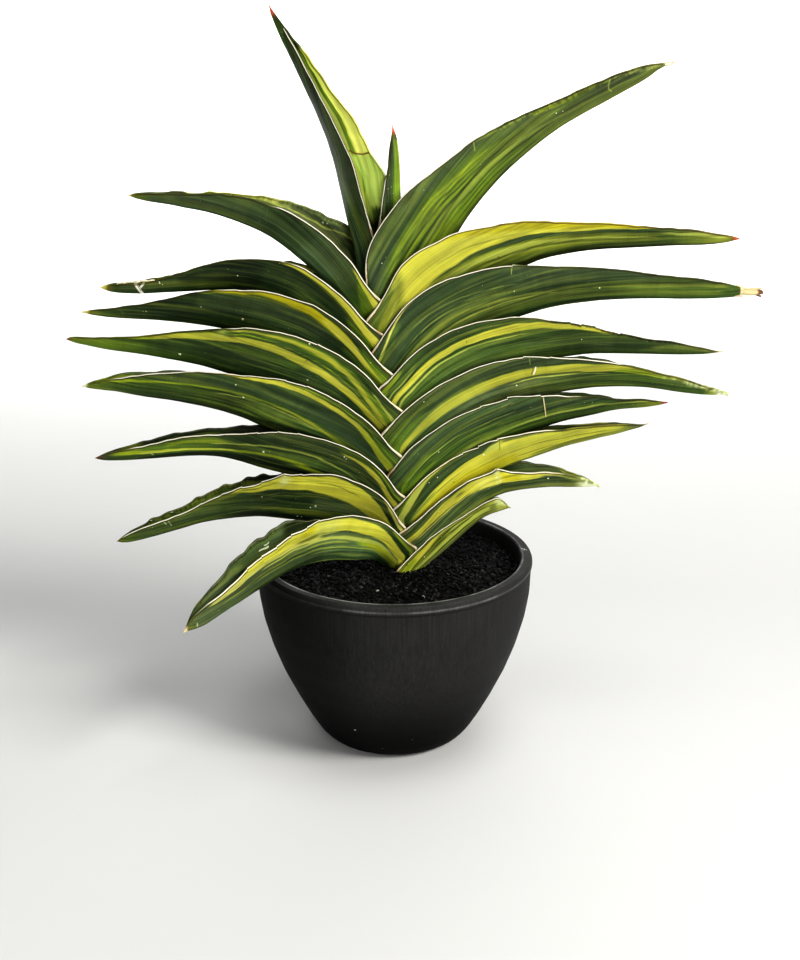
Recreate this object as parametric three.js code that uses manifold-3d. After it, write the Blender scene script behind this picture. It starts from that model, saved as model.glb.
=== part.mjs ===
// A snake plant with a two-ranked fan of thick, boat-shaped leaves, standing in a plain tapered pot of black grit.
// Millimetres, +Z up. The origin is the middle of the pot's flat base. The fan of leaves lies close to the XZ plane and -Y is the front.
import * as THREE from 'three';
import Module from 'manifold-3d';

// ---------- driving dimensions ----------
const POT_HEIGHT = 138.5;             // base to the flat top of the rim
const POT_OUTER = [                   // radius, height of the outside, from the base up
  [48, 0], [52.5, 1.6], [56, 4.6], [60, 10], [66.2, 20.5], [74.2, 36], [83.4, 56], [90.6, 76], [95.9, 96],
  [98.5, 113], [98.9, 126], [99, 131.8], [99.9, 133.2], [100, 135.6], [99.3, 137.6], [97.8, POT_HEIGHT]];
const POT_INNER = [                   // radius, height of the inside, from the rim down to the middle of the floor
  [92.4, POT_HEIGHT], [91.3, 137.4], [91, 134], [90.2, 124], [86.6, 100], [80.6, 76], [73.8, 56], [66, 36], [58.6, 20], [52, 12.5], [44, 9.5]];
const POT_FLOOR = 9;                  // thickness of the pot's floor
const SOIL_TOP = 129;                 // level of the grit
const SOIL_GAP = 0.4;                 // between the grit and the pot
const POCKET_FLOOR = 117.5;           // the leaf bases go down into a pocket in the grit
const POCKET = { x: 8.6, rx: 19.5, ry: 20.5 };
const LEAF_GAP = 0.45;                // kept between leaves that lie on each other
const SHORTEST = 0.12;                // the shortest edge left where one leaf is cut clear of another
const MARGIN_THICK = 1.7;             // thickness of a leaf at its edge
const STEM = [                        // height, middle in x, half width in x, half width in y
  [118.6, 11, 3.2, 3.4], [126, 10, 3.4, 3.6], [140, 8.5, 5.2, 4.2], [180, 4.4, 6.4, 4.2], [230, -1, 6.4, 4.2], [280, -7.3, 6.2, 4], [318, -12.4, 5, 3.2], [330, -14.2, 3.4, 2.4]];
const SEGMENTS = 48;                  // of the pot and the grit

const GREENS = {                      // the mean green of each leaf, from dark blue-green to yellow-green
  leaf_right_1: 0x9aa04a, leaf_left_1: 0x6f7d35, leaf_right_2: 0x7f8440, leaf_left_2: 0x4c5f2c, leaf_right_3: 0x6b7534, leaf_left_3: 0x3a4c26,
  leaf_right_4: 0x41552f, leaf_left_4: 0x3b4f2d, leaf_right_5: 0x4b6030, leaf_left_5: 0x4a5c26, leaf_right_6: 0x56692f, leaf_left_6: 0x31441f,
  leaf_right_7: 0x3c5129, leaf_left_7: 0x24361c, leaf_right_8: 0x6d7a33, leaf_left_8: 0x2c3c26, leaf_right_9: 0x475a30, leaf_left_9: 0x4d5f2e, leaf_centre: 0x3c5430 };

// Each leaf is drawn by three curves from the tip to the stem: its front edge, its keel underneath and its back edge.
const LEAVES = [
  { name: 'leaf_right_1', side: 1,
    near: [[83.3, -0.8, 173], [80.9, -1.3, 175.1], [77.7, -2.8, 178.1], [72.4, -4.7, 181.2], [64.9, -4.4, 177.7], [57.1, -4.2, 172.7], [49.5, -4.5, 167.4], [41.6, -5.3, 162.5], [33.8, -7.1, 157.8], [26.2, -9.3, 152.9], [19.3, -11.7, 147.2], [12.6, -14.1, 141.2], [7, -15.8, 135.4], [2, -16.5, 130.2], [1.8, -15.2, 127.7], [3.6, -13.9, 125], [4.6, -12.5, 122]],
    keel: [[82.6, 0, 171.9], [82, 0, 172.2], [80.2, 0, 171.5], [76.2, 0, 170], [69.2, 0, 167.6], [63, 0, 164.1], [57.1, 0, 159.2], [50.8, 0, 153.2], [44.5, 0, 146.9], [37.8, 0, 140.6], [31.5, 0, 134.8], [26.9, 0, 130.8], [23, 0, 127], [20.3, 0, 123.2], [19.6, 0, 122], [18.9, 0, 120.5], [18.3, 0, 119]],
    far: [[83.3, 0.8, 173], [81.1, 1.3, 174.4], [78.2, 2.8, 176.5], [73.1, 4.7, 178.6], [65.5, 4.4, 175], [57.6, 4.2, 169.9], [49.9, 4.5, 163.8], [42.1, 5.3, 157.6], [34.3, 7.1, 151], [26.7, 9.3, 144.7], [19.6, 11.7, 140.5], [12.7, 14.1, 138.3], [7, 15.8, 135.2], [2, 16.5, 130.2], [1.8, 15.2, 127.7], [3.6, 13.9, 125], [4.6, 12.5, 122]] },
  { name: 'leaf_left_1', side: -1,
    near: [[-135.2, -112.8, 128.1], [-131.7, -110.8, 133], [-125.7, -107.8, 139.4], [-115.7, -101, 145.1], [-103.9, -92.9, 153.4], [-91.1, -83.9, 163.5], [-77.3, -74.2, 171.3], [-63.1, -64.4, 177.9], [-48.2, -54.6, 182.7], [-33.1, -43.8, 181.6], [-18.2, -33.7, 177.2], [-4.1, -25.6, 168.3], [5.7, -20, 156.4], [15.5, -17.5, 146], [15.1, -14.4, 139.7], [13, -10.8, 132.4], [11.9, -7, 125]],
    keel: [[-134.4, -112, 127], [-130.7, -109.3, 127.7], [-122.4, -103.7, 128.9], [-110.8, -94.9, 134.1], [-98.1, -85.1, 139.3], [-83.9, -74.1, 145], [-71.8, -64.9, 149.3], [-61.1, -57, 151], [-50.7, -49.8, 151], [-41, -43, 149.4], [-30.9, -35.2, 146.2], [-21.2, -23.5, 141.9], [-14.6, -12.3, 136.9], [-9.1, -3.5, 130.3], [-7.6, -1.8, 128.1], [-5.8, -0.5, 125.2], [-3.9, 0, 122]],
    far: [[-135.2, -111.2, 128.1], [-132.2, -106.9, 134.3], [-126.7, -100.2, 143.5], [-116.3, -93.2, 154.7], [-104.5, -83.7, 165.8], [-92, -72.1, 174.5], [-78.3, -61.1, 180.8], [-64.2, -48.6, 182.2], [-49.5, -35.7, 177.4], [-34.2, -22.7, 171], [-18.9, -9.2, 165.2], [-4.4, 3.4, 154.6], [5.7, 13.2, 149.8], [15.5, 17.5, 146], [15.1, 14.4, 139.7], [13, 10.8, 132.4], [11.9, 7, 125]] },
  { name: 'leaf_right_2', side: 1,
    near: [[145.4, -0.8, 190.1], [141.2, -1.5, 192.3], [134.8, -2.8, 195.1], [125, -4, 198.1], [112.7, -4.8, 200.4], [98.5, -5.2, 200.2], [84.4, -6.2, 200.8], [70.9, -8.1, 201.9], [57.5, -9.6, 197.6], [45, -11.7, 191.3], [33.5, -13.9, 183.3], [22.9, -16.2, 174.1], [13.2, -17.7, 166.1], [4.2, -18.5, 159.7], [0.8, -16.8, 152], [2.4, -14.7, 141.9], [3.8, -12.5, 131.7]],
    keel: [[145.2, 0, 188.9], [141.4, 0, 188.5], [134.9, 0, 188.2], [124.9, 0, 188.2], [113, 0, 188.3], [99.9, 0, 187.4], [87.2, 0, 185.6], [77.6, 0, 183.2], [69.3, 0, 178.9], [60, 0, 172.2], [51.4, 0, 164.8], [42.8, 0, 155.8], [34.1, 0, 146.5], [22.7, 0, 136.7], [20, 0, 134.4], [17.6, 0, 131.8], [15.5, 0, 128.7]],
    far: [[145.4, 0.8, 190.1], [141.6, 1.5, 191.8], [135.6, 2.8, 194.5], [126.1, 4, 198.1], [113.8, 4.8, 201.4], [99.5, 5.2, 203.9], [85.4, 6.2, 204.2], [72.1, 8.1, 199.3], [58.7, 9.6, 192.8], [46.1, 11.7, 185.3], [34.1, 13.9, 178.3], [23, 16.2, 171.9], [13.2, 17.7, 166], [4.2, 18.5, 159.7], [0.8, 16.8, 152], [2.4, 14.7, 141.9], [3.8, 12.5, 131.7]] },
  { name: 'leaf_left_2', side: -1,
    near: [[-200.3, -0.8, 147.3], [-194.4, -2.2, 151.3], [-185, -3.4, 156.2], [-170.6, -3.9, 161.5], [-153.1, -4.6, 168.6], [-134.5, -6.6, 178.6], [-115.5, -9.2, 187.8], [-95.5, -11.4, 194.2], [-75.8, -14.6, 201.1], [-54.7, -15.9, 202.9], [-33.8, -16.3, 200.1], [-14.7, -17, 191.1], [-1.6, -18.2, 177.8], [7.3, -19, 163.9], [10, -15.9, 157.7], [11.7, -11.5, 150.4], [12.3, -7, 142.9]],
    keel: [[-199.9, 0, 146.1], [-193.5, 0, 145.8], [-182.9, 0, 148], [-167.9, 0, 152.2], [-149.7, 0, 157.7], [-131.7, 0, 162.5], [-113.3, 0, 165], [-96.4, 0, 165.9], [-80.7, 0, 164.4], [-64.8, 0, 162.7], [-49.9, 0, 162.1], [-35.1, 0, 160.9], [-22.2, 0, 158], [-12.1, 0, 152.5], [-8.3, 0, 149.2], [-4.6, 0, 144.8], [-1.4, 0, 139.9]],
    far: [[-200.3, 0.8, 147.3], [-195.3, 2.2, 150.5], [-186.4, 3.4, 156.2], [-171.9, 3.9, 163.3], [-154.5, 4.6, 171.3], [-136.4, 6.6, 180.5], [-117.9, 9.2, 187.5], [-98, 11.4, 193.2], [-78.5, 14.6, 195.5], [-56.7, 15.9, 196], [-34.7, 16.3, 195.4], [-14.8, 17, 189.2], [-1.6, 18.2, 177.7], [7.3, 19, 163.9], [10, 15.9, 157.7], [11.7, 11.5, 150.4], [12.3, 7, 142.9]] },
  { name: 'leaf_right_3', side: 1,
    near: [[178, -0.8, 235.7], [172.2, -0.9, 234.5], [163.4, -1.9, 234.7], [150.8, -3.4, 235], [135.2, -4.5, 234], [117.7, -5.6, 232.3], [100.2, -7.5, 231.3], [82.9, -8.9, 228.5], [65.9, -10.7, 224.5], [49.7, -12.5, 217.9], [34.5, -14.7, 209.4], [20.3, -17, 199.2], [9.8, -18.6, 187.8], [0.3, -19.5, 177.9], [-2, -16.5, 170.1], [0.1, -11.8, 161], [1.5, -7, 151.9]],
    keel: [[178.4, 0, 234.5], [172.9, 0, 232.6], [164.8, 0, 230.2], [152.8, 0, 226.7], [138, 0, 223.1], [121.8, 0, 218.9], [106.8, 0, 213.6], [90.3, 0, 207.7], [77.5, 0, 202.4], [64.5, 0, 195.9], [52.1, 0, 188.8], [40.6, 0, 180.3], [31.6, 0, 171.4], [24.6, 0, 162.8], [21.8, 0, 158.7], [18.7, 0, 153.8], [15.8, 0, 148.9]],
    far: [[178, 0.8, 235.7], [172.5, 0.9, 234.3], [164.1, 1.9, 234.5], [151.9, 3.4, 234.7], [136.5, 4.5, 233.7], [119.1, 5.6, 232.5], [101.9, 7.5, 229.1], [84.6, 8.9, 222.9], [67.6, 10.7, 216.6], [51.1, 12.5, 209.2], [35.1, 14.7, 202.7], [20.5, 17, 196.4], [9.8, 18.6, 187.6], [0.3, 19.5, 177.9], [-2, 16.5, 170.1], [0.1, 11.8, 161], [1.5, 7, 151.9]] },
  { name: 'leaf_left_3', side: -1,
    near: [[-211.2, -0.8, 210.3], [-204.5, -1.9, 212.9], [-194.2, -3.1, 215.8], [-179.1, -4, 219], [-160.7, -5.3, 223.9], [-139.6, -6.4, 227.6], [-118.2, -7.5, 228.9], [-97, -10.4, 230.8], [-75.9, -13.5, 232.3], [-54.8, -14.9, 229.2], [-34.4, -16.1, 222.8], [-15.8, -17.6, 212.3], [-2.9, -19.1, 198.5], [7.9, -20, 185.9], [11.4, -16.8, 178.1], [12.3, -12, 168.5], [12.4, -7, 158.9]],
    keel: [[-211.1, 0, 209.1], [-204.6, 0, 208.1], [-194, 0, 208.1], [-178.3, 0, 209], [-159.6, 0, 210.5], [-139.4, 0, 211.7], [-121.4, 0, 210.5], [-105, 0, 206.3], [-84.5, 0, 200], [-67.5, 0, 195.7], [-51.8, 0, 191.6], [-36.5, 0, 186.3], [-23.8, 0, 179.4], [-14.2, 0, 171.3], [-10.4, 0, 167], [-6.4, 0, 161.6], [-2.8, 0, 155.9]],
    far: [[-211.2, 0.8, 210.3], [-205.4, 1.9, 212.3], [-195.6, 3.1, 215.4], [-180.6, 4, 219.8], [-162.6, 5.3, 224.5], [-141.6, 6.4, 228.2], [-120.2, 7.5, 229.8], [-99.3, 10.4, 231.1], [-78.4, 13.5, 228.2], [-56.8, 14.9, 222.3], [-35.3, 16.1, 217.8], [-16, 17.6, 210.2], [-2.9, 19.1, 198.3], [7.9, 20, 185.9], [11.4, 16.8, 178.1], [12.3, 12, 168.5], [12.4, 7, 158.9]] },
  { name: 'leaf_right_4', side: 1,
    near: [[190.4, -0.8, 250.9], [183.9, -1.3, 251.7], [174.5, -2.4, 253], [160.6, -3, 253.4], [143.8, -5, 255.6], [124.7, -7.1, 256.6], [105.7, -9.7, 258.2], [86.7, -11.8, 257], [68, -13.3, 253], [49.8, -14.8, 247], [33, -16.3, 237.9], [17.1, -18.2, 227.2], [5.2, -19.6, 215.1], [-3.9, -20.5, 203.3], [-6.1, -17.4, 193.8], [-3.6, -12.3, 183.1], [-1.9, -7, 172.3]],
    keel: [[190.5, 0, 249.6], [184.5, 0, 248.5], [175.1, 0, 247], [161.4, 0, 245.9], [146.6, 0, 243.5], [128.5, 0, 239.3], [114, 0, 235.5], [99.9, 0, 230.7], [85.9, 0, 225.8], [72.1, 0, 220.3], [58.8, 0, 213.9], [46.2, 0, 206], [36.1, 0, 197.6], [28.2, 0, 189.2], [23.7, 0, 183.5], [18.8, 0, 176.5], [14.4, 0, 169.3]],
    far: [[190.4, 0.8, 250.9], [184.5, 1.3, 250.8], [175.5, 2.4, 251.3], [161.8, 3, 251.2], [145.4, 5, 253.6], [126.6, 7.1, 255.7], [108.1, 9.7, 253.7], [89.1, 11.8, 248.7], [70.1, 13.3, 243.7], [51.4, 14.8, 237.3], [33.7, 16.3, 230.8], [17.2, 18.2, 224.4], [5.2, 19.6, 214.9], [-3.9, 20.5, 203.3], [-6.1, 17.4, 193.8], [-3.6, 12.3, 183.1], [-1.9, 7, 172.3]] },
  { name: 'leaf_left_4', side: -1,
    near: [[-216.2, -0.8, 262.8], [-209.3, -1.8, 265], [-198.7, -3.2, 267.1], [-183.4, -5.2, 269.7], [-164.4, -7.6, 272.5], [-142.9, -9.7, 274.5], [-121.2, -11.4, 274.1], [-99.7, -13.3, 272.6], [-78.2, -15.8, 270.5], [-57.3, -17, 264.7], [-37.6, -17.5, 255.7], [-20, -18.6, 243], [-6.8, -20.1, 229.1], [4.8, -21, 216.9], [9.9, -17.9, 207.5], [11.4, -12.5, 195.7], [11.5, -7, 183.9]],
    keel: [[-216.1, 0, 261.5], [-209.8, 0, 260.4], [-199.6, 0, 259.1], [-185.8, 0, 257], [-167.1, 0, 253.7], [-147.5, 0, 250.6], [-128.3, 0, 246.4], [-110.8, 0, 241.2], [-96.9, 0, 235.3], [-80.1, 0, 227.9], [-62.4, 0, 221.4], [-44.9, 0, 214.8], [-30.1, 0, 207.2], [-18.7, 0, 198.1], [-14.3, 0, 193.3], [-9.8, 0, 187.3], [-5.7, 0, 180.9]],
    far: [[-216.2, 0.8, 262.8], [-210.1, 1.8, 264.7], [-200.1, 3.2, 267.3], [-185.5, 5.2, 270.1], [-167.4, 7.6, 270.7], [-146.3, 9.7, 270.2], [-124.8, 11.4, 267.1], [-103.1, 13.3, 263.9], [-81.4, 15.8, 260.6], [-59.8, 17, 254.6], [-38.7, 17.5, 248.7], [-20.3, 18.6, 240.2], [-6.8, 20.1, 228.9], [4.8, 21, 216.9], [9.9, 17.9, 207.5], [11.4, 12.5, 195.7], [11.5, 7, 183.9]] },
  { name: 'leaf_right_5', side: 1,
    near: [[232.6, -0.8, 257], [225.1, -1.5, 259.8], [213.9, -2.8, 263.3], [198, -4.3, 269.1], [177.7, -5.1, 273.8], [154.9, -6.9, 279.3], [131.7, -8.9, 282.9], [108.4, -11.2, 284.9], [85.1, -13.6, 285.1], [62, -15.3, 280.6], [40.4, -16.8, 271.7], [20.1, -18.6, 260], [4.1, -20.1, 246.6], [-8, -21, 233], [-10.9, -17.7, 222.5], [-8, -12.4, 210.3], [-6, -7, 198]],
    keel: [[232.4, 0, 255.8], [224.9, 0, 255.8], [213.3, 0, 256.3], [196.5, 0, 258.3], [176.4, 0, 261.1], [155, 0, 262], [134.2, 0, 260.8], [114.9, 0, 257.8], [97.4, 0, 254.2], [80.4, 0, 249.7], [64, 0, 243.6], [48.6, 0, 235.3], [36.2, 0, 225.7], [26.8, 0, 215.9], [22, 0, 209.9], [17, 0, 202.6], [12.3, 0, 195]],
    far: [[232.6, 0.8, 257], [225.9, 1.5, 258.9], [215.4, 2.8, 261.5], [200.1, 4.3, 266.3], [179.8, 5.1, 271.1], [157.4, 6.9, 276.5], [134.4, 8.9, 280.6], [111.3, 11.2, 279.3], [87.8, 13.6, 277], [64.1, 15.3, 271.9], [41.3, 16.8, 265.3], [20.2, 18.6, 257.4], [4.1, 20.1, 246.4], [-8, 21, 233], [-10.9, 17.7, 222.5], [-8, 12.4, 210.3], [-6, 7, 198]] },
  { name: 'leaf_left_5', side: -1,
    near: [[-224.4, -0.8, 295.9], [-217.1, -1.8, 297.1], [-205.8, -2.8, 296.8], [-189.6, -4.2, 297.6], [-169.6, -5.8, 298.8], [-147.4, -8.6, 301.9], [-125, -11.4, 304], [-102.7, -14.6, 305.6], [-80.3, -16.4, 303.7], [-58.5, -16.9, 297.7], [-38, -17.5, 288.4], [-19.7, -18.7, 275.2], [-6.7, -20.1, 260], [6.5, -21, 248.3], [11.1, -17.8, 238.4], [10.4, -12.4, 225.8], [9.4, -7, 213.3]],
    keel: [[-224.5, 0, 294.6], [-218, 0, 292.5], [-207.3, 0, 290.1], [-191.1, 0, 287.1], [-172, 0, 284.5], [-151.3, 0, 280.7], [-132.2, 0, 276.6], [-115.8, 0, 271.5], [-98.7, 0, 266.3], [-81.7, 0, 261.3], [-64.7, 0, 255.8], [-48.4, 0, 248.9], [-34.9, 0, 240.6], [-24.5, 0, 231.5], [-19.2, 0, 225.6], [-13.7, 0, 218.2], [-8.8, 0, 210.3]],
    far: [[-224.4, 0.8, 295.9], [-218, 1.8, 296], [-207.3, 2.8, 294.8], [-191.6, 4.2, 294.6], [-172.1, 5.8, 294.7], [-150.6, 8.6, 296.6], [-128.6, 11.4, 297.5], [-106.6, 14.6, 297.7], [-83.7, 16.4, 294.9], [-61, 16.9, 288.9], [-39.1, 17.5, 282.2], [-20, 18.7, 272.7], [-6.7, 20.1, 259.8], [6.5, 21, 248.3], [11.1, 17.8, 238.4], [10.4, 12.4, 225.8], [9.4, 7, 213.3]] },
  { name: 'leaf_right_6', side: 1,
    near: [[225.9, -0.8, 287], [218.1, -1.1, 288], [207, -2.3, 290.5], [191, -3.8, 294.1], [170.8, -4.6, 296.5], [148.7, -6.5, 301.6], [126.6, -9.1, 307.1], [104.2, -11.8, 310.7], [81.7, -14.5, 313.2], [59.1, -16, 310.4], [37.4, -17.3, 303.7], [17.7, -18.7, 292.3], [3, -20.1, 278.3], [-9.5, -21, 265.7], [-13.1, -17.8, 255.5], [-11.2, -12.4, 243.1], [-9.6, -7, 230.7]],
    keel: [[225.8, 0, 285.8], [218.3, 0, 285.4], [207.2, 0, 284.7], [190.8, 0, 284.7], [170.7, 0, 285.1], [148.5, 0, 285.4], [129.5, 0, 284.7], [112.1, 0, 282.4], [95.5, 0, 279.9], [79.1, 0, 276.8], [62.9, 0, 272.4], [47.5, 0, 265.9], [35, 0, 257.9], [25.2, 0, 249.3], [19.9, 0, 243.3], [14.2, 0, 235.7], [9.3, 0, 227.7]],
    far: [[225.9, 0.8, 287], [218.7, 1.1, 287.2], [208.2, 2.3, 288.6], [192.8, 3.8, 291.2], [172.8, 4.6, 292.9], [151, 6.5, 297.1], [129.4, 9.1, 301.6], [107.1, 11.8, 304.1], [84.5, 14.5, 305.5], [61.1, 16, 302.5], [38.2, 17.3, 298.1], [17.8, 18.7, 290], [3, 20.1, 278.2], [-9.5, 21, 265.7], [-13.1, 17.8, 255.5], [-11.2, 12.4, 243.1], [-9.6, 7, 230.7]] },
  { name: 'leaf_left_6', side: -1,
    near: [[-212.6, -0.8, 314.6], [-205.6, -1.3, 315.6], [-195.2, -2.4, 316.7], [-180.2, -3.6, 318.6], [-161.9, -5.3, 321.9], [-141.7, -8.1, 326.9], [-121.2, -10.7, 330.6], [-100.4, -12.5, 331.2], [-79.5, -14, 329.3], [-59.5, -15, 323.1], [-40.8, -16.5, 313.8], [-24.8, -18.4, 300.5], [-12.7, -20.1, 286.3], [-1, -21, 275], [4.5, -17.9, 265.5], [6.2, -12.5, 253.3], [6.2, -7, 241]],
    keel: [[-212.7, 0, 313.3], [-206.1, 0, 312.2], [-195.9, 0, 310.7], [-180.7, 0, 309.6], [-163, 0, 308.7], [-144.1, 0, 306.9], [-125.8, 0, 304.3], [-108.4, 0, 300.9], [-92.3, 0, 297.2], [-76.4, 0, 292.5], [-61.1, 0, 286.2], [-46.8, 0, 277.8], [-35.4, 0, 268.6], [-26.6, 0, 259.2], [-21.8, 0, 253.1], [-16.6, 0, 245.7], [-11.9, 0, 238]],
    far: [[-212.6, 0.8, 314.6], [-206.3, 1.3, 314.7], [-196.4, 2.4, 314.9], [-181.9, 3.6, 315.9], [-164.2, 5.3, 318.3], [-144.7, 8.1, 322.3], [-124.6, 10.7, 325.1], [-103.6, 12.5, 325], [-82.4, 14, 322.4], [-61.7, 15, 316], [-42, 16.5, 308.6], [-25.1, 18.4, 298.3], [-12.7, 20.1, 286.2], [-1, 21, 275], [4.5, 17.9, 265.5], [6.2, 12.5, 253.3], [6.2, 7, 241]] },
  { name: 'leaf_right_7', side: 1,
    near: [[249.9, -0.8, 331.1], [241.1, -1.7, 331.1], [228.4, -3.4, 332.8], [210, -5.3, 336.5], [187, -6.3, 339], [161.2, -7.8, 342.8], [135.2, -9.4, 345.2], [109.2, -11.4, 346.7], [83.3, -14.4, 347.5], [57.4, -16.6, 345.2], [32.5, -17.8, 337.6], [10.4, -18.9, 323.9], [-4.1, -20.1, 305.9], [-15.2, -21, 288.9], [-17.2, -17.8, 278.2], [-14.3, -12.5, 266.1], [-12.3, -7, 253.9]],
    keel: [[250.1, 0, 329.9], [242.2, 0, 327], [229.3, 0, 324.3], [210.3, 0, 323.3], [186.8, 0, 323.3], [161.7, 0, 323.2], [137.5, 0, 321.9], [114.2, 0, 318.9], [94.1, 0, 313.7], [73.1, 0, 306.8], [55.8, 0, 299.5], [39.6, 0, 289.9], [26.9, 0, 279], [17.5, 0, 267.8], [14, 0, 262.9], [10.1, 0, 257], [6.5, 0, 250.9]],
    far: [[249.9, 0.8, 331.1], [242.1, 1.7, 330.3], [230.3, 3.4, 331.1], [212.7, 5.3, 333.8], [189.8, 6.3, 335.6], [164.3, 7.8, 338.6], [138.3, 9.4, 340.5], [112.2, 11.4, 341.3], [86.1, 14.4, 341.2], [59.5, 16.6, 338.4], [33.3, 17.8, 332.8], [10.5, 18.9, 321.9], [-4.1, 20.1, 305.8], [-15.2, 21, 288.9], [-17.2, 17.8, 278.2], [-14.3, 12.5, 266.1], [-12.3, 7, 253.9]] },
  { name: 'leaf_left_7', side: -1,
    near: [[-198.4, -0.8, 331.4], [-192.3, -1.8, 332.9], [-182.8, -2.6, 333.4], [-169, -3.1, 334.5], [-152.6, -4.4, 338.7], [-134.5, -6.3, 344.4], [-116.1, -8, 349.2], [-97.1, -9.4, 351.1], [-78.1, -11.4, 350.5], [-60, -13.3, 345.4], [-44, -15.5, 335.2], [-29.6, -18.1, 322.9], [-18.3, -20.1, 310.4], [-6.5, -21, 301.5], [0.1, -17.9, 292.4], [2.6, -12.5, 280], [3, -7, 267.5]],
    keel: [[-198.5, 0, 330.1], [-193, 0, 328.2], [-183.2, 0, 327], [-168.8, 0, 326.8], [-152.1, 0, 327.7], [-133.8, 0, 328.6], [-117.4, 0, 329.3], [-102.5, 0, 328.4], [-87.7, 0, 325.8], [-73.5, 0, 321.1], [-60.2, 0, 314.3], [-48, 0, 305.6], [-38.4, 0, 296.5], [-30.7, 0, 287.7], [-25.7, 0, 281], [-20.2, 0, 272.8], [-15.1, 0, 264.5]],
    far: [[-198.4, 0.8, 331.4], [-193.1, 1.8, 332.7], [-183.8, 2.6, 333.7], [-170.2, 3.1, 335.4], [-154.3, 4.4, 337.6], [-136.7, 6.3, 340.7], [-118.5, 8, 344.8], [-99.5, 9.4, 346.3], [-80.5, 11.4, 345.1], [-62, 13.3, 339.6], [-45.1, 15.5, 330.7], [-29.9, 18.1, 321], [-18.3, 20.1, 310.3], [-6.5, 21, 301.5], [0.1, 17.9, 292.4], [2.6, 12.5, 280], [3, 7, 267.5]] },
  { name: 'leaf_right_8', side: 1,
    near: [[230.9, -0.8, 364.1], [222.7, -1.8, 365.8], [210.6, -3.2, 367.7], [192.9, -4.4, 370.1], [170.9, -5.4, 371.6], [146.2, -6.9, 374.2], [121.4, -8.1, 375.1], [96.7, -10.4, 376], [72.2, -13.6, 374.8], [47.8, -16.1, 370.7], [24.7, -17.4, 361.9], [4.6, -18.5, 347.7], [-6.2, -19.6, 328.5], [-17.5, -20.5, 312.9], [-19.9, -17.5, 302.3], [-17.2, -12.3, 290.1], [-15.4, -7, 277.9]],
    keel: [[230.9, 0, 362.8], [223.3, 0, 361.3], [211.2, -0, 359.8], [193.1, -0, 359.2], [171.6, 0, 358.3], [147.1, 0, 357.1], [124.3, 0, 355], [103.3, 0, 351], [88, 0, 345.3], [70.5, 0, 337.7], [53.5, 0, 328.8], [37.9, 0, 317.8], [25.5, 0, 306.1], [16.1, 0, 294.5], [12.1, 0, 288.8], [7.7, 0, 281.9], [3.5, 0, 274.9]],
    far: [[230.9, 0.8, 364.1], [223.7, 1.8, 365.1], [212.2, 3.2, 366.2], [194.9, 4.4, 367.8], [173.1, 5.4, 368.8], [148.7, 6.9, 370.9], [123.8, 8.1, 371.4], [99.1, 10.4, 371.7], [74.5, 13.6, 369.6], [49.4, 16.1, 365.1], [25.2, 17.4, 357.8], [4.6, 18.5, 346], [-6.2, 19.6, 328.4], [-17.5, 20.5, 312.9], [-19.9, 17.5, 302.3], [-17.2, 12.3, 290.1], [-15.4, 7, 277.9]] },
  { name: 'leaf_left_8', side: -1,
    near: [[-175.2, -0.8, 392.5], [-169.4, -1.3, 393.1], [-160.8, -2.1, 393.1], [-148.4, -2.9, 393.1], [-133.1, -4, 393.2], [-115.9, -5.5, 393.1], [-98.8, -6.8, 391], [-82.2, -7.8, 386.4], [-66.2, -9.8, 380.3], [-51.5, -12.1, 371.5], [-38.4, -14.6, 360.6], [-27, -17.2, 347.9], [-18.4, -19.1, 335.4], [-9.2, -20, 325.6], [-3.4, -17.2, 316.1], [-0.7, -12.2, 304], [-0.2, -7, 291.6]],
    keel: [[-175.3, 0, 391.2], [-170.2, 0, 389.8], [-161.8, -0, 387.9], [-149.6, 0, 386.1], [-134.9, 0, 383.2], [-119.5, 0, 379.9], [-104.7, 0, 375], [-90.6, 0, 369.1], [-78.7, 0, 362.2], [-67, 0, 353.1], [-54.7, 0, 342.5], [-44.8, 0, 332.3], [-37.3, 0, 322.2], [-31.6, 0, 312.8], [-27.6, 0, 305.5], [-23, 0, 297], [-18.3, 0, 288.6]],
    far: [[-175.2, 0.8, 392.5], [-170, 1.3, 393.3], [-161.6, 2.1, 393.8], [-149.4, 2.9, 393.7], [-134.3, 4, 393.5], [-117.4, 5.5, 393.6], [-100.4, 6.8, 392.1], [-83.7, 7.8, 389.1], [-67.6, 9.8, 386], [-52.9, 12.1, 380.7], [-39.7, 14.6, 372.5], [-27.7, 17.2, 357.4], [-18.5, 19.1, 338.1], [-9.2, 20, 325.6], [-3.4, 17.2, 316.1], [-0.7, 12.2, 304], [-0.2, 7, 291.6]] },
  { name: 'leaf_right_9', side: 1,
    near: [[179.3, -0.8, 477.2], [171.8, -1.1, 475], [160.5, -3, 473.1], [144.5, -4.6, 468.5], [125.3, -5.6, 461], [104, -6.5, 451.8], [82.6, -8.6, 443.1], [61.6, -11.1, 433.4], [42.2, -13.1, 421], [23.7, -15.1, 407.1], [5.8, -16.7, 392.4], [-8.4, -17.4, 374.1], [-17.3, -18.2, 355.7], [-18.2, -19, 337.7], [-18.7, -16.5, 326.9], [-18.7, -11.8, 314.8], [-18.7, -7, 302.7]],
    keel: [[179.8, 0, 476], [173.3, 0, 472.7], [164.6, 0, 466.9], [150, 0, 458.4], [131.8, 0, 448.6], [112.6, -0, 437.9], [95.9, -0, 426.2], [80.2, 0, 413], [66.3, 0, 399.2], [54, 0, 384.3], [43.9, 0, 369.4], [32.2, 0, 350.9], [21.2, 0, 334], [11.8, 0, 319.2], [8.3, 0, 313.4], [4.2, 0, 306.6], [0.2, 0, 299.7]],
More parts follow.
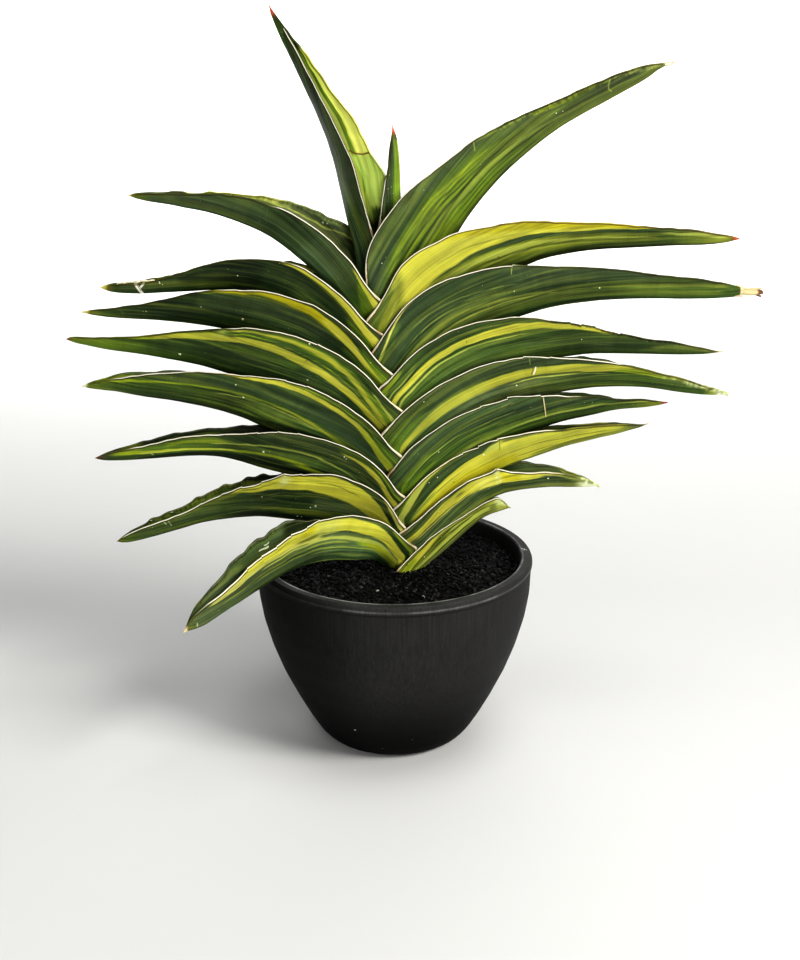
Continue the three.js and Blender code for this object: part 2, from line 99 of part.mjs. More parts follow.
    far: [[179.3, 0.8, 477.2], [172.2, 1.1, 474.8], [161.6, 3, 472.6], [146.1, 4.6, 467.5], [127, 5.6, 459.5], [105.6, 6.5, 449.9], [84.3, 8.6, 440.7], [63.2, 11.1, 430.4], [43.5, 13.1, 417.4], [24.4, 15.1, 403], [5.9, 16.7, 389.2], [-8.5, 17.4, 372.8], [-17.3, 18.2, 355.6], [-18.2, 19, 337.7], [-18.7, 16.5, 326.9], [-18.7, 11.8, 314.8], [-18.7, 7, 302.7]] },
  { name: 'leaf_left_9', side: -1,
    near: [[-77.9, -0.7, 509.1], [-76.2, 0.6, 505.7], [-72.3, 1, 499.9], [-67, -2.2, 490.8], [-60.7, -5.6, 479.7], [-53.8, -7.9, 467.1], [-47.3, -10.7, 454.5], [-40.7, -13.5, 442.1], [-34.3, -14.9, 429.6], [-28.4, -16, 417], [-23.9, -19.3, 403.9], [-20.3, -15.9, 389.9], [-17, -12, 377.2], [-13.9, -11.2, 367.3], [-10.6, -12.1, 357.4], [-7.3, -10.1, 345.8], [-6.1, -7, 334]],
    keel: [[-79.1, 0.1, 508.7], [-78, 0.6, 505], [-75.6, 1.1, 498.4], [-71.5, 1.9, 488.8], [-66.1, 3, 477.4], [-60, 4, 464.5], [-54, 5, 451.5], [-48.5, 6.3, 438.7], [-43.7, 7, 426], [-39.9, 7.7, 413], [-36.9, 9.2, 399.7], [-34, 8.1, 386.1], [-31.1, 6.4, 373.4], [-28.6, 3.6, 364.4], [-26.4, 1.3, 354.6], [-24.7, 0.2, 342.8], [-22.7, 0, 331]],
    far: [[-77.9, 0.9, 509.1], [-75.8, -0, 505.7], [-71.7, -0, 499.9], [-64.8, -0, 490.9], [-55.4, -0, 479.7], [-46.2, -0.1, 467.1], [-36.4, -0.1, 454.3], [-26.7, -0.1, 441.6], [-19.3, -0.1, 428.8], [-13, -0.1, 415.9], [-4.9, -0.1, 402.3], [-6, -0.1, 388.3], [-8.2, 1.6, 376.2], [-10.3, 9.4, 371.2], [-10.6, 12.1, 357.4], [-7.3, 10.1, 345.8], [-6.1, 7, 334]] },
  { name: 'leaf_centre', side: 1,
    near: [[-1.1, -0.6, 436.1], [-0.9, -0.9, 434.4], [-1.1, -0.9, 431.6], [-1.4, -1.5, 427.6], [-1.9, -2, 422.7], [-2.6, -2.5, 417.2], [-3.4, -3, 411.8], [-4.4, -3.5, 406.3], [-5.4, -4.1, 400.9], [-6.4, -4.7, 395.4], [-7.3, -5.3, 390], [-8.1, -5.8, 384.5], [-8.8, -6.2, 379.6], [-9.5, -6.5, 375.4], [-12.1, -5.9, 365.5], [-15.7, -5, 354.1], [-17.4, -4, 342.4]],
    keel: [[-0.1, 0, 436.3], [-0, 0, 434.7], [1, 0, 432.3], [2.2, 0, 428.5], [3, 0, 423.3], [3.6, 0, 417.8], [4, 0, 412.2], [4.2, -0, 406.7], [4.4, 0, 401.2], [4.6, -0, 395.7], [4.7, -0, 389.6], [4.7, 0, 383.5], [4.4, 0, 378.2], [3.9, 0, 373.5], [1.5, 0, 362.7], [-3.3, 0, 350.7], [-9.4, 0, 339.4]],
    far: [[-1.1, 0.7, 436.1], [-0.9, 0.9, 434.3], [-1.2, 0.9, 431.5], [-1.4, 1.5, 427.5], [-1.9, 2, 422.5], [-2.6, 2.5, 416.9], [-3.4, 3, 411.3], [-4.4, 3.5, 405.8], [-5.5, 4.1, 400.2], [-6.5, 4.7, 394.6], [-7.4, 5.3, 389.4], [-8.1, 5.8, 384.2], [-8.8, 6.2, 379.6], [-9.5, 6.5, 375.4], [-12.1, 5.9, 365.5], [-15.7, 5, 354.1], [-17.4, 4, 342.4]] }
];

// ---------- curves ----------
const V = (p) => new THREE.Vector3(p[0], p[1], p[2]);
// Position on a smooth curve through the points, u from 0 to the number of points less one.
function onCurve(pts, u) {
  const n = pts.length;
  const i = Math.min(Math.max(Math.floor(u), 0), n - 2), t = u - i;
  const at = (k) => {
    if (k < 0) return V(pts[0]).multiplyScalar(2).sub(V(pts[1]));
    if (k > n - 1) return V(pts[n - 1]).multiplyScalar(2).sub(V(pts[n - 2]));
    return V(pts[k]);
  };
  const p0 = at(i - 1), p1 = at(i), p2 = at(i + 1), p3 = at(i + 2);
  const c = (a) => 0.5 * (2 * p1[a] + (p2[a] - p0[a]) * t + (2 * p0[a] - 5 * p1[a] + 4 * p2[a] - p3[a]) * t * t + (3 * p1[a] - p0[a] - 3 * p2[a] + p3[a]) * t * t * t);
  return new THREE.Vector3(c('x'), c('y'), c('z'));
}
const smooth = (x) => { const t = Math.min(Math.max(x, 0), 1); return t * t * (3 - 2 * t); };

// ---------- one leaf ----------
// g runs from 0 at the keel to 1 at the edge. The outside bulges like a boat's hull, and the channel inside is nearer a V.
const hull = (g) => Math.pow(1 - Math.pow(1 - g, 1.5), 0.8);
const channel = (g) => 1 - Math.pow(1 - g, 1.5);
const END = 13;                        // the station where the edge goes behind the leaf below it
function frameAt(leaf, u) {
  const near = onCurve(leaf.near, u), far = onCurve(leaf.far, u), keel = onCurve(leaf.keel, u);
  const mid = near.clone().add(far).multiplyScalar(0.5);
  const half = near.distanceTo(far) / 2, depth = mid.distanceTo(keel);
  const toTip = Math.min(u / 4, 1);
  let solid = depth * (0.62 - 0.27 * smooth(toTip));          // keel to the bottom of the channel
  const base = smooth((u - 8) / 4);
  solid = solid * (1 - base) + Math.min(solid, 6.5) * base;
  const sheath = smooth((u - END) / 2.2);
  solid = Math.min(solid * (1 - sheath) + 2.6 * sheath, 0.6 * depth);
  return { near, far, keel, mid, half, depth, solid, base, thick: Math.min(MARGIN_THICK, 0.55 * half) };
}
function outside(f, side, g) {
  const edge = side < 0 ? f.near : f.far;
  return f.keel.clone().add(f.mid.clone().sub(f.keel).multiplyScalar(g)).add(edge.clone().sub(f.mid).multiplyScalar(hull(g)));
}
function inside(f, side, g) {
  const edge = side < 0 ? f.near : f.far;
  const low = f.keel.clone().lerp(f.mid, f.solid / f.depth);
  return low.clone().lerp(f.mid, g).add(edge.clone().sub(f.mid).multiplyScalar((1 - f.thick / f.half) * (channel(g) * (1 - f.base) + hull(g) * f.base)));
}
// How far a point of the leaf is pressed in by the leaves that lie over it.
function pressed(leaf, side, u, g) {
  const d = leaf.press[side < 0 ? 0 : 1];
  const a = Math.min(Math.max(u, 0), leaf.nu - 1) * FINE, b = Math.min(Math.max(g, 0), 1) * GN;
  const i = Math.min(Math.floor(a), d.length - 2), j = Math.min(Math.floor(b), GN - 1), s = a - i, t = b - j;
  return (d[i][j] * (1 - t) + d[i][j + 1] * t) * (1 - s) + (d[i + 1][j] * (1 - t) + d[i + 1][j + 1] * t) * s;
}
const FINE = 4, GN = 8;                // steps between stations, and steps from keel to edge, where leaves are fitted to each other
const SLOPE = 0.32;                    // how quickly a pressed place eases out

// A flat map, seen along Y, of the inner faces of the leaves already placed.
class Cover {
  constructor() { this.cells = new Map(); this.size = 8; }
  add(a, b, c) {
    const s = this.size, x0 = Math.floor(Math.min(a.x, b.x, c.x) / s), x1 = Math.floor(Math.max(a.x, b.x, c.x) / s);
    const z0 = Math.floor(Math.min(a.z, b.z, c.z) / s), z1 = Math.floor(Math.max(a.z, b.z, c.z) / s);
    for (let i = x0; i <= x1; i++) for (let k = z0; k <= z1; k++) {
      const key = i * 4096 + k;
      if (!this.cells.has(key)) this.cells.set(key, []);
      this.cells.get(key).push([a, b, c]);
    }
  }
  // The deepest inner face at (x, z): the greatest Y in front, or the least behind.
  deepest(x, z, sign) {
    const list = this.cells.get(Math.floor(x / this.size) * 4096 + Math.floor(z / this.size));
    let best = null;
    if (!list) return best;
    for (const [a, b, c] of list) {
      const d = (b.x - a.x) * (c.z - a.z) - (c.x - a.x) * (b.z - a.z);
      if (Math.abs(d) < 1e-9) continue;
      const s = ((x - a.x) * (c.z - a.z) - (c.x - a.x) * (z - a.z)) / d, t = ((b.x - a.x) * (z - a.z) - (x - a.x) * (b.z - a.z)) / d;
      if (s < -1e-6 || t < -1e-6 || s + t > 1 + 1e-6) continue;
      const y = a.y + s * (b.y - a.y) + t * (c.y - a.y);
      if (best === null || y * sign > best * sign) best = y;
    }
    return best;
  }
}
const covers = [new Cover(), new Cover()];

function place(leaf) {
  leaf.nu = leaf.near.length;
  const rows = (leaf.nu - 1) * FINE + 1;
  leaf.press = [];
  for (const side of [-1, 1]) {
    const sign = side < 0 ? 1 : -1, cover = covers[side < 0 ? 0 : 1];
    const pos = [], need = [];
    for (let i = 0; i < rows; i++) {
      const f = frameAt(leaf, i / FINE), pr = [], nr = [];
      for (let j = 0; j <= GN; j++) {
        const p = outside(f, side, j / GN);
        const y = cover.deepest(p.x, p.z, sign);
        let n = y === null ? 0 : Math.max(0, (y - p.y) * sign + LEAF_GAP);
        n = Math.min(n, Math.max(0, Math.abs(p.y - f.keel.y) - 0.6 - 0.5 * j / GN));
        pr.push(p); nr.push(n);
      }
      pos.push(pr); need.push(nr);
    }
    const out = need.map((r) => r.slice());
    for (let i = 0; i < rows; i++) for (let j = 0; j <= GN; j++) {
      if (need[i][j] <= 0) continue;
      const reach = Math.ceil(need[i][j] / SLOPE / 2);
      for (let a = Math.max(0, i - reach); a <= Math.min(rows - 1, i + reach); a++) for (let b = 0; b <= GN; b++) {
        const d = Math.hypot(pos[a][b].x - pos[i][j].x, pos[a][b].z - pos[i][j].z);
        const v = need[i][j] - SLOPE * d;
        if (v > out[a][b]) out[a][b] = Math.min(v, Math.max(0, Math.abs(pos[a][b].y - onCurve(leaf.keel, a / FINE).y) - 0.6));
      }
    }
    // two rounds of easing that never lift a point back through the leaf in front of it
    for (let k = 0; k < 2; k++) {
      const q = out.map((r) => r.slice());
      for (let i = 1; i < rows - 1; i++) for (let j = 1; j <= GN; j++) {
        const jn = Math.min(j + 1, GN);
        out[i][j] = Math.max(need[i][j], (q[i][j] * 2 + q[i - 1][j] + q[i + 1][j] + q[i][j - 1] + q[i][jn]) / 6);
      }
    }
    leaf.press.push(out);
  }
  // its inner faces, carried a little past the edge, now cover what comes inside it
  for (const side of [-1, 1]) {
    const sign = side < 0 ? 1 : -1, grid = [];
    for (let i = 0; i < rows; i++) {
      const u = i / FINE, f = frameAt(leaf, u), row = [];
      for (let j = 0; j <= GN + 1; j++) {
        const g = Math.min(j / GN, 1), p = inside(f, side, g), t = f.solid / f.depth;
        p.y += sign * pressed(leaf, side, u, t + (1 - t) * g);
        if (j > GN) p.add(f.mid.clone().sub(f.keel).setY(0).normalize().multiplyScalar(1.3));
        row.push(p);
      }
      grid.push(row);
    }
    const cover = covers[side < 0 ? 0 : 1];
    for (let i = 0; i < rows - 1; i++) for (let j = 0; j <= GN; j++) {
      cover.add(grid[i][j], grid[i + 1][j], grid[i + 1][j + 1]);
      cover.add(grid[i][j], grid[i + 1][j + 1], grid[i][j + 1]);
    }
  }
}

const G_OUT = [0, 0.07, 0.3, 0.64, 1], G_IN = [0, 0.5, 1];
function leafGeometry(leaf, grow = 0) {
  const rings = [];
  for (let u = 0; u < leaf.nu; u++) {
    const f = frameAt(leaf, u), ring = [];
    const put = (p, side, g) => { p.y += (side < 0 ? 1 : -1) * pressed(leaf, side, u, g); ring.push(p); };
    const t = f.solid / f.depth;
    for (let k = G_OUT.length - 1; k >= 0; k--) put(outside(f, -1, G_OUT[k]), -1, G_OUT[k]);
    for (let k = 1; k < G_OUT.length; k++) put(outside(f, 1, G_OUT[k]), 1, G_OUT[k]);
    for (let k = G_IN.length - 1; k > 0; k--) put(inside(f, 1, G_IN[k]), 1, t + (1 - t) * G_IN[k]);
    put(inside(f, -1, 0), -1, 0);
    for (let k = 1; k < G_IN.length; k++) put(inside(f, -1, G_IN[k]), -1, t + (1 - t) * G_IN[k]);
    if (grow > 0) {
      // push each point outward in the plane of the ring
      const c = new THREE.Vector3(); ring.forEach((p) => c.add(p)); c.multiplyScalar(1 / ring.length);
      const n = ring.length, e1 = f.far.clone().sub(f.near).normalize(), e2 = f.mid.clone().sub(f.keel); e2.addScaledVector(e1, -e2.dot(e1)).normalize();
      const flat = ring.map((p) => [p.clone().sub(f.keel).dot(e1), p.clone().sub(f.keel).dot(e2)]);
      const moved = flat.map((q, i) => {
        const a = flat[(i + n - 1) % n], b = flat[(i + 1) % n];
        let n1 = [q[1] - a[1], -(q[0] - a[0])], n2 = [b[1] - q[1], -(b[0] - q[0])];
        const l1 = Math.hypot(...n1) || 1, l2 = Math.hypot(...n2) || 1;
        n1 = [n1[0] / l1, n1[1] / l1]; n2 = [n2[0] / l2, n2[1] / l2];
        let m = [n1[0] + n2[0], n1[1] + n2[1]]; const l = Math.hypot(...m) || 1; m = [m[0] / l, m[1] / l];
        const k = grow / Math.max(0.5, m[0] * n1[0] + m[1] * n1[1]);
        return [m[0] * k, m[1] * k];
      });
      ring.forEach((p, i) => p.addScaledVector(e1, moved[i][0] * leaf.turn).addScaledVector(e2, moved[i][1] * leaf.turn));
    }
    rings.push(ring);
  }
  const n = rings[0].length, verts = [], tris = [];
  rings.forEach((r) => r.forEach((p) => verts.push(p.x, p.y, p.z)));
  const at = (i, j) => i * n + ((j + n) % n);
  for (let i = 0; i < rings.length - 1; i++) for (let j = 0; j < n; j++) {
    tris.push([at(i, j), at(i + 1, j), at(i + 1, j + 1)], [at(i, j), at(i + 1, j + 1), at(i, j + 1)]);
  }
  // the tip comes to a point, and the base is closed flat across the section
  const tipMid = rings[0].reduce((s, p) => s.add(p), new THREE.Vector3()).multiplyScalar(1 / n);
  const dir = tipMid.clone().sub(rings[1].reduce((s, p) => s.add(p), new THREE.Vector3()).multiplyScalar(1 / n)).normalize();
  const apex = tipMid.addScaledVector(dir, 1.4 + grow);
  verts.push(apex.x, apex.y, apex.z);
  const ia = verts.length / 3 - 1;
  for (let j = 0; j < n; j++) tris.push([ia, at(0, j), at(0, j + 1)]);
  const last = rings[rings.length - 1], li = rings.length - 1;
  // the section is a channel: stitch its outer side to its inner side
  const no = 2 * G_OUT.length - 1;      // outer points 0..no-1, inner points no..n-1 run back
  let a = 0, b = n - 1;
  while (a < no - 1 || b > no) {
    if (b === no || (a < no - 1 && last[a + 1].distanceTo(last[b]) < last[a].distanceTo(last[b - 1]))) { tris.push([at(li, a + 1), at(li, a), at(li, b)]); a++; }
    else { tris.push([at(li, b), at(li, b - 1), at(li, a)]); b--; }
  }
  return { verts, tris };
}

// ---------- solids ----------
const wasm = await Module(); wasm.setup();
function volume(verts, tris) {
  let v = 0;
  for (const t of tris) {
    const [a, b, c] = t.map((i) => new THREE.Vector3(verts[3 * i], verts[3 * i + 1], verts[3 * i + 2]));
    v += a.dot(b.cross(c)) / 6;
  }
  return v;
}
function solid({ verts, tris }) {
  const flip = volume(verts, tris) < 0;
  const flat = new Uint32Array(tris.length * 3);
  tris.forEach((t, i) => { flat[3 * i] = t[0]; flat[3 * i + 1] = flip ? t[2] : t[1]; flat[3 * i + 2] = flip ? t[1] : t[2]; });
  return new wasm.Manifold(new wasm.Mesh({ numProp: 3, vertProperties: new Float32Array(verts), triVerts: flat }));
}
function fromGeometry(geometry) {
  const p = geometry.getAttribute('position'), idx = geometry.index, map = new Map(), verts = [], ids = [];
  for (let i = 0; i < p.count; i++) {
    const key = [p.getX(i), p.getY(i), p.getZ(i)].map((v) => Math.round(v * 1e4)).join();
    if (!map.has(key)) { map.set(key, verts.length / 3); verts.push(p.getX(i), p.getY(i), p.getZ(i)); }
    ids.push(map.get(key));
  }
  const tris = [], n = idx ? idx.count : p.count, get = (i) => ids[idx ? idx.getX(i) : i];
  for (let i = 0; i < n; i += 3) {
    const t = [get(i), get(i + 1), get(i + 2)];
    if (t[0] !== t[1] && t[1] !== t[2] && t[0] !== t[2]) tris.push(t);
  }
  return solid({ verts, tris });
}
function lathe(profile) {
  // the lathe turns about Y: stand it up along Z
  const g = new THREE.LatheGeometry(profile.map(([r, z]) => new THREE.Vector2(r, z)), SEGMENTS);
  g.rotateX(Math.PI / 2);
  return fromGeometry(g);
}
// Draw the flat base again with one wide triangle over its middle, in place of a fan of slivers that meet there.
function openBase(body) {
  const m = body.getMesh(), p = m.vertProperties, tris = [], next = new Map();
  const centre = Array.from({ length: p.length / 3 }, (_, i) => i).find((i) => Math.hypot(p[3 * i], p[3 * i + 1], p[3 * i + 2]) < 1e-6);
  for (let k = 0; k < m.triVerts.length; k += 3) {
    const t = [m.triVerts[k], m.triVerts[k + 1], m.triVerts[k + 2]], j = t.indexOf(centre);
    if (j < 0) tris.push(t); else next.set(t[(j + 1) % 3], t[(j + 2) % 3]);
  }
  const ring = [next.keys().next().value];
  while (ring.length < next.size) ring.push(next.get(ring[ring.length - 1]));
  const n = ring.length, a = Math.round(n / 3), b = Math.round((2 * n) / 3);
  const fill = (i, j) => {
    if (j - i < 2) return;
    const h = Math.floor((i + j) / 2);
    tris.push([ring[i], ring[h], ring[j % n]]);
    fill(i, h); fill(h, j);
  };
  tris.push([ring[0], ring[a], ring[b]]);
  fill(0, a); fill(a, b); fill(b, n);
  const used = new Map(), verts = [];
  const kept = tris.map((t) => t.map((i) => {
    if (!used.has(i)) { used.set(i, used.size); verts.push(p[3 * i], p[3 * i + 1], p[3 * i + 2]); }
    return used.get(i);
  }));
  return solid({ verts, tris: kept });
}
function toMesh(name, body, color, roughness, metalness = 0) {
  const m = body.getMesh(), g = new THREE.BufferGeometry();
  g.setAttribute('position', new THREE.BufferAttribute(new Float32Array(m.vertProperties), 3));
  g.setIndex(new THREE.BufferAttribute(new Uint32Array(m.triVerts), 1));
  g.computeVertexNormals();
  const mesh = new THREE.Mesh(g, new THREE.MeshStandardMaterial({ color, roughness, metalness }));
  mesh.name = name;
  return mesh;
}
// The biggest piece of a body, without the chips left by a cut.
function main(body) {
  const m = body.getMesh(), n = m.vertProperties.length / m.numProp, root = Array.from({ length: n }, (_, i) => i);
  const find = (i) => { while (root[i] !== i) { root[i] = root[root[i]]; i = root[i]; } return i; };
  for (let k = 0; k < m.triVerts.length; k += 3) for (const j of [1, 2]) root[find(m.triVerts[k + j])] = find(m.triVerts[k]);
  const groups = new Map();
  for (let k = 0; k < m.triVerts.length; k += 3) {
    const r = find(m.triVerts[k]);
    if (!groups.has(r)) groups.set(r, []);
    groups.get(r).push([m.triVerts[k], m.triVerts[k + 1], m.triVerts[k + 2]]);
  }
  if (groups.size < 2) return body;
  const verts = Array.from(m.vertProperties), size = (g) => Math.abs(volume(verts, g));
  const best = [...groups.values()].reduce((a, b) => (size(b) > size(a) ? b : a));
  const used = new Map(), kept = [];
  for (const t of best) for (const i of t) if (!used.has(i)) { used.set(i, used.size); kept.push(verts[3 * i], verts[3 * i + 1], verts[3 * i + 2]); }
  return solid({ verts: kept, tris: best.map((t) => t.map((i) => used.get(i))) });
}

// Merge the corners that a cut leaves closer together than eps, and turn the long edge of each needle-thin triangle.
function tidy(body, eps) {
  const m = body.getMesh(), p = m.vertProperties, root = Array.from({ length: p.length / 3 }, (_, i) => i);
  const find = (i) => { while (root[i] !== i) { root[i] = root[root[i]]; i = root[i]; } return i; };
  const far = (a, b) => Math.hypot(p[3 * a] - p[3 * b], p[3 * a + 1] - p[3 * b + 1], p[3 * a + 2] - p[3 * b + 2]);
  for (let k = 0; k < m.triVerts.length; k += 3) for (let j = 0; j < 3; j++) {
    const a = m.triVerts[k + j], b = m.triVerts[k + ((j + 1) % 3)];
    if (far(a, b) < eps) root[find(a)] = find(b);
  }
  const seen = new Map();
  for (let k = 0; k < m.triVerts.length; k += 3) {
    const t = [find(m.triVerts[k]), find(m.triVerts[k + 1]), find(m.triVerts[k + 2])];
    if (t[0] === t[1] || t[1] === t[2] || t[0] === t[2]) continue;
    const key = t.slice().sort((a, b) => a - b).join();
    if (seen.has(key)) seen.delete(key); else seen.set(key, t);
  }
  const faces = [...seen.values()];
  const height = (t) => {
    const l = [0, 1, 2].map((j) => far(t[j], t[(j + 1) % 3])), s = (l[0] + l[1] + l[2]) / 2;
    return (2 * Math.sqrt(Math.max(0, s * (s - l[0]) * (s - l[1]) * (s - l[2])))) / Math.max(...l);
  };
  for (let round = 0; round < 6; round++) {
    const edges = new Map();
    faces.forEach((t, i) => { for (let j = 0; j < 3; j++) edges.set(t[j] + '_' + t[(j + 1) % 3], i); });
    let turned = 0;
    const touched = new Set();
    faces.forEach((t, i) => {
      if (touched.has(i) || height(t) > eps / 5) return;
      const l = [0, 1, 2].map((j) => far(t[j], t[(j + 1) % 3])), j = l.indexOf(Math.max(...l));
      const a = t[j], b = t[(j + 1) % 3], c = t[(j + 2) % 3], k = edges.get(b + '_' + a);
      if (k === undefined || touched.has(k)) return;
      const d = faces[k].find((v) => v !== a && v !== b);
      if (edges.has(c + '_' + d) || edges.has(d + '_' + c) || c === d) return;
      const one = [a, d, c], two = [d, b, c];
      if (Math.min(height(one), height(two)) < height(t)) return;
      faces[i] = one; faces[k] = two; touched.add(i); touched.add(k); turned++;
      edges.set(c + '_' + d, i); edges.set(d + '_' + c, k);
    });
    if (!turned) break;
  }
  const used = new Map(), verts = [];
  const tris = faces.map((t) => t.map((i) => {
    if (!used.has(i)) { used.set(i, used.size); verts.push(p[3 * i], p[3 * i + 1], p[3 * i + 2]); }
    return used.get(i);
  }));
  try {
    const out = solid({ verts, tris });
    return out.numTri() > 0 && Math.abs(out.volume() - body.volume()) < 0.01 * body.volume() ? main(out) : body;
  } catch { return body; }
}

const object = new THREE.Group();
object.name = 'potted_snake_plant';

// pot
const pot = openBase(lathe([[0, 0], ...POT_OUTER, ...POT_INNER, [0, POT_FLOOR]]));
object.add(toMesh('pot', pot, 0x26272a, 0.55));

// stem
function stemBody(grow) {
  const verts = [], tris = [], n = 16;
  STEM.forEach(([z, x, rx, ry], i) => {
    for (let k = 0; k < n; k++) { const a = (2 * Math.PI * k) / n; verts.push(x + (rx + grow) * Math.cos(a), (ry + grow) * Math.sin(a), z + (i === 0 ? -grow : 0) + (i === STEM.length - 1 ? grow : 0)); }
  });
  const at = (i, k) => i * n + (k % n);
  for (let i = 0; i < STEM.length - 1; i++) for (let k = 0; k < n; k++) tris.push([at(i, k), at(i, k + 1), at(i + 1, k + 1)], [at(i, k), at(i + 1, k + 1), at(i + 1, k)]);
  for (let k = 1; k < n - 1; k++) tris.push([at(0, 0), at(0, k + 1), at(0, k)], [at(STEM.length - 1, 0), at(STEM.length - 1, k), at(STEM.length - 1, k + 1)]);
  return solid({ verts, tris });
}
const stem = stemBody(0), stemRoom = stemBody(0.35);
object.add(toMesh('stem', stem, 0xb9b37a, 0.6));

// leaves, from the outermost in
const bodies = [];
for (const leaf of LEAVES) {
  leaf.turn = 1;
  place(leaf);
  const shape = leafGeometry(leaf);
  leaf.turn = volume(shape.verts, shape.tris) < 0 ? -1 : 1;
  let body = solid(shape);
  const raw = body;
  const outer = bodies.filter((b) => b.raw.intersect(body).volume() > 0.001);
  for (const b of outer) body = body.subtract(b.grown).subtract(b.raw);
  body = tidy(main(body.subtract(stemRoom)), SHORTEST);
  bodies.push({ leaf, raw, body, grown: solid(leafGeometry(leaf, 0.3)) });
}

for (const { leaf, body } of bodies) {
  object.add(toMesh(leaf.name, body, GREENS[leaf.name] ?? 0x2f4424, 0.42));
}

// grit, filling the pot, with a pocket that the leaf bases stand in
const inner = POT_INNER.filter(([r, z]) => z < SOIL_TOP - 6);
const wallAt = (z) => {
  for (let i = 0; i < POT_INNER.length - 1; i++) {
    const [r0, z0] = POT_INNER[i], [r1, z1] = POT_INNER[i + 1];
    if (z <= z0 && z >= z1) return r0 + ((r1 - r0) * (z0 - z)) / (z0 - z1);
  }
  return POT_INNER[0][0];
};
const grit = lathe([[0, POT_FLOOR + SOIL_GAP], ...inner.slice().reverse().map(([r, z]) => [r - SOIL_GAP, z + SOIL_GAP]), [wallAt(SOIL_TOP) - SOIL_GAP, SOIL_TOP], [0, SOIL_TOP]]);
const pocketProfile = [[0, POCKET_FLOOR], [1, POCKET_FLOOR], [1, SOIL_TOP + 5], [0, SOIL_TOP + 5]];
const pocketGeometry = new THREE.LatheGeometry(pocketProfile.map(([r, z]) => new THREE.Vector2(r, z)), 32);
pocketGeometry.rotateX(Math.PI / 2);
pocketGeometry.scale(POCKET.rx, POCKET.ry, 1);
pocketGeometry.translate(POCKET.x, 0, 0);
const soil = main(grit.subtract(fromGeometry(pocketGeometry)));
object.add(toMesh('soil', soil, 0x1b1b1c, 0.95));

export default object;
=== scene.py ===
import math
import bpy
import numpy as np
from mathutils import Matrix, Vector


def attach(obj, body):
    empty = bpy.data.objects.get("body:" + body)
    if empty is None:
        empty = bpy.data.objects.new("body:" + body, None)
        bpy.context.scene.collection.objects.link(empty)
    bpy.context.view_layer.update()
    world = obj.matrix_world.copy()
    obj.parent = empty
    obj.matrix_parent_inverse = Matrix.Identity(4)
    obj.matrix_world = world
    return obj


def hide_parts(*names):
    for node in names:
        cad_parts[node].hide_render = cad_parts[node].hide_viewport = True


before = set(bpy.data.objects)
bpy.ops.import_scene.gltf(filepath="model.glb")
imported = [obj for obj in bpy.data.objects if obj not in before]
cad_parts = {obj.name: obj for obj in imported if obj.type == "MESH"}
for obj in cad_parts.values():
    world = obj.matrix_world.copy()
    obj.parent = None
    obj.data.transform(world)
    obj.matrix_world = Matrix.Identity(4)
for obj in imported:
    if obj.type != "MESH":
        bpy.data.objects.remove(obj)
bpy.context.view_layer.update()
MM = 0.001

# A snake plant in a plain black pot. Every length below is in millimetres in the row's frame until a mesh is made.
# Each leaf is drawn by three lines from the tip to the stem: its front edge, its keel and its back edge.
# ---------- smooth noise ----------
def lattice(i, j, seed):
    h = (i * 374761393 + j * 668265263 + seed * 974634777) & 0xFFFFFFFF
    h = ((h ^ (h >> 13)) * 1274126177) & 0xFFFFFFFF
    h = ((h ^ (h >> 16)) * 2246822519) & 0xFFFFFFFF
    return ((h ^ (h >> 15)) & 0xFFFFFF) / 0x7FFFFF - 1.0


def noise(x, y, seed):
    """Smooth noise from -1 to 1."""
    i, j = np.floor(x).astype(np.int64), np.floor(y).astype(np.int64)
    s, t = x - i, y - j
    s, t = s * s * (3 - 2 * s), t * t * (3 - 2 * t)
    a = lattice(i, j, seed) * (1 - s) + lattice(i + 1, j, seed) * s
    b = lattice(i, j + 1, seed) * (1 - s) + lattice(i + 1, j + 1, seed) * s
    return a * (1 - t) + b * t


def smooth(x):
    x = np.clip(x, 0, 1)
    return x * x * (3 - 2 * x)


def ramp(x, a, b):
    return smooth((x - a) / (b - a))


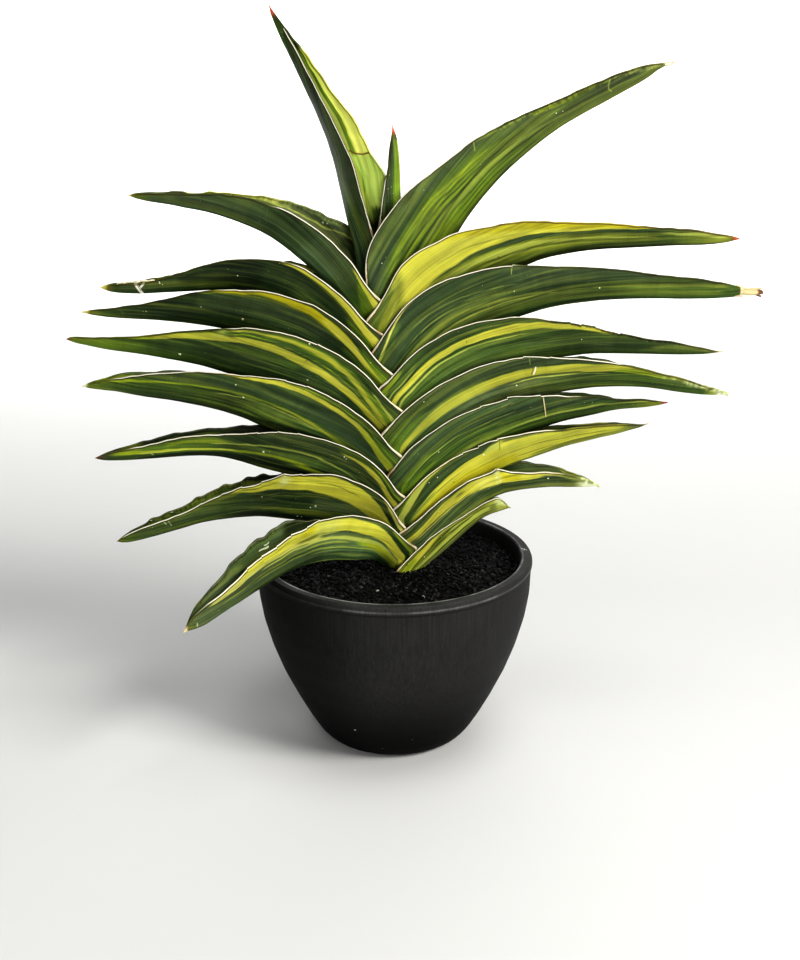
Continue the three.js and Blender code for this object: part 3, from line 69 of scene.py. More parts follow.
LEAVES = [
 dict(name='leaf_right_1', side=1, length=103.3,
  near=[(83.2,-0.4,172.8),(82.1,-0.9,173.8),(80.9,-1.3,175.1),(79.5,-2,176.5),(77.7,-2.8,178.1),(75.9,-3.7,179.8),(73.8,-4.4,181.1),(71.4,-4.7,180.9),(69,-4.6,179.8),(66.7,-4.5,178.7),(64.5,-4.4,177.4),(62.2,-4.3,176.1),(60,-4.2,174.8),(57.9,-4.2,173.3),(55.8,-4.2,171.9),(53.7,-4.2,170.4),(51.6,-4.3,168.9),(49.5,-4.5,167.4),(47.3,-4.6,166),(45.2,-4.8,164.6),(43,-5.1,163.3),(40.7,-5.5,162),(38.6,-5.9,160.7),(36.4,-6.4,159.4),(34.2,-6.9,158.1),(32.1,-7.5,156.7),(30,-8.2,155.4),(27.9,-8.8,154),(25.8,-9.4,152.6),(23.9,-10.1,151),(22,-10.8,149.4),(20.1,-11.4,147.8),(18.2,-12.1,146.2),(16.3,-12.8,144.6),(14.4,-13.5,142.9),(12.6,-14.1,141.2),(10.9,-14.7,139.4),(9.1,-15.3,137.6),(7.3,-15.7,135.8),(5.5,-16,133.9),(3.7,-16.3,132.1),(2,-16.5,130.2),(1.5,-15.9,129),(1.8,-15.2,127.7),(2.7,-14.6,126.4),(3.6,-13.9,125),(4.3,-13.3,123.6),(4.6,-12.5,122)],
  keel=[(82.8,0,172.2),(82.6,0,172.4),(82,0,172.2),(81.2,0,171.9),(80.2,0,171.5),(79,0,171.1),(77.4,0,170.5),(75.2,0,169.7),(72.8,0,168.9),(70.7,0,168.2),(68.9,0,167.4),(67.2,0,166.6),(65.4,0,165.6),(63.7,0,164.5),(61.9,0,163.4),(60.3,0,162.1),(58.8,0,160.8),(57.1,0,159.2),(55.3,0,157.5),(53.5,0,155.9),(51.8,0,154.2),(50.1,0,152.5),(48.3,0,150.8),(46.6,0,149),(44.8,0,147.3),(43,0,145.5),(41.2,0,143.8),(39.3,0,142),(37.5,0,140.2),(35.6,0,138.5),(33.8,0,136.8),(32.1,0,135.3),(30.7,0,134.1),(29.4,0,132.9),(28.2,0,131.9),(26.9,0,130.8),(25.6,0,129.6),(24.4,0,128.5),(23.2,0,127.3),(22.2,0,126),(21.2,0,124.6),(20.3,0,123.2),(19.9,0,122.6),(19.6,0,122),(19.3,0,121.2),(18.9,0,120.5),(18.6,0,119.8),(18.3,0,119)],
  far=[(83.2,0.5,172.8),(82.3,0.9,173.3),(81.1,1.3,174.4),(79.9,2,175.4),(78.2,2.8,176.5),(76.5,3.7,177.6),(74.6,4.4,178.6),(72.1,4.7,178.3),(69.7,4.6,177.2),(67.4,4.5,176),(65.1,4.4,174.8),(62.8,4.3,173.4),(60.6,4.2,172),(58.4,4.2,170.5),(56.3,4.2,168.9),(54.2,4.2,167.3),(52.1,4.3,165.5),(49.9,4.5,163.8),(47.8,4.6,162),(45.6,4.8,160.3),(43.4,5.1,158.6),(41.2,5.5,156.9),(39.1,5.9,155.1),(36.9,6.4,153.2),(34.7,6.9,151.3),(32.6,7.5,149.4),(30.5,8.2,147.6),(28.4,8.8,145.9),(26.3,9.4,144.4),(24.3,10.1,143),(22.4,10.8,141.8),(20.4,11.4,140.8),(18.4,12.1,140.1),(16.4,12.8,139.5),(14.5,13.5,138.9),(12.7,14.1,138.3),(10.9,14.7,137.6),(9.1,15.3,136.7),(7.3,15.7,135.5),(5.5,16,133.9),(3.7,16.3,132.1),(2,16.5,130.2),(1.5,15.9,129),(1.8,15.2,127.7),(2.7,14.6,126.4),(3.6,13.9,125),(4.3,13.3,123.6),(4.6,12.5,122)]),
 dict(name='leaf_left_1', side=-1, length=206.8,
  near=[(-135.1,-112.4,127.9),(-133.7,-111.7,130),(-131.7,-110.8,133),(-129.2,-109.7,136.1),(-125.7,-107.9,139.4),(-121.9,-105.4,141.9),(-118,-102.7,143.9),(-114.1,-100,146),(-110.4,-97.6,148.6),(-106.8,-95,151.3),(-103.1,-92.4,153.9),(-99.6,-89.9,156.7),(-96.2,-87.4,159.7),(-92.6,-84.9,162.4),(-88.9,-82.3,164.9),(-85.1,-79.7,167.2),(-81.2,-77,169.4),(-77.3,-74.2,171.3),(-73.6,-71.5,173.6),(-69.8,-68.8,175.9),(-65.7,-66.1,177.3),(-61.4,-63.3,178.3),(-57.2,-60.7,179.8),(-53.2,-58.2,181.8),(-49.1,-55.2,182.7),(-44.9,-52.2,182.8),(-40.7,-49.1,182.7),(-36.5,-46.2,182.2),(-32.3,-43.2,181.5),(-28.1,-40.4,180.7),(-23.9,-37.6,179.4),(-19.8,-34.8,177.9),(-15.8,-32.2,176.1),(-11.7,-29.9,173.8),(-7.8,-27.7,171.2),(-4.1,-25.6,168.3),(-0.8,-23.6,164.9),(2.1,-21.6,161.1),(5,-20.1,157.1),(8.3,-19.3,153.2),(11.8,-18.4,149.5),(15.5,-17.5,146),(15.8,-15.9,142.9),(15.1,-14.4,139.7),(14,-12.6,136.1),(13,-10.8,132.4),(12.2,-9,128.9),(11.9,-7,125)],
  keel=[(-134.7,-112,127.3),(-133.1,-110.8,127.6),(-130.7,-109.3,127.7),(-127.7,-107.3,127.9),(-122.4,-103.7,128.9),(-117.3,-99.9,131.1),(-113.1,-96.7,133),(-109.2,-93.8,134.8),(-105.4,-90.9,136.4),(-101.4,-87.7,137.9),(-97.3,-84.4,139.6),(-93.3,-81.3,141.3),(-89.4,-78.3,142.9),(-85.5,-75.3,144.4),(-81.6,-72.4,146),(-77.9,-69.6,147.4),(-74.7,-67.2,148.5),(-71.8,-64.9,149.3),(-69.1,-62.8,149.9),(-66.2,-60.7,150.4),(-63,-58.3,150.8),(-59.8,-56.1,151.1),(-56.9,-54,151.2),(-54.1,-52.1,151.1),(-51.3,-50.2,151),(-48.4,-48.3,150.7),(-45.8,-46.6,150.4),(-43.2,-44.7,149.9),(-40.4,-42.6,149.3),(-37.6,-40.5,148.5),(-34.9,-38.5,147.6),(-32.1,-36.2,146.6),(-29.1,-33.5,145.5),(-26.2,-30.3,144.3),(-23.6,-27,143.2),(-21.2,-23.5,141.9),(-19,-20,140.5),(-16.9,-16.4,139),(-14.9,-12.9,137.2),(-13,-9.5,135.3),(-11.1,-6.3,133),(-9.1,-3.5,130.3),(-8.3,-2.6,129.3),(-7.6,-1.8,128.1),(-6.7,-1,126.7),(-5.8,-0.5,125.2),(-4.9,-0.1,123.7),(-3.9,0,122)],
  far=[(-135.1,-111.6,127.9),(-133.9,-109.7,130.2),(-132.2,-106.9,134.3),(-130,-103.7,138.8),(-126.7,-100.2,143.5),(-122.8,-97.3,148.1),(-118.8,-94.7,152.4),(-114.7,-92.1,156),(-111,-89.2,159.5),(-107.4,-86.2,163),(-103.8,-83.1,166.5),(-100.3,-79.9,169.4),(-97,-76.6,171.7),(-93.5,-73.4,173.8),(-89.8,-70.2,175.6),(-86,-67.2,177.4),(-82.2,-64.2,179.3),(-78.3,-61.1,180.8),(-74.5,-57.8,182.6),(-70.8,-54.1,183.3),(-66.7,-50.6,182.8),(-62.5,-47.3,181.5),(-58.4,-43.7,180),(-54.4,-39.9,179.2),(-50.3,-36.4,177.8),(-46.1,-33.1,176),(-41.8,-29.4,174.5),(-37.6,-25.7,172.5),(-33.3,-22,170.7),(-29,-18.2,169.5),(-24.7,-14.5,167.9),(-20.5,-10.7,166.1),(-16.4,-7,163.7),(-12.3,-3.2,160.9),(-8.2,0.1,157.8),(-4.4,3.4,154.6),(-0.9,6.7,152.2),(2.1,10,150.8),(5,12.8,150),(8.3,14.5,149.4),(11.8,16,148.4),(15.5,17.5,146),(15.8,15.9,142.9),(15.1,14.4,139.7),(14,12.6,136.1),(13,10.8,132.4),(12.2,9,128.9),(11.9,7,125)]),
 dict(name='leaf_right_2', side=1, length=157.9,
  near=[(145.4,-0.4,189.9),(143.6,-0.9,190.9),(141.2,-1.5,192.3),(138.4,-2.2,193.7),(134.8,-2.8,195.1),(131.1,-3.3,196.4),(127.3,-3.7,197.5),(123.5,-4.1,198.5),(119.7,-4.4,199.3),(115.8,-4.7,200),(111.9,-4.9,200.5),(108,-5.1,200.9),(104,-5.2,200.8),(100.1,-5.2,200.4),(96.2,-5.2,200.1),(92.2,-5.5,200.2),(88.3,-5.8,200.4),(84.4,-6.2,200.8),(80.6,-6.8,201.6),(76.8,-7.5,202.5),(73,-8,203),(69.4,-8.1,201.3),(65.7,-8.3,200),(62,-8.8,198.9),(58.2,-9.5,197.8),(54.5,-10.1,196.7),(50.9,-10.7,195.1),(47.6,-11.3,193),(44.3,-11.8,190.9),(41.1,-12.4,188.7),(37.9,-13,186.5),(34.7,-13.7,184.2),(31.6,-14.3,181.9),(28.7,-15,179.3),(25.8,-15.6,176.7),(22.9,-16.2,174.1),(19.9,-16.7,171.5),(16.9,-17.2,169),(13.8,-17.6,166.6),(10.7,-17.9,164.2),(7.5,-18.2,161.9),(4.2,-18.5,159.7),(1.5,-17.7,156.3),(0.8,-16.8,152),(1.3,-15.7,146.9),(2.4,-14.7,141.9),(3.3,-13.7,137),(3.8,-12.5,131.7)],
  keel=[(145.3,0,189.2),(143.7,0,189.1),(141.4,0,188.5),(138.6,0,188.3),(134.9,0,188.2),(131.1,0,188.2),(127.2,0,188.2),(123.4,0,188.2),(119.6,0,188.3),(115.8,0,188.3),(112.2,0,188.3),(108.7,0,188.1),(105,0,187.8),(101.4,0,187.5),(97.7,0,187.1),(94.1,0,186.7),(90.5,0,186.2),(87.2,0,185.6),(84.3,0,185),(81.6,0,184.4),(79.1,0,183.7),(76.7,0,182.8),(74.4,0,181.9),(72.2,0,180.7),(69.8,0,179.2),(67.3,0,177.7),(64.8,0,175.9),(62.2,0,173.9),(59.4,0,171.8),(56.9,0,169.7),(54.5,0,167.7),(52.3,0,165.7),(50,0,163.4),(47.6,0,161),(45.2,0,158.5),(42.8,0,155.8),(40.2,0,153),(37.5,0,150.1),(34.7,0,147.2),(31.2,0,143.7),(27.1,0,140.1),(22.7,0,136.7),(21.2,0,135.5),(20,0,134.4),(18.7,0,133.1),(17.6,0,131.8),(16.5,0,130.3),(15.5,0,128.7)],
  far=[(145.4,0.5,189.9),(143.9,0.9,190.5),(141.6,1.5,191.8),(139.1,2.1,193),(135.6,2.8,194.5),(132,3.3,196),(128.3,3.7,197.4),(124.6,4.1,198.6),(120.8,4.4,199.7),(116.9,4.7,200.7),(113,4.9,201.6),(109,5.1,202.5),(105.1,5.2,203.2),(101.1,5.2,203.7),(97.1,5.2,204.4),(93.1,5.5,205),(89.2,5.8,205.2),(85.4,6.2,204.2),(81.6,6.8,203),(78,7.5,201.7),(74.3,8,200.5),(70.6,8.1,198.5),(66.9,8.3,196.6),(63.2,8.8,194.7),(59.4,9.5,193.1),(55.7,10.1,191.4),(52.1,10.7,189.4),(48.8,11.3,187.1),(45.4,11.8,184.9),(42,12.4,182.7),(38.7,13,180.8),(35.4,13.7,179),(32.1,14.3,177.2),(29.1,15,175.4),(26.1,15.6,173.6),(23,16.2,171.9),(20,16.7,170.1),(17,17.2,168.3),(13.8,17.6,166.4),(10.7,17.9,164.2),(7.5,18.2,161.9),(4.2,18.5,159.7),(1.5,17.7,156.3),(0.8,16.8,152),(1.3,15.7,146.9),(2.4,14.7,141.9),(3.3,13.7,137),(3.8,12.5,131.7)]),
 dict(name='leaf_left_2', side=-1, length=236.3,
  near=[(-200.2,-0.4,147.1),(-197.8,-1.2,149),(-194.4,-2.2,151.3),(-190.3,-2.9,153.6),(-185,-3.4,156.2),(-179.5,-3.6,158.3),(-173.9,-3.8,160.2),(-168.4,-3.9,162.3),(-162.9,-4.2,164.6),(-157.5,-4.4,166.8),(-152,-4.6,169.1),(-146.7,-4.9,171.5),(-141.5,-5.4,174.3),(-136.5,-6.2,177.4),(-131.5,-7.1,180.4),(-126.3,-7.8,183),(-120.9,-8.5,185.4),(-115.5,-9.2,187.8),(-110.3,-9.9,190.3),(-104.6,-10.4,191.8),(-98.8,-10.9,193.1),(-93.3,-11.7,195),(-88,-12.8,197.3),(-82.5,-13.8,199.4),(-77,-14.5,201.1),(-71.1,-14.9,201.2),(-65.2,-15.3,201.9),(-59.4,-15.7,202.6),(-53.5,-15.9,203),(-47.6,-16.1,203),(-41.7,-16.2,202.6),(-36,-16.3,201),(-30.6,-16.3,198.8),(-25.1,-16.4,196.6),(-19.8,-16.7,194.1),(-14.6,-17,191.1),(-9.8,-17.3,187.7),(-5.6,-17.7,183.6),(-2.2,-18.1,178.8),(0.9,-18.4,173.8),(3.8,-18.7,168.7),(7.3,-19,163.9),(8.8,-17.6,160.8),(10,-15.9,157.7),(11,-13.7,154),(11.7,-11.5,150.4),(12.2,-9.3,146.8),(12.3,-7,142.9)],
  keel=[(-200,0,146.4),(-197.5,0,145.8),(-193.5,0,145.8),(-188.9,0,146.6),(-182.9,0,148),(-177.1,0,149.6),(-171.3,0,151.2),(-165.6,0,152.9),(-160,0,154.6),(-154.3,0,156.3),(-148.6,0,158.1),(-143.3,0,159.8),(-138.4,0,161.1),(-133.6,0,162.1),(-128.7,0,163),(-123.5,0,163.7),(-118.4,0,164.4),(-113.3,0,165),(-108.3,0,165.4),(-103.5,0,165.7),(-98.9,0,165.9),(-94.8,0,165.8),(-90.7,0,165.5),(-86.2,0,165),(-81.6,0,164.5),(-76.9,0,163.9),(-72.3,0,163.4),(-68.1,0,163),(-64,0,162.7),(-59.8,0,162.5),(-55.7,0,162.3),(-51.6,0,162.1),(-47.4,0,161.9),(-43.3,0,161.7),(-39.2,0,161.4),(-35.1,0,160.9),(-31,0,160.3),(-26.9,0,159.4),(-23,0,158.3),(-19.1,0,156.7),(-15.5,0,154.8),(-12.1,0,152.5),(-10.1,0,150.9),(-8.3,0,149.2),(-6.4,0,147.1),(-4.6,0,144.8),(-3,0,142.5),(-1.4,0,139.9)],
  far=[(-200.2,0.5,147.1),(-198.4,1.3,148.3),(-195.3,2.2,150.5),(-191.5,2.8,152.9),(-186.4,3.4,156.2),(-180.8,3.6,159.2),(-175.3,3.8,161.8),(-169.7,3.9,164.4),(-164.3,4.2,167),(-158.9,4.4,169.5),(-153.4,4.6,171.8),(-148.1,4.9,174.2),(-143.1,5.4,176.8),(-138.3,6.2,179.4),(-133.5,7.1,181.9),(-128.4,7.8,184),(-123.2,8.5,185.8),(-117.9,9.2,187.5),(-112.7,9.9,189.3),(-107.1,10.4,190.7),(-101.3,10.9,192.2),(-95.9,11.8,193.9),(-90.6,12.8,194.7),(-85.3,13.8,195.3),(-79.7,14.5,195.7),(-73.7,14.9,195),(-67.7,15.3,194.9),(-61.7,15.7,195.5),(-55.5,15.9,196.1),(-49.3,16.1,196.6),(-43.1,16.2,196.7),(-37.1,16.3,195.9),(-31.3,16.3,194.6),(-25.6,16.4,193.2),(-20.1,16.7,191.4),(-14.8,17,189.2),(-9.9,17.3,186.5),(-5.7,17.7,183),(-2.2,18.1,178.7),(0.9,18.4,173.8),(3.8,18.7,168.7),(7.3,19,163.9),(8.8,17.6,160.8),(10,15.9,157.7),(11,13.7,154),(11.7,11.5,150.4),(12.2,9.3,146.8),(12.3,7,142.9)]),
 dict(name='leaf_right_3', side=1, length=195.8,
  near=[(178.1,-0.4,235.5),(175.7,-0.9,234.9),(172.2,-0.9,234.5),(168.3,-1.3,234.5),(163.4,-1.9,234.7),(158.6,-2.5,234.8),(153.7,-3.1,235),(148.8,-3.6,235),(144,-3.9,234.7),(139.1,-4.2,234.3),(134.2,-4.6,234),(129.4,-4.9,233.7),(124.5,-5.2,233.1),(119.7,-5.5,232.4),(114.8,-5.9,232),(109.9,-6.4,231.8),(105.1,-7,231.7),(100.2,-7.5,231.3),(95.4,-8,230.7),(90.6,-8.3,229.9),(85.8,-8.7,228.9),(81,-9.1,228.2),(76.1,-9.6,227.5),(71.4,-10.2,226.6),(66.8,-10.6,224.9),(62.4,-10.9,222.8),(58,-11.4,220.7),(53.4,-12,219.1),(48.8,-12.7,217.5),(44.5,-13.3,215.4),(40.3,-13.8,213),(36.1,-14.5,210.4),(32,-15.1,207.9),(27.9,-15.8,205.3),(24,-16.4,202.4),(20.3,-17,199.2),(16.9,-17.6,195.8),(13.6,-18.1,192.2),(10.4,-18.6,188.5),(7.1,-18.9,184.9),(3.8,-19.2,181.3),(0.3,-19.5,177.9),(-1.7,-18.3,174.2),(-2,-16.5,170.1),(-1.1,-14.2,165.5),(0.1,-11.8,161),(1.1,-9.5,156.6),(1.5,-7,151.9)],
  keel=[(178.2,0,234.8),(176,0,234),(172.9,0,232.6),(169.3,0,231.5),(164.8,0,230.2),(160.3,0,228.8),(155.7,0,227.5),(150.9,0,226.3),(146.2,0,225.3),(141.7,0,224.1),(137.1,0,222.9),(132.4,0,221.7),(127.9,0,220.6),(123.5,0,219.4),(119.3,0,218.1),(115.2,0,216.7),(111.1,0,215.2),(106.8,0,213.6),(102.3,0,212),(97.6,0,210.2),(92.9,0,208.6),(88.6,0,207.1),(84.9,0,205.7),(81.5,0,204.3),(78.2,0,202.7),(74.6,0,200.9),(70.9,0,199.1),(67.3,0,197.3),(63.8,0,195.5),(60.3,0,193.6),(56.9,0,191.7),(53.5,0,189.6),(50.1,0,187.5),(46.9,0,185.2),(43.7,0,182.8),(40.6,0,180.3),(37.7,0,177.7),(34.8,0,174.9),(32.1,0,172),(29.5,0,169),(27,0,165.9),(24.6,0,162.8),(23.2,0,160.7),(21.8,0,158.7),(20.3,0,156.3),(18.7,0,153.8),(17.3,0,151.4),(15.8,0,148.9)],
  far=[(178.1,0.5,235.5),(176,0.9,234.5),(172.5,0.9,234.3),(168.7,1.3,234.4),(164.1,1.9,234.5),(159.4,2.5,234.6),(154.7,3.1,234.7),(150,3.6,234.6),(145.2,3.9,234.3),(140.4,4.2,233.9),(135.5,4.6,233.6),(130.7,4.9,233.3),(125.9,5.2,233),(121,5.5,232.6),(116.2,5.9,232.2),(111.4,6.4,231.4),(106.7,7,230.5),(101.9,7.5,229.1),(97.1,8,227.5),(92.3,8.3,225.6),(87.5,8.7,223.9),(82.7,9.1,222.3),(77.9,9.6,220.6),(73.1,10.2,219),(68.5,10.6,217),(64,10.9,214.7),(59.5,11.4,212.3),(54.8,12,210.5),(50.1,12.7,208.9),(45.6,13.3,207.1),(41.2,13.8,205.2),(36.9,14.5,203.4),(32.6,15.1,201.8),(28.3,15.8,200.2),(24.2,16.4,198.4),(20.5,17,196.4),(17,17.6,194),(13.7,18.1,191.3),(10.4,18.5,188.3),(7.1,18.9,184.9),(3.8,19.2,181.4),(0.3,19.5,177.9),(-1.7,18.3,174.2),(-2,16.5,170.1),(-1.1,14.2,165.5),(0.1,11.8,161),(1.1,9.5,156.6),(1.5,7,151.9)]),
 dict(name='leaf_left_3', side=-1, length=238.6,
  near=[(-211.2,-0.4,210.1),(-208.4,-1.1,211.3),(-204.5,-1.9,212.9),(-200,-2.5,214.4),(-194.2,-3.1,215.8),(-188.4,-3.5,217),(-182.6,-3.8,218.2),(-176.8,-4.2,219.5),(-171,-4.6,221),(-165.3,-5,222.6),(-159.5,-5.4,224.2),(-153.7,-5.8,225.5),(-147.9,-6.1,226.6),(-142,-6.3,227.4),(-136,-6.5,228),(-130.1,-6.7,228.3),(-124.1,-7,228.5),(-118.2,-7.5,228.9),(-112.3,-8.1,229.4),(-106.4,-9,230.1),(-100.6,-9.8,230.6),(-94.7,-10.7,230.9),(-88.8,-11.8,231.6),(-83,-12.7,232.1),(-77.1,-13.4,232.3),(-71.1,-14,232.3),(-65.2,-14.4,231.6),(-59.5,-14.6,230.1),(-53.6,-15,229),(-47.8,-15.3,227.7),(-42.2,-15.6,225.8),(-36.6,-16,223.8),(-31.1,-16.3,221.4),(-25.8,-16.7,218.8),(-20.6,-17.2,215.8),(-15.8,-17.6,212.3),(-11.4,-18.1,208.4),(-7.2,-18.6,204.1),(-3.5,-19,199.4),(-0.2,-19.4,194.5),(3.4,-19.7,189.8),(7.9,-20,185.9),(10.2,-18.7,182.1),(11.4,-16.8,178.1),(12,-14.4,173.3),(12.3,-12,168.5),(12.4,-9.5,163.9),(12.4,-7,158.9)],
  keel=[(-211.1,0,209.4),(-208.6,0,208.7),(-204.6,0,208.1),(-200,0,208),(-194,0,208.1),(-187.9,0,208.3),(-181.9,0,208.7),(-176,0,209.2),(-170.1,0,209.6),(-164.2,0,210.1),(-158.5,0,210.6),(-152.8,0,211),(-147.1,0,211.4),(-141.6,0,211.6),(-136.2,0,211.7),(-131,0,211.5),(-126.1,0,211.2),(-121.4,0,210.5),(-116.8,0,209.6),(-112.3,0,208.4),(-107.7,0,207.1),(-103.1,0,205.6),(-97.8,0,203.8),(-91.8,0,202),(-85.7,0,200.3),(-80,0,198.8),(-75.4,0,197.7),(-71,0,196.6),(-66.6,0,195.5),(-62.2,0,194.4),(-57.9,0,193.3),(-53.5,0,192.1),(-49.2,0,190.8),(-44.9,0,189.5),(-40.6,0,188),(-36.5,0,186.3),(-32.4,0,184.4),(-28.4,0,182.3),(-24.6,0,179.9),(-20.9,0,177.3),(-17.4,0,174.4),(-14.2,0,171.3),(-12.2,0,169.2),(-10.4,0,167),(-8.3,0,164.4),(-6.4,0,161.6),(-4.6,0,158.9),(-2.8,0,155.9)],
  far=[(-211.2,0.5,210.1),(-208.9,1.1,210.9),(-205.4,1.9,212.3),(-201.1,2.5,213.8),(-195.6,3.1,215.4),(-189.8,3.5,217.1),(-184.1,3.8,218.9),(-178.3,4.2,220.4),(-172.7,4.6,221.9),(-167.1,5,223.4),(-161.4,5.4,224.8),(-155.7,5.8,226.2),(-149.8,6.1,227.2),(-143.9,6.3,228),(-138,6.5,228.6),(-132,6.7,229.1),(-126.1,7,229.4),(-120.2,7.5,229.8),(-114.3,8.2,230.3),(-108.6,9,230.8),(-102.8,9.8,231.1),(-97,10.7,231.1),(-91.3,11.8,230.8),(-85.5,12.7,229.7),(-79.6,13.4,228.4),(-73.6,14,227.3),(-67.6,14.4,225.6),(-61.6,14.6,223.3),(-55.5,15,222.2),(-49.5,15.3,221.1),(-43.5,15.6,219.8),(-37.6,16,218.4),(-31.9,16.3,216.7),(-26.3,16.7,214.9),(-21,17.2,212.8),(-16,17.6,210.2),(-11.5,18.1,207),(-7.3,18.6,203.4),(-3.6,19,199.2),(-0.2,19.4,194.5),(3.4,19.7,189.8),(7.9,20,185.9),(10.2,18.7,182.1),(11.4,16.8,178.1),(12,14.4,173.3),(12.3,12,168.5),(12.4,9.5,163.9),(12.4,7,158.9)]),
 dict(name='leaf_right_4', side=1, length=213.7,
  near=[(190.4,-0.4,250.7),(187.7,-0.9,251.1),(183.9,-1.3,251.7),(179.7,-1.8,252.3),(174.5,-2.4,253),(169.1,-2.7,253.3),(163.8,-2.9,253.4),(158.5,-3.1,253.5),(153.2,-3.6,254),(147.9,-4.4,254.9),(142.7,-5.1,255.7),(137.4,-5.8,256.1),(132.1,-6.4,256.4),(126.8,-6.9,256.6),(121.5,-7.4,256.7),(116.2,-8.1,257.3),(111,-8.9,257.9),(105.7,-9.7,258.2),(100.4,-10.4,258.3),(95.2,-10.9,257.6),(89.9,-11.4,257.1),(84.6,-12,256.9),(79.3,-12.5,256),(74.2,-12.9,254.7),(69,-13.2,253.2),(63.9,-13.7,251.9),(58.8,-14.1,250.2),(53.8,-14.5,248.5),(48.8,-14.9,246.6),(43.9,-15.3,244.5),(39.3,-15.7,241.8),(34.8,-16.1,239),(30.3,-16.6,236.2),(25.8,-17.1,233.3),(21.4,-17.6,230.4),(17.1,-18.2,227.2),(12.9,-18.7,223.9),(9.2,-19.1,220.1),(5.9,-19.5,215.9),(2.6,-19.9,211.7),(-0.6,-20.2,207.5),(-3.9,-20.5,203.3),(-6,-19.3,198.7),(-6.1,-17.4,193.8),(-5.1,-14.9,188.4),(-3.6,-12.3,183.1),(-2.4,-9.7,177.9),(-1.9,-7,172.3)],
  keel=[(190.4,0,250),(188,0,249.4),(184.5,0,248.5),(180.4,0,247.8),(175.1,0,247),(169.7,0,246.6),(164.4,0,246.2),(159.4,0,245.8),(154.7,0,245.1),(150.2,0,244.3),(145.6,0,243.2),(140.8,0,242),(135.6,0,240.8),(130.5,0,239.7),(125.7,0,238.7),(121.3,0,237.6),(117.5,0,236.6),(114,0,235.5),(110.1,0,234.2),(106.2,0,232.8),(102.2,0,231.5),(98.3,0,230.2),(94.5,0,228.8),(90.6,0,227.5),(86.7,0,226.1),(82.8,0,224.6),(79,0,223.1),(75.2,0,221.6),(71.4,0,220),(67.6,0,218.3),(63.9,0,216.5),(60.2,0,214.7),(56.6,0,212.7),(53.1,0,210.6),(49.6,0,208.4),(46.2,0,206),(42.9,0,203.5),(39.7,0,200.9),(36.7,0,198.2),(33.7,0,195.3),(30.9,0,192.3),(28.2,0,189.2),(25.9,0,186.4),(23.7,0,183.5),(21.2,0,180),(18.8,0,176.5),(16.6,0,173),(14.4,0,169.3)],
  far=[(190.4,0.5,250.7),(188.1,0.9,250.5),(184.5,1.3,250.8),(180.5,1.8,251.1),(175.5,2.4,251.3),(170.2,2.7,251.3),(164.9,2.9,251.2),(159.7,3.2,251.3),(154.5,3.6,252),(149.4,4.4,252.9),(144.4,5.1,253.8),(139.2,5.8,254.6),(134,6.4,255.2),(128.7,6.9,255.7),(123.5,7.4,255.5),(118.3,8.1,255.5),(113.2,8.9,255),(108.1,9.7,253.7),(102.8,10.4,252.5),(97.6,10.9,250.8),(92.3,11.4,249.4),(87,12,248.4),(81.7,12.5,247.2),(76.4,12.9,245.6),(71.2,13.2,244),(65.9,13.7,242.3),(60.7,14.1,240.5),(55.5,14.5,238.6),(50.3,14.9,237),(45.2,15.3,235.3),(40.4,15.7,233.4),(35.6,16.1,231.5),(30.9,16.6,229.7),(26.2,17.1,228),(21.6,17.6,226.3),(17.2,18.2,224.4),(13,18.7,222.1),(9.2,19.1,219.2),(5.9,19.5,215.7),(2.6,19.9,211.7),(-0.6,20.2,207.5),(-3.9,20.5,203.3),(-6,19.3,198.7),(-6.1,17.4,193.8),(-5.1,14.9,188.4),(-3.6,12.3,183.1),(-2.4,9.7,177.9),(-1.9,7,172.3)]),
 dict(name='leaf_left_4', side=-1, length=241.4,
  near=[(-216.2,-0.4,262.5),(-213.3,-1,263.7),(-209.3,-1.8,265),(-204.6,-2.5,266),(-198.7,-3.2,267.1),(-192.8,-3.9,268),(-186.9,-4.7,269),(-181,-5.6,270.2),(-175.1,-6.4,271.1),(-169.2,-7.1,271.9),(-163.2,-7.7,272.7),(-157.2,-8.3,273.3),(-151.2,-8.9,273.8),(-145.3,-9.5,274.3),(-139.3,-10.1,274.7),(-133.3,-10.6,274.8),(-127.2,-11,274.5),(-121.2,-11.4,274.1),(-115.2,-11.8,273.6),(-109.2,-12.3,273.2),(-103.3,-12.9,272.7),(-97.3,-13.6,272.4),(-91.3,-14.3,272),(-85.3,-15,271.4),(-79.4,-15.7,270.7),(-73.4,-16.3,269.7),(-67.6,-16.6,268.1),(-61.9,-16.8,266.3),(-56.2,-17,264.3),(-50.6,-17.2,262.1),(-45.1,-17.3,259.7),(-39.7,-17.5,256.9),(-34.5,-17.6,253.8),(-29.5,-17.9,250.5),(-24.7,-18.2,246.9),(-20,-18.6,243),(-15.5,-19.1,239),(-11.4,-19.5,234.7),(-7.5,-20,230.1),(-3.8,-20.4,225.3),(0.4,-20.7,221),(4.8,-21,216.9),(7.9,-19.8,212.4),(9.9,-17.9,207.5),(11,-15.3,201.6),(11.4,-12.5,195.7),(11.5,-9.8,190),(11.5,-7,183.9)],
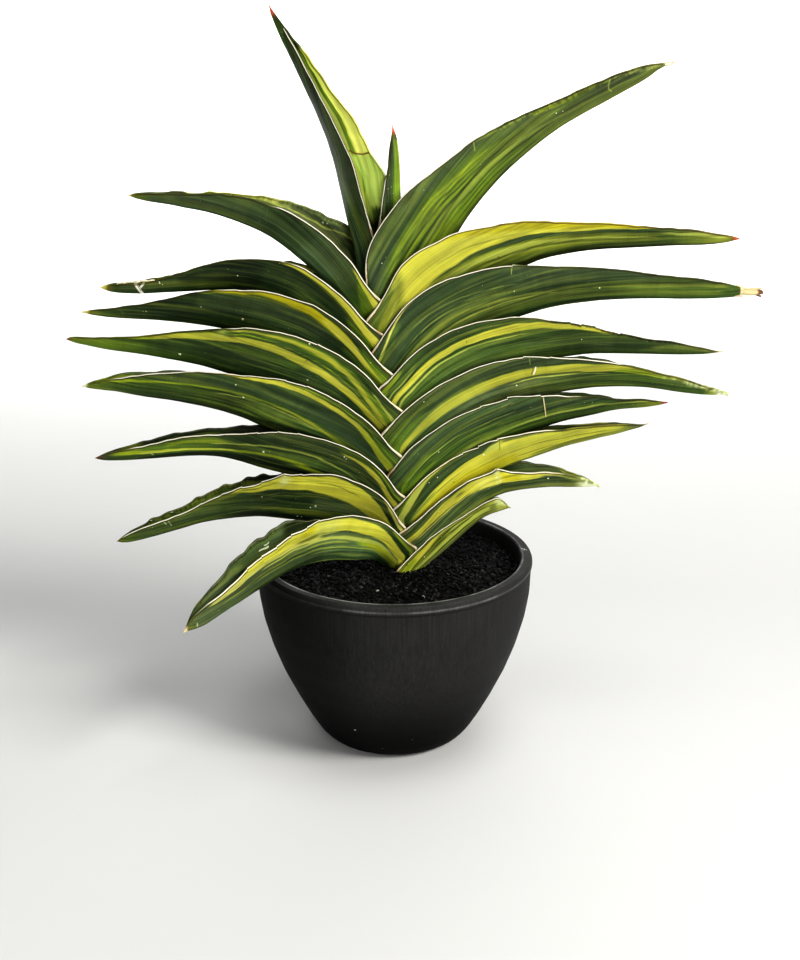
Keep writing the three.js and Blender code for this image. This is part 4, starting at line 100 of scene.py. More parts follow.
  keel=[(-216.1,0,261.8),(-213.6,0,261.1),(-209.8,0,260.4),(-205.3,0,259.8),(-199.6,0,259.1),(-194.2,0,258.5),(-189,0,257.6),(-183.6,0,256.5),(-177.8,0,255.4),(-171.9,0,254.4),(-166,0,253.6),(-160.2,0,252.8),(-154.9,0,252),(-149.7,0,251),(-144.2,0,249.9),(-138.7,0,248.8),(-133.4,0,247.7),(-128.3,0,246.4),(-123.2,0,245.1),(-118.4,0,243.7),(-113.6,0,242.1),(-109.1,0,240.6),(-104.9,0,239),(-101.3,0,237.4),(-97.7,0,235.6),(-93.4,0,233.6),(-88.7,0,231.4),(-83.9,0,229.4),(-79.1,0,227.5),(-74.2,0,225.6),(-69.3,0,223.9),(-64.4,0,222.1),(-59.5,0,220.4),(-54.6,0,218.6),(-49.7,0,216.8),(-44.9,0,214.8),(-40.1,0,212.7),(-35.5,0,210.3),(-31,0,207.7),(-26.7,0,204.8),(-22.6,0,201.6),(-18.7,0,198.1),(-16.5,0,195.7),(-14.3,0,193.3),(-12,0,190.3),(-9.8,0,187.3),(-7.7,0,184.2),(-5.7,0,180.9)],
  far=[(-216.2,0.5,262.5),(-213.8,1.1,263.4),(-210.1,1.8,264.7),(-205.8,2.5,265.7),(-200.1,3.2,267.3),(-194.4,3.9,268.7),(-188.8,4.7,269.7),(-183.3,5.5,270.2),(-177.7,6.4,270.5),(-172,7.1,270.6),(-166.2,7.7,270.7),(-160.4,8.3,270.8),(-154.5,8.9,270.7),(-148.6,9.5,270.4),(-142.8,10.1,269.7),(-136.8,10.6,268.8),(-130.8,11,268),(-124.8,11.4,267.1),(-118.7,11.8,266.2),(-112.7,12.4,265.2),(-106.7,12.9,264.3),(-100.7,13.6,263.6),(-94.7,14.3,262.8),(-88.6,15,261.8),(-82.6,15.7,260.8),(-76.6,16.2,259.4),(-70.6,16.6,257.7),(-64.6,16.8,255.9),(-58.5,17,254.2),(-52.6,17.2,252.7),(-46.7,17.3,251.1),(-40.9,17.5,249.4),(-35.4,17.7,247.5),(-30.1,17.9,245.3),(-25.1,18.2,242.9),(-20.3,18.6,240.2),(-15.7,19.1,237.3),(-11.4,19.5,233.8),(-7.5,20,229.8),(-3.8,20.4,225.3),(0.4,20.7,221),(4.8,21,216.9),(7.9,19.8,212.4),(9.9,17.9,207.5),(11,15.3,201.6),(11.4,12.5,195.7),(11.5,9.8,190),(11.5,7,183.9)]),
 dict(name='leaf_right_5', side=1, length=261.4,
  near=[(232.5,-0.4,256.8),(229.4,-0.9,258.1),(225.1,-1.6,259.8),(220.1,-2.1,261.2),(213.9,-2.8,263.3),(207.9,-3.5,265.6),(201.8,-4.1,267.9),(195.5,-4.5,269.8),(189.1,-4.7,271.2),(182.8,-4.8,272.6),(176.4,-5.2,274.1),(170.1,-5.6,275.8),(163.8,-6.2,277.4),(157.4,-6.7,278.8),(151.1,-7.3,280.1),(144.6,-7.8,281.2),(138.2,-8.3,282.1),(131.7,-8.9,282.9),(125.3,-9.5,283.6),(118.8,-10,283.8),(112.3,-10.7,284.5),(105.8,-11.5,285),(99.3,-12.2,285.2),(92.8,-12.9,285.4),(86.3,-13.5,285.2),(79.9,-13.9,284.2),(73.5,-14.4,283.1),(67.1,-14.9,281.9),(60.8,-15.3,280.2),(54.6,-15.8,278.1),(48.6,-16.2,275.6),(42.7,-16.6,272.8),(36.9,-17.1,269.9),(31,-17.6,267),(25.5,-18.1,263.7),(20.1,-18.6,260),(14.9,-19.1,256.1),(9.9,-19.6,251.9),(5.1,-20,247.5),(0.5,-20.4,242.8),(-3.8,-20.7,238),(-8,-21,233),(-10.7,-19.7,228),(-10.9,-17.7,222.5),(-9.7,-15.1,216.3),(-8,-12.4,210.3),(-6.6,-9.8,204.4),(-6,-7,198)],
  keel=[(232.4,0,256.1),(229.3,0,256),(224.9,0,255.8),(219.8,0,255.9),(213.3,0,256.3),(206.9,0,256.9),(200.4,0,257.7),(193.9,0,258.6),(187.4,0,259.7),(181.2,0,260.6),(175.3,0,261.3),(169.4,0,261.7),(163.4,0,261.9),(157.4,0,262),(151.5,0,261.9),(145.6,0,261.7),(139.8,0,261.4),(134.2,0,260.8),(128.6,0,260.1),(123.3,0,259.3),(118.1,0,258.4),(112.8,0,257.4),(107.9,0,256.4),(103.1,0,255.4),(98.3,0,254.4),(93.6,0,253.3),(88.9,0,252.1),(84.2,0,250.8),(79.5,0,249.4),(74.9,0,247.9),(70.3,0,246.2),(65.8,0,244.4),(61.3,0,242.4),(57,0,240.2),(52.7,0,237.8),(48.6,0,235.3),(44.5,0,232.5),(40.7,0,229.5),(37,0,226.4),(33.4,0,223),(30,0,219.5),(26.8,0,215.9),(24.4,0,212.9),(22,0,209.9),(19.4,0,206.3),(17,0,202.6),(14.7,0,198.9),(12.3,0,195)],
  far=[(232.5,0.5,256.8),(229.9,1,257.6),(225.9,1.5,258.9),(221.2,2.1,259.9),(215.4,2.8,261.5),(209.6,3.5,263.4),(203.7,4.1,265.2),(197.6,4.5,266.9),(191.2,4.7,268.4),(184.9,4.8,269.9),(178.6,5.2,271.5),(172.4,5.6,273.1),(166.2,6.2,274.6),(159.9,6.7,275.9),(153.6,7.3,277.5),(147.2,7.8,279),(140.8,8.3,279.9),(134.4,8.9,280.6),(128,9.5,280.7),(121.5,10,280.2),(115.1,10.7,279.8),(108.7,11.5,278.9),(102.2,12.2,278.2),(95.7,12.9,277.9),(89.1,13.5,277.2),(82.5,13.9,275.8),(76,14.4,274.3),(69.4,14.9,273),(62.8,15.3,271.6),(56.3,15.8,269.9),(50,16.2,268.1),(43.8,16.6,266),(37.6,17.1,264.1),(31.6,17.6,262.3),(25.8,18.1,260),(20.2,18.6,257.4),(14.9,19.1,254.5),(9.9,19.6,251.1),(5.1,20,247.3),(0.5,20.4,242.8),(-3.8,20.7,238),(-8,21,233),(-10.7,19.7,228),(-10.9,17.7,222.5),(-9.7,15.1,216.3),(-8,12.4,210.3),(-6.6,9.8,204.4),(-6,7,198)]),
 dict(name='leaf_left_5', side=-1, length=251.3,
  near=[(-224.4,-0.4,295.7),(-221.5,-1.1,296.9),(-217.1,-1.8,297.1),(-212.1,-2.2,296.9),(-205.8,-2.8,296.8),(-199.6,-3.4,297.1),(-193.3,-4,297.5),(-187.1,-4.4,297.7),(-180.8,-4.8,298),(-174.5,-5.3,298.3),(-168.3,-6,299),(-162.2,-6.8,300),(-156,-7.6,301),(-149.8,-8.4,301.7),(-143.6,-9.1,302.3),(-137.4,-9.8,302.8),(-131.2,-10.5,303.4),(-125,-11.4,304),(-118.8,-12.3,304.8),(-112.6,-13.2,305.2),(-106.4,-14.1,305.5),(-100.2,-14.9,305.7),(-93.9,-15.6,305.5),(-87.7,-16.1,305),(-81.5,-16.4,304),(-75.4,-16.6,302.8),(-69.2,-16.8,301.4),(-63.3,-16.9,299.3),(-57.3,-17,297.3),(-51.5,-17.1,295),(-45.8,-17.2,292.5),(-40.2,-17.4,289.6),(-34.8,-17.6,286.4),(-29.5,-17.9,282.9),(-24.5,-18.3,279.2),(-19.7,-18.7,275.2),(-15.4,-19.1,270.7),(-11.5,-19.6,265.7),(-7.5,-20,260.9),(-3,-20.4,256.5),(1.7,-20.7,252.4),(6.5,-21,248.3),(9.8,-19.8,243.7),(11.1,-17.8,238.4),(11.1,-15.2,232.1),(10.4,-12.4,225.8),(9.7,-9.8,219.8),(9.4,-7,213.3)],
  keel=[(-224.5,0,295),(-222,0,293.9),(-218,0,292.5),(-213.3,0,291.5),(-207.3,0,290.1),(-201.1,0,288.8),(-194.9,0,287.7),(-188.5,0,286.8),(-182.4,0,286),(-176.5,0,285.2),(-170.9,0,284.3),(-165.2,0,283.3),(-159.4,0,282.2),(-153.6,0,281.1),(-148,0,280.1),(-142.5,0,278.9),(-137.2,0,277.8),(-132.2,0,276.6),(-127.7,0,275.3),(-123.4,0,273.9),(-118.7,0,272.4),(-113.9,0,270.9),(-109.2,0,269.4),(-104.4,0,267.9),(-99.7,0,266.6),(-94.9,0,265.2),(-90.2,0,263.8),(-85.4,0,262.4),(-80.7,0,261),(-76,0,259.6),(-71.3,0,258.1),(-66.6,0,256.5),(-62,0,254.8),(-57.4,0,253),(-52.8,0,251),(-48.4,0,248.9),(-44,0,246.5),(-39.8,0,244),(-35.7,0,241.2),(-31.8,0,238.2),(-28.1,0,234.9),(-24.5,0,231.5),(-21.8,0,228.6),(-19.2,0,225.6),(-16.4,0,221.9),(-13.7,0,218.2),(-11.3,0,214.4),(-8.8,0,210.3)],
  far=[(-224.4,0.5,295.7),(-222.1,1.1,296.2),(-218,1.8,296),(-213.3,2.2,295.4),(-207.3,2.8,294.8),(-201.3,3.4,294.6),(-195.3,4,294.6),(-189.2,4.4,294.6),(-183.1,4.9,294.5),(-176.9,5.3,294.5),(-170.9,6,294.8),(-165,6.8,295.4),(-159.1,7.6,296),(-153.1,8.4,296.5),(-147,9.1,296.7),(-140.8,9.8,296.9),(-134.7,10.5,297.2),(-128.6,11.4,297.5),(-122.6,12.3,297.9),(-116.5,13.2,297.9),(-110.3,14.1,297.8),(-104.1,14.9,297.6),(-97.7,15.6,297.2),(-91.4,16.1,296.4),(-85,16.4,295.2),(-78.6,16.6,293.8),(-72.3,16.8,292.2),(-66,16.9,290.3),(-59.7,17,288.6),(-53.5,17.1,286.9),(-47.4,17.2,285.1),(-41.4,17.4,283.1),(-35.7,17.6,280.9),(-30.2,17.9,278.4),(-24.9,18.3,275.7),(-20,18.7,272.7),(-15.5,19.1,269.1),(-11.5,19.6,265),(-7.5,20,260.7),(-3,20.4,256.5),(1.7,20.7,252.4),(6.5,21,248.3),(9.8,19.8,243.7),(11.1,17.8,238.4),(11.1,15.2,232.1),(10.4,12.4,225.8),(9.7,9.8,219.8),(9.4,7,213.3)]),
 dict(name='leaf_right_6', side=1, length=254,
  near=[(225.9,-0.4,286.8),(222.6,-0.9,287.1),(218.1,-1.1,288),(213.2,-1.7,289.2),(207,-2.3,290.5),(200.9,-2.9,291.9),(194.7,-3.5,293.3),(188.5,-3.9,294.5),(182.2,-4.1,295.1),(175.8,-4.3,295.7),(169.6,-4.7,296.8),(163.5,-5.2,298.3),(157.3,-5.8,299.7),(151.1,-6.3,301),(145,-6.8,302.5),(138.8,-7.5,304),(132.7,-8.2,305.6),(126.6,-9.1,307.1),(120.4,-9.8,308.3),(114.2,-10.5,309.1),(107.9,-11.3,310),(101.8,-12.2,311.2),(95.6,-13.1,312.4),(89.3,-13.8,313.1),(83,-14.4,313.2),(76.7,-14.9,312.8),(70.4,-15.3,312.1),(64.1,-15.7,311.2),(57.8,-16.1,310.2),(51.7,-16.5,308.9),(45.6,-16.8,307),(39.7,-17.1,304.8),(33.9,-17.5,302.1),(28.4,-17.9,299.1),(23,-18.3,295.8),(17.7,-18.7,292.3),(12.7,-19.2,288.3),(8.1,-19.6,284),(3.9,-20,279.3),(-0.3,-20.4,274.5),(-4.7,-20.7,270),(-9.5,-21,265.7),(-12.4,-19.7,260.9),(-13.1,-17.8,255.5),(-12.4,-15.2,249.2),(-11.2,-12.4,243.1),(-10.1,-9.8,237.2),(-9.6,-7,230.7)],
  keel=[(225.8,0,286.1),(222.7,0,286),(218.3,0,285.4),(213.4,0,284.9),(207.2,0,284.7),(200.9,0,284.6),(194.6,0,284.6),(188.3,0,284.7),(182,0,284.8),(175.7,0,285),(169.4,0,285.1),(163.3,0,285.2),(157.1,0,285.3),(151,0,285.4),(145,0,285.4),(139.5,0,285.4),(134.3,0,285.1),(129.5,0,284.7),(124.5,0,284),(119.6,0,283.4),(114.8,0,282.7),(110.2,0,282.1),(105.6,0,281.5),(101,0,280.8),(96.4,0,280.1),(91.8,0,279.3),(87.3,0,278.5),(82.7,0,277.6),(78.2,0,276.6),(73.6,0,275.5),(69.1,0,274.3),(64.7,0,273),(60.3,0,271.5),(56,0,269.8),(51.7,0,267.9),(47.5,0,265.9),(43.4,0,263.6),(39.5,0,261.2),(35.7,0,258.5),(32,0,255.6),(28.6,0,252.6),(25.2,0,249.3),(22.5,0,246.4),(19.9,0,243.3),(17,0,239.6),(14.2,0,235.7),(11.7,0,231.9),(9.3,0,227.7)],
  far=[(225.9,0.5,286.8),(223,0.9,286.6),(218.7,1.1,287.2),(214.1,1.7,287.9),(208.2,2.3,288.6),(202.3,2.9,289.5),(196.4,3.5,290.6),(190.3,3.9,291.5),(184,4.1,291.9),(177.7,4.3,292.3),(171.6,4.7,293.1),(165.6,5.2,294.3),(159.5,5.8,295.5),(153.4,6.3,296.6),(147.4,6.8,297.9),(141.3,7.5,299.1),(135.3,8.2,300.4),(129.4,9.1,301.6),(123.3,9.8,302.5),(117,10.5,303),(110.8,11.3,303.6),(104.7,12.2,304.5),(98.6,13.1,305.3),(92.2,13.8,305.7),(85.8,14.4,305.6),(79.4,14.9,305),(72.9,15.3,304),(66.4,15.7,303.1),(59.8,16.1,302.4),(53.3,16.5,301.5),(46.9,16.8,300.2),(40.7,17.1,298.7),(34.6,17.5,297),(28.8,17.9,294.9),(23.2,18.3,292.5),(17.8,18.7,290),(12.8,19.2,286.9),(8.1,19.6,283.3),(3.9,20,279.1),(-0.3,20.4,274.5),(-4.7,20.7,270),(-9.5,21,265.7),(-12.4,19.7,260.9),(-13.1,17.8,255.5),(-12.4,15.2,249.2),(-11.2,12.4,243.1),(-10.1,9.8,237.2),(-9.6,7,230.7)]),
 dict(name='leaf_left_6', side=-1, length=233.3,
  near=[(-212.6,-0.4,314.4),(-209.7,-0.9,314.9),(-205.6,-1.3,315.6),(-201,-1.8,316.1),(-195.2,-2.4,316.7),(-189.4,-2.9,317.4),(-183.6,-3.3,318.1),(-177.9,-3.8,318.9),(-172.1,-4.2,319.7),(-166.4,-4.8,320.9),(-160.8,-5.5,322.2),(-155.2,-6.2,323.6),(-149.6,-7,325),(-144,-7.8,326.4),(-138.4,-8.6,327.7),(-132.7,-9.3,328.9),(-127,-10,329.8),(-121.2,-10.7,330.6),(-115.5,-11.3,331.1),(-109.7,-11.8,331.3),(-103.8,-12.3,331.3),(-98,-12.7,331.1),(-92.2,-13.2,330.8),(-86.4,-13.6,330.3),(-80.7,-14,329.5),(-75,-14.3,328.3),(-69.4,-14.5,326.6),(-63.9,-14.7,324.6),(-58.4,-15.1,322.8),(-53,-15.5,320.7),(-47.8,-15.9,318),(-42.8,-16.3,315.1),(-38,-16.8,311.7),(-33.4,-17.3,308.2),(-29,-17.8,304.5),(-24.8,-18.4,300.5),(-20.8,-19,296.2),(-17.1,-19.5,291.7),(-13.5,-20,287.2),(-9.6,-20.4,282.9),(-5.4,-20.7,278.9),(-1,-21,275),(2.4,-19.8,270.5),(4.5,-17.9,265.5),(5.7,-15.3,259.4),(6.2,-12.5,253.3),(6.2,-9.8,247.3),(6.2,-7,241)],
  keel=[(-212.7,0,313.7),(-210,0,313.2),(-206.1,0,312.2),(-201.6,0,311.5),(-195.9,0,310.7),(-190,0,310.2),(-184.2,0,309.8),(-178.4,0,309.5),(-172.7,0,309.2),(-167.3,0,308.9),(-161.9,0,308.6),(-156.6,0,308.1),(-151.3,0,307.6),(-146.1,0,307.1),(-141,0,306.5),(-135.8,0,305.8),(-130.7,0,305.1),(-125.8,0,304.3),(-121,0,303.4),(-116,0,302.5),(-111.1,0,301.5),(-106.6,0,300.6),(-102.1,0,299.6),(-97.6,0,298.6),(-93.2,0,297.4),(-88.7,0,296.3),(-84.3,0,295),(-79.9,0,293.6),(-75.5,0,292.2),(-71.2,0,290.6),(-67,0,288.8),(-62.8,0,287),(-58.6,0,284.9),(-54.6,0,282.7),(-50.7,0,280.4),(-46.8,0,277.8),(-43.1,0,275.1),(-39.5,0,272.3),(-36.1,0,269.2),(-32.8,0,266),(-29.6,0,262.7),(-26.6,0,259.2),(-24.1,0,256.2),(-21.8,0,253.1),(-19.1,0,249.5),(-16.6,0,245.7),(-14.3,0,242),(-11.9,0,238)],
  far=[(-212.6,0.5,314.4),(-210.1,0.9,314.4),(-206.3,1.3,314.7),(-201.9,1.8,314.8),(-196.4,2.4,314.9),(-190.8,2.9,315.2),(-185.2,3.3,315.6),(-179.6,3.8,316.1),(-174,4.2,316.6),(-168.5,4.8,317.4),(-163.1,5.5,318.5),(-157.7,6.2,319.6),(-152.3,7,320.7),(-146.8,7.8,321.8),(-141.4,8.6,322.9),(-135.9,9.3,323.8),(-130.2,10,324.5),(-124.6,10.7,325.1),(-118.8,11.3,325.4),(-113,11.8,325.3),(-107.1,12.3,325.2),(-101.3,12.7,324.8),(-95.4,13.2,324.3),(-89.5,13.6,323.6),(-83.6,14,322.6),(-77.8,14.3,321.2),(-72,14.5,319.4),(-66.4,14.8,317.4),(-60.6,15.1,315.7),(-54.9,15.5,314),(-49.3,15.9,311.9),(-44,16.3,309.6),(-39,16.8,307),(-34.1,17.3,304.3),(-29.5,17.8,301.4),(-25.1,18.4,298.3),(-21,18.9,294.8),(-17.2,19.5,291.1),(-13.5,20,287),(-9.6,20.4,282.9),(-5.4,20.7,278.9),(-1,21,275),(2.4,19.8,270.5),(4.5,17.9,265.5),(5.7,15.3,259.4),(6.2,12.5,253.3),(6.2,9.8,247.3),(6.2,7,241)]),
 dict(name='leaf_right_7', side=1, length=290.3,
  near=[(249.9,-0.4,330.9),(246.3,-1,331.2),(241.1,-1.7,331.1),(235.4,-2.3,330.9),(228.4,-3.4,332.8),(221.4,-4.2,334.3),(214.3,-4.9,335.7),(207.2,-5.5,337),(200,-5.9,337.9),(192.8,-6.1,338.4),(185.5,-6.3,339.2),(178.4,-6.7,340.2),(171.2,-7.2,341.3),(164.1,-7.7,342.4),(156.9,-8.1,343.3),(149.7,-8.5,344.1),(142.5,-8.9,344.6),(135.2,-9.4,345.2),(128,-9.9,345.7),(120.8,-10.5,346.2),(113.6,-11,346.5),(106.3,-11.6,346.8),(99.1,-12.4,347),(91.9,-13.3,347.4),(84.7,-14.2,347.5),(77.5,-15,347.5),(70.3,-15.7,347),(63.1,-16.2,346.3),(56,-16.6,344.9),(49,-17,343),(42.1,-17.3,341),(35.2,-17.7,338.8),(28.5,-18,335.8),(22.2,-18.3,332.3),(16.2,-18.6,328.3),(10.4,-18.9,323.9),(5.3,-19.3,318.8),(0.9,-19.6,313),(-3.3,-20,307.1),(-7.3,-20.4,301.1),(-11.3,-20.7,295),(-15.2,-21,288.9),(-17.2,-19.8,283.7),(-17.2,-17.8,278.2),(-16,-15.2,272.1),(-14.3,-12.5,266.1),(-13,-9.8,260.3),(-12.3,-7,253.9)],
  keel=[(250.1,0,330.2),(247,0,328.6),(242.2,0,327),(236.6,0,325.5),(229.3,0,324.3),(222,0,323.8),(214.7,0,323.4),(207.4,0,323.3),(200,0,323.2),(192.6,0,323.2),(185.3,0,323.4),(178.4,0,323.4),(171.5,0,323.4),(164.5,0,323.3),(157.6,0,323.1),(150.8,0,322.8),(144.1,0,322.4),(137.5,0,321.9),(130.9,0,321.1),(124.2,0,320.3),(117.7,0,319.4),(111.9,0,318.4),(106.3,0,317.2),(100.8,0,315.9),(95.3,0,314.1),(89.1,0,312.1),(82.8,0,310.1),(77.2,0,308.2),(72.2,0,306.4),(67.3,0,304.6),(62.4,0,302.6),(57.6,0,300.4),(53,0,298.1),(48.4,0,295.6),(43.9,0,292.9),(39.6,0,289.9),(35.4,0,286.8),(31.4,0,283.4),(27.6,0,279.7),(24.1,0,275.9),(20.7,0,271.9),(17.5,0,267.8),(15.7,0,265.4),(14,0,262.9),(12,0,259.9),(10.1,0,257),(8.4,0,254),(6.5,0,250.9)],
  far=[(249.9,0.5,330.9),(246.9,1,330.7),(242.1,1.7,330.3),(236.7,2.3,329.9),(230.3,3.4,331.1),(223.6,4.2,332.2),(216.8,4.9,333.3),(209.9,5.5,334.2),(202.8,5.9,334.8),(195.6,6.1,335.2),(188.4,6.3,335.8),(181.3,6.7,336.6),(174.2,7.2,337.5),(167.1,7.7,338.3),(160,8.1,339.1),(152.8,8.5,339.7),(145.5,8.9,340.1),(138.3,9.4,340.5),(131.1,9.9,340.9),(123.8,10.5,341.2),(116.6,11,341.3),(109.3,11.6,341.3),(102.1,12.4,341.3),(94.8,13.3,341.4),(87.6,14.2,341.2),(80.3,15,340.9),(72.9,15.7,340.1),(65.4,16.2,339.4),(58,16.6,338.1),(50.6,17,336.6),(43.3,17.3,335.2),(36.1,17.7,333.6),(29.1,18,331.4),(22.6,18.3,328.7),(16.4,18.6,325.5),(10.5,18.9,321.9),(5.3,19.3,317.6),(0.9,19.6,312.4),(-3.3,20,306.9),(-7.3,20.4,301.1),(-11.3,20.7,295),(-15.2,21,288.9),(-17.2,19.8,283.7),(-17.2,17.8,278.2),(-16,15.2,272.1),(-14.3,12.5,266.1),(-13,9.8,260.3),(-12.3,7,253.9)]),
 dict(name='leaf_left_7', side=-1, length=212.4,
  near=[(-198.4,-0.4,331.1),(-195.9,-1,332.1),(-192.3,-1.8,332.9),(-188.1,-2.3,333.3),(-182.8,-2.6,333.4),(-177.5,-2.7,333.5),(-172.2,-2.9,334),(-166.9,-3.2,334.9),(-161.8,-3.5,336),(-156.7,-4,337.5),(-151.6,-4.5,339),(-146.6,-5,340.6),(-141.5,-5.6,342.1),(-136.5,-6.1,343.7),(-131.5,-6.6,345.3),(-126.4,-7.1,346.8),(-121.3,-7.6,348.1),(-116.1,-8,349.2),(-110.9,-8.4,350.1),(-105.6,-8.8,350.6),(-100.3,-9.2,351),(-95,-9.6,351.2),(-89.7,-10.1,351.1),(-84.5,-10.6,350.9),(-79.2,-11.3,350.6),(-73.9,-11.9,350),(-68.8,-12.5,349.1),(-63.8,-13,347.2),(-59.1,-13.4,344.9),(-54.5,-13.9,342.2),(-50.1,-14.5,339.3),(-45.7,-15.2,336.4),(-41.5,-15.9,333.3),(-37.4,-16.6,330),(-33.4,-17.4,326.5),(-29.6,-18.1,322.9),(-26.1,-18.8,319),(-22.7,-19.4,315),(-19,-20,311.2),(-15,-20.4,307.7),(-10.8,-20.7,304.5),(-6.5,-21,301.5),(-2.5,-19.8,297.3),(0.1,-17.9,292.4),(1.8,-15.3,286.3),(2.6,-12.5,280),(2.9,-9.8,273.9),(3,-7,267.5)],
  keel=[(-198.4,0,330.4),(-196.3,0,329.5),(-193,0,328.2),(-188.8,0,327.5),(-183.2,0,327),(-177.6,0,326.8),(-172.1,0,326.7),(-166.6,0,326.9),(-161.4,0,327.2),(-156.2,0,327.5),(-151.1,0,327.7),(-146,0,328),(-140.8,0,328.2),(-135.8,0,328.5),(-130.8,0,328.8),(-126,0,329.1),(-121.6,0,329.2),(-117.4,0,329.3),(-113.3,0,329.2),(-109.1,0,329),(-105,0,328.6),(-100.8,0,328.2),(-96.7,0,327.6),(-92.6,0,326.8),(-88.6,0,325.9),(-84.5,0,324.9),(-80.5,0,323.7),(-76.6,0,322.3),(-72.8,0,320.8),(-69,0,319.1),(-65.2,0,317.2),(-61.6,0,315.2),(-58.1,0,313),(-54.6,0,310.7),(-51.3,0,308.2),(-48,0,305.6),(-44.9,0,302.8),(-41.9,0,300),(-38.9,0,297.1),(-36.1,0,294),(-33.4,0,290.9),(-30.7,0,287.7),(-28.2,0,284.3),(-25.7,0,281),(-22.9,0,276.9),(-20.2,0,272.8),(-17.7,0,268.8),(-15.1,0,264.5)],
  far=[(-198.4,0.5,331.1),(-196.4,1.1,331.9),(-193.1,1.8,332.7),(-189.1,2.3,333.2),(-183.8,2.6,333.7),(-178.6,2.7,334.1),(-173.3,2.9,334.9),(-168.1,3.2,335.8),(-163.1,3.6,336.6),(-158.2,4,337.3),(-153.3,4.5,337.6),(-148.5,5,338),(-143.6,5.6,339),(-138.6,6.1,340.2),(-133.7,6.6,341.4),(-128.7,7.1,342.6),(-123.6,7.6,343.8),(-118.5,8,344.8),(-113.3,8.4,345.5),(-108,8.8,346),(-102.7,9.2,346.3),(-97.4,9.6,346.3),(-92.1,10.1,346.1),(-86.8,10.6,345.8),(-81.5,11.3,345.2),(-76.3,11.9,344.4),(-71,12.5,343.3),(-66,13,341.4),(-61,13.4,339.1),(-56.2,13.9,336.7),(-51.6,14.5,334.2),(-47,15.2,331.7),(-42.5,15.9,329.2),(-38.1,16.6,326.6),(-34,17.4,323.9),(-29.9,18.1,321),(-26.3,18.8,317.8),(-22.8,19.4,314.4),(-19,20,311),(-15,20.4,307.7),(-10.8,20.7,304.5),(-6.5,21,301.5),(-2.5,19.8,297.3),(0.1,17.9,292.4),(1.8,15.3,286.3),(2.6,12.5,280),(2.9,9.8,273.9),(3,7,267.5)]),
 dict(name='leaf_right_8', side=1, length=275.9,
  near=[(230.9,-0.4,363.9),(227.6,-1,364.9),(222.8,-1.8,365.8),(217.3,-2.4,366.6),(210.6,-3.2,367.7),(203.8,-3.8,369),(197,-4.2,369.9),(190.1,-4.5,370.2),(183.2,-4.7,370.6),(176.3,-5,371.1),(169.5,-5.4,371.8),(162.7,-5.9,372.5),(155.8,-6.3,373.3),(149,-6.7,374),(142.1,-7.1,374.5),(135.2,-7.4,374.8),(128.3,-7.7,375),(121.4,-8.1,375.1),(114.6,-8.7,375.4),(107.7,-9.3,375.6),(100.8,-10,376),(94,-10.7,376.1),(87.1,-11.6,376.1),(80.3,-12.5,375.5),(73.5,-13.5,375),(66.7,-14.2,374.1),(60,-14.9,372.9),(53.2,-15.6,371.8),(46.5,-16.2,370.4),(39.8,-16.6,368.6),(33.4,-17,366.1),(27.2,-17.3,363.1),(21,-17.6,360.1),(15,-17.9,356.6),(9.6,-18.2,352.4),(4.6,-18.5,347.7),(0.8,-18.8,342),(-2.3,-19.2,335.8),(-5.5,-19.5,329.7),(-9.1,-19.9,323.8),(-13.1,-20.2,318.2),(-17.5,-20.5,312.9),(-19.7,-19.3,307.8),(-19.9,-17.5,302.3),(-18.8,-14.9,296.2),(-17.2,-12.3,290.1),(-16,-9.7,284.3),(-15.4,-7,277.9)],
  keel=[(230.9,0,363.1),(227.8,0,362.4),(223.3,0,361.3),(218.1,0,360.5),(211.2,-0,359.8),(204.2,-0,359.4),(197.2,-0,359.3),(190.4,-0,359.1),(183.7,-0,358.9),(177,-0,358.5),(170.2,0,358.2),(163.4,0,357.8),(156.5,0,357.5),(149.8,0,357.2),(143.2,0,356.9),(136.8,0,356.4),(130.5,0,355.8),(124.3,0,355),(118.2,0,354),(112.1,0,352.9),(106.4,0,351.8),(101.5,0,350.5),(97.4,0,349.2),(93.5,0,347.6),(89,0,345.7),(84.1,0,343.7),(79.2,0,341.6),(74.3,0,339.5),(69.5,0,337.3),(64.7,0,334.9),(60,0,332.5),(55.4,0,329.9),(50.8,0,327.1),(46.4,0,324.2),(42,0,321.1),(37.9,0,317.8),(33.8,0,314.3),(30,0,310.7),(26.3,0,306.8),(22.7,0,302.9),(19.4,0,298.7),(16.1,0,294.5),(14.1,0,291.7),(12.1,0,288.8),(9.9,0,285.4),(7.7,0,281.9),(5.6,0,278.5),(3.5,0,274.9)],
  far=[(230.9,0.5,363.9),(228.1,1,364.5),(223.7,1.8,365.1),(218.6,2.4,365.5),(212.2,3.2,366.2),(205.7,3.8,367.1),(199,4.2,367.7),(192.2,4.5,367.9),(185.3,4.7,368.1),(178.5,5,368.4),(171.8,5.5,368.9),(165,5.9,369.5),(158.2,6.3,370.1),(151.4,6.7,370.7),(144.5,7.1,371.1),(137.6,7.4,371.3),(130.7,7.7,371.4),(123.8,8.1,371.4),(116.9,8.7,371.5),(110.1,9.3,371.6),(103.2,10,371.7),(96.4,10.7,371.6),(89.5,11.6,371.4),(82.7,12.5,370.6),(75.8,13.4,369.8),(68.9,14.2,368.7),(62,14.9,367.3),(55,15.6,366.1),(48,16.2,364.8),(41.1,16.6,363.2),(34.4,17,361.1),(27.8,17.3,358.7),(21.4,17.6,356.3),(15.3,17.9,353.5),(9.7,18.2,350),(4.6,18.5,346),(0.8,18.8,340.9),(-2.4,19.2,335.3),(-5.5,19.5,329.6),(-9.1,19.9,323.8),(-13.1,20.2,318.2),(-17.5,20.5,312.9),(-19.7,19.3,307.8),(-19.9,17.5,302.3),(-18.8,14.9,296.2),(-17.2,12.3,290.1),(-16,9.7,284.3),(-15.4,7,277.9)]),
 dict(name='leaf_left_8', side=-1, length=192,
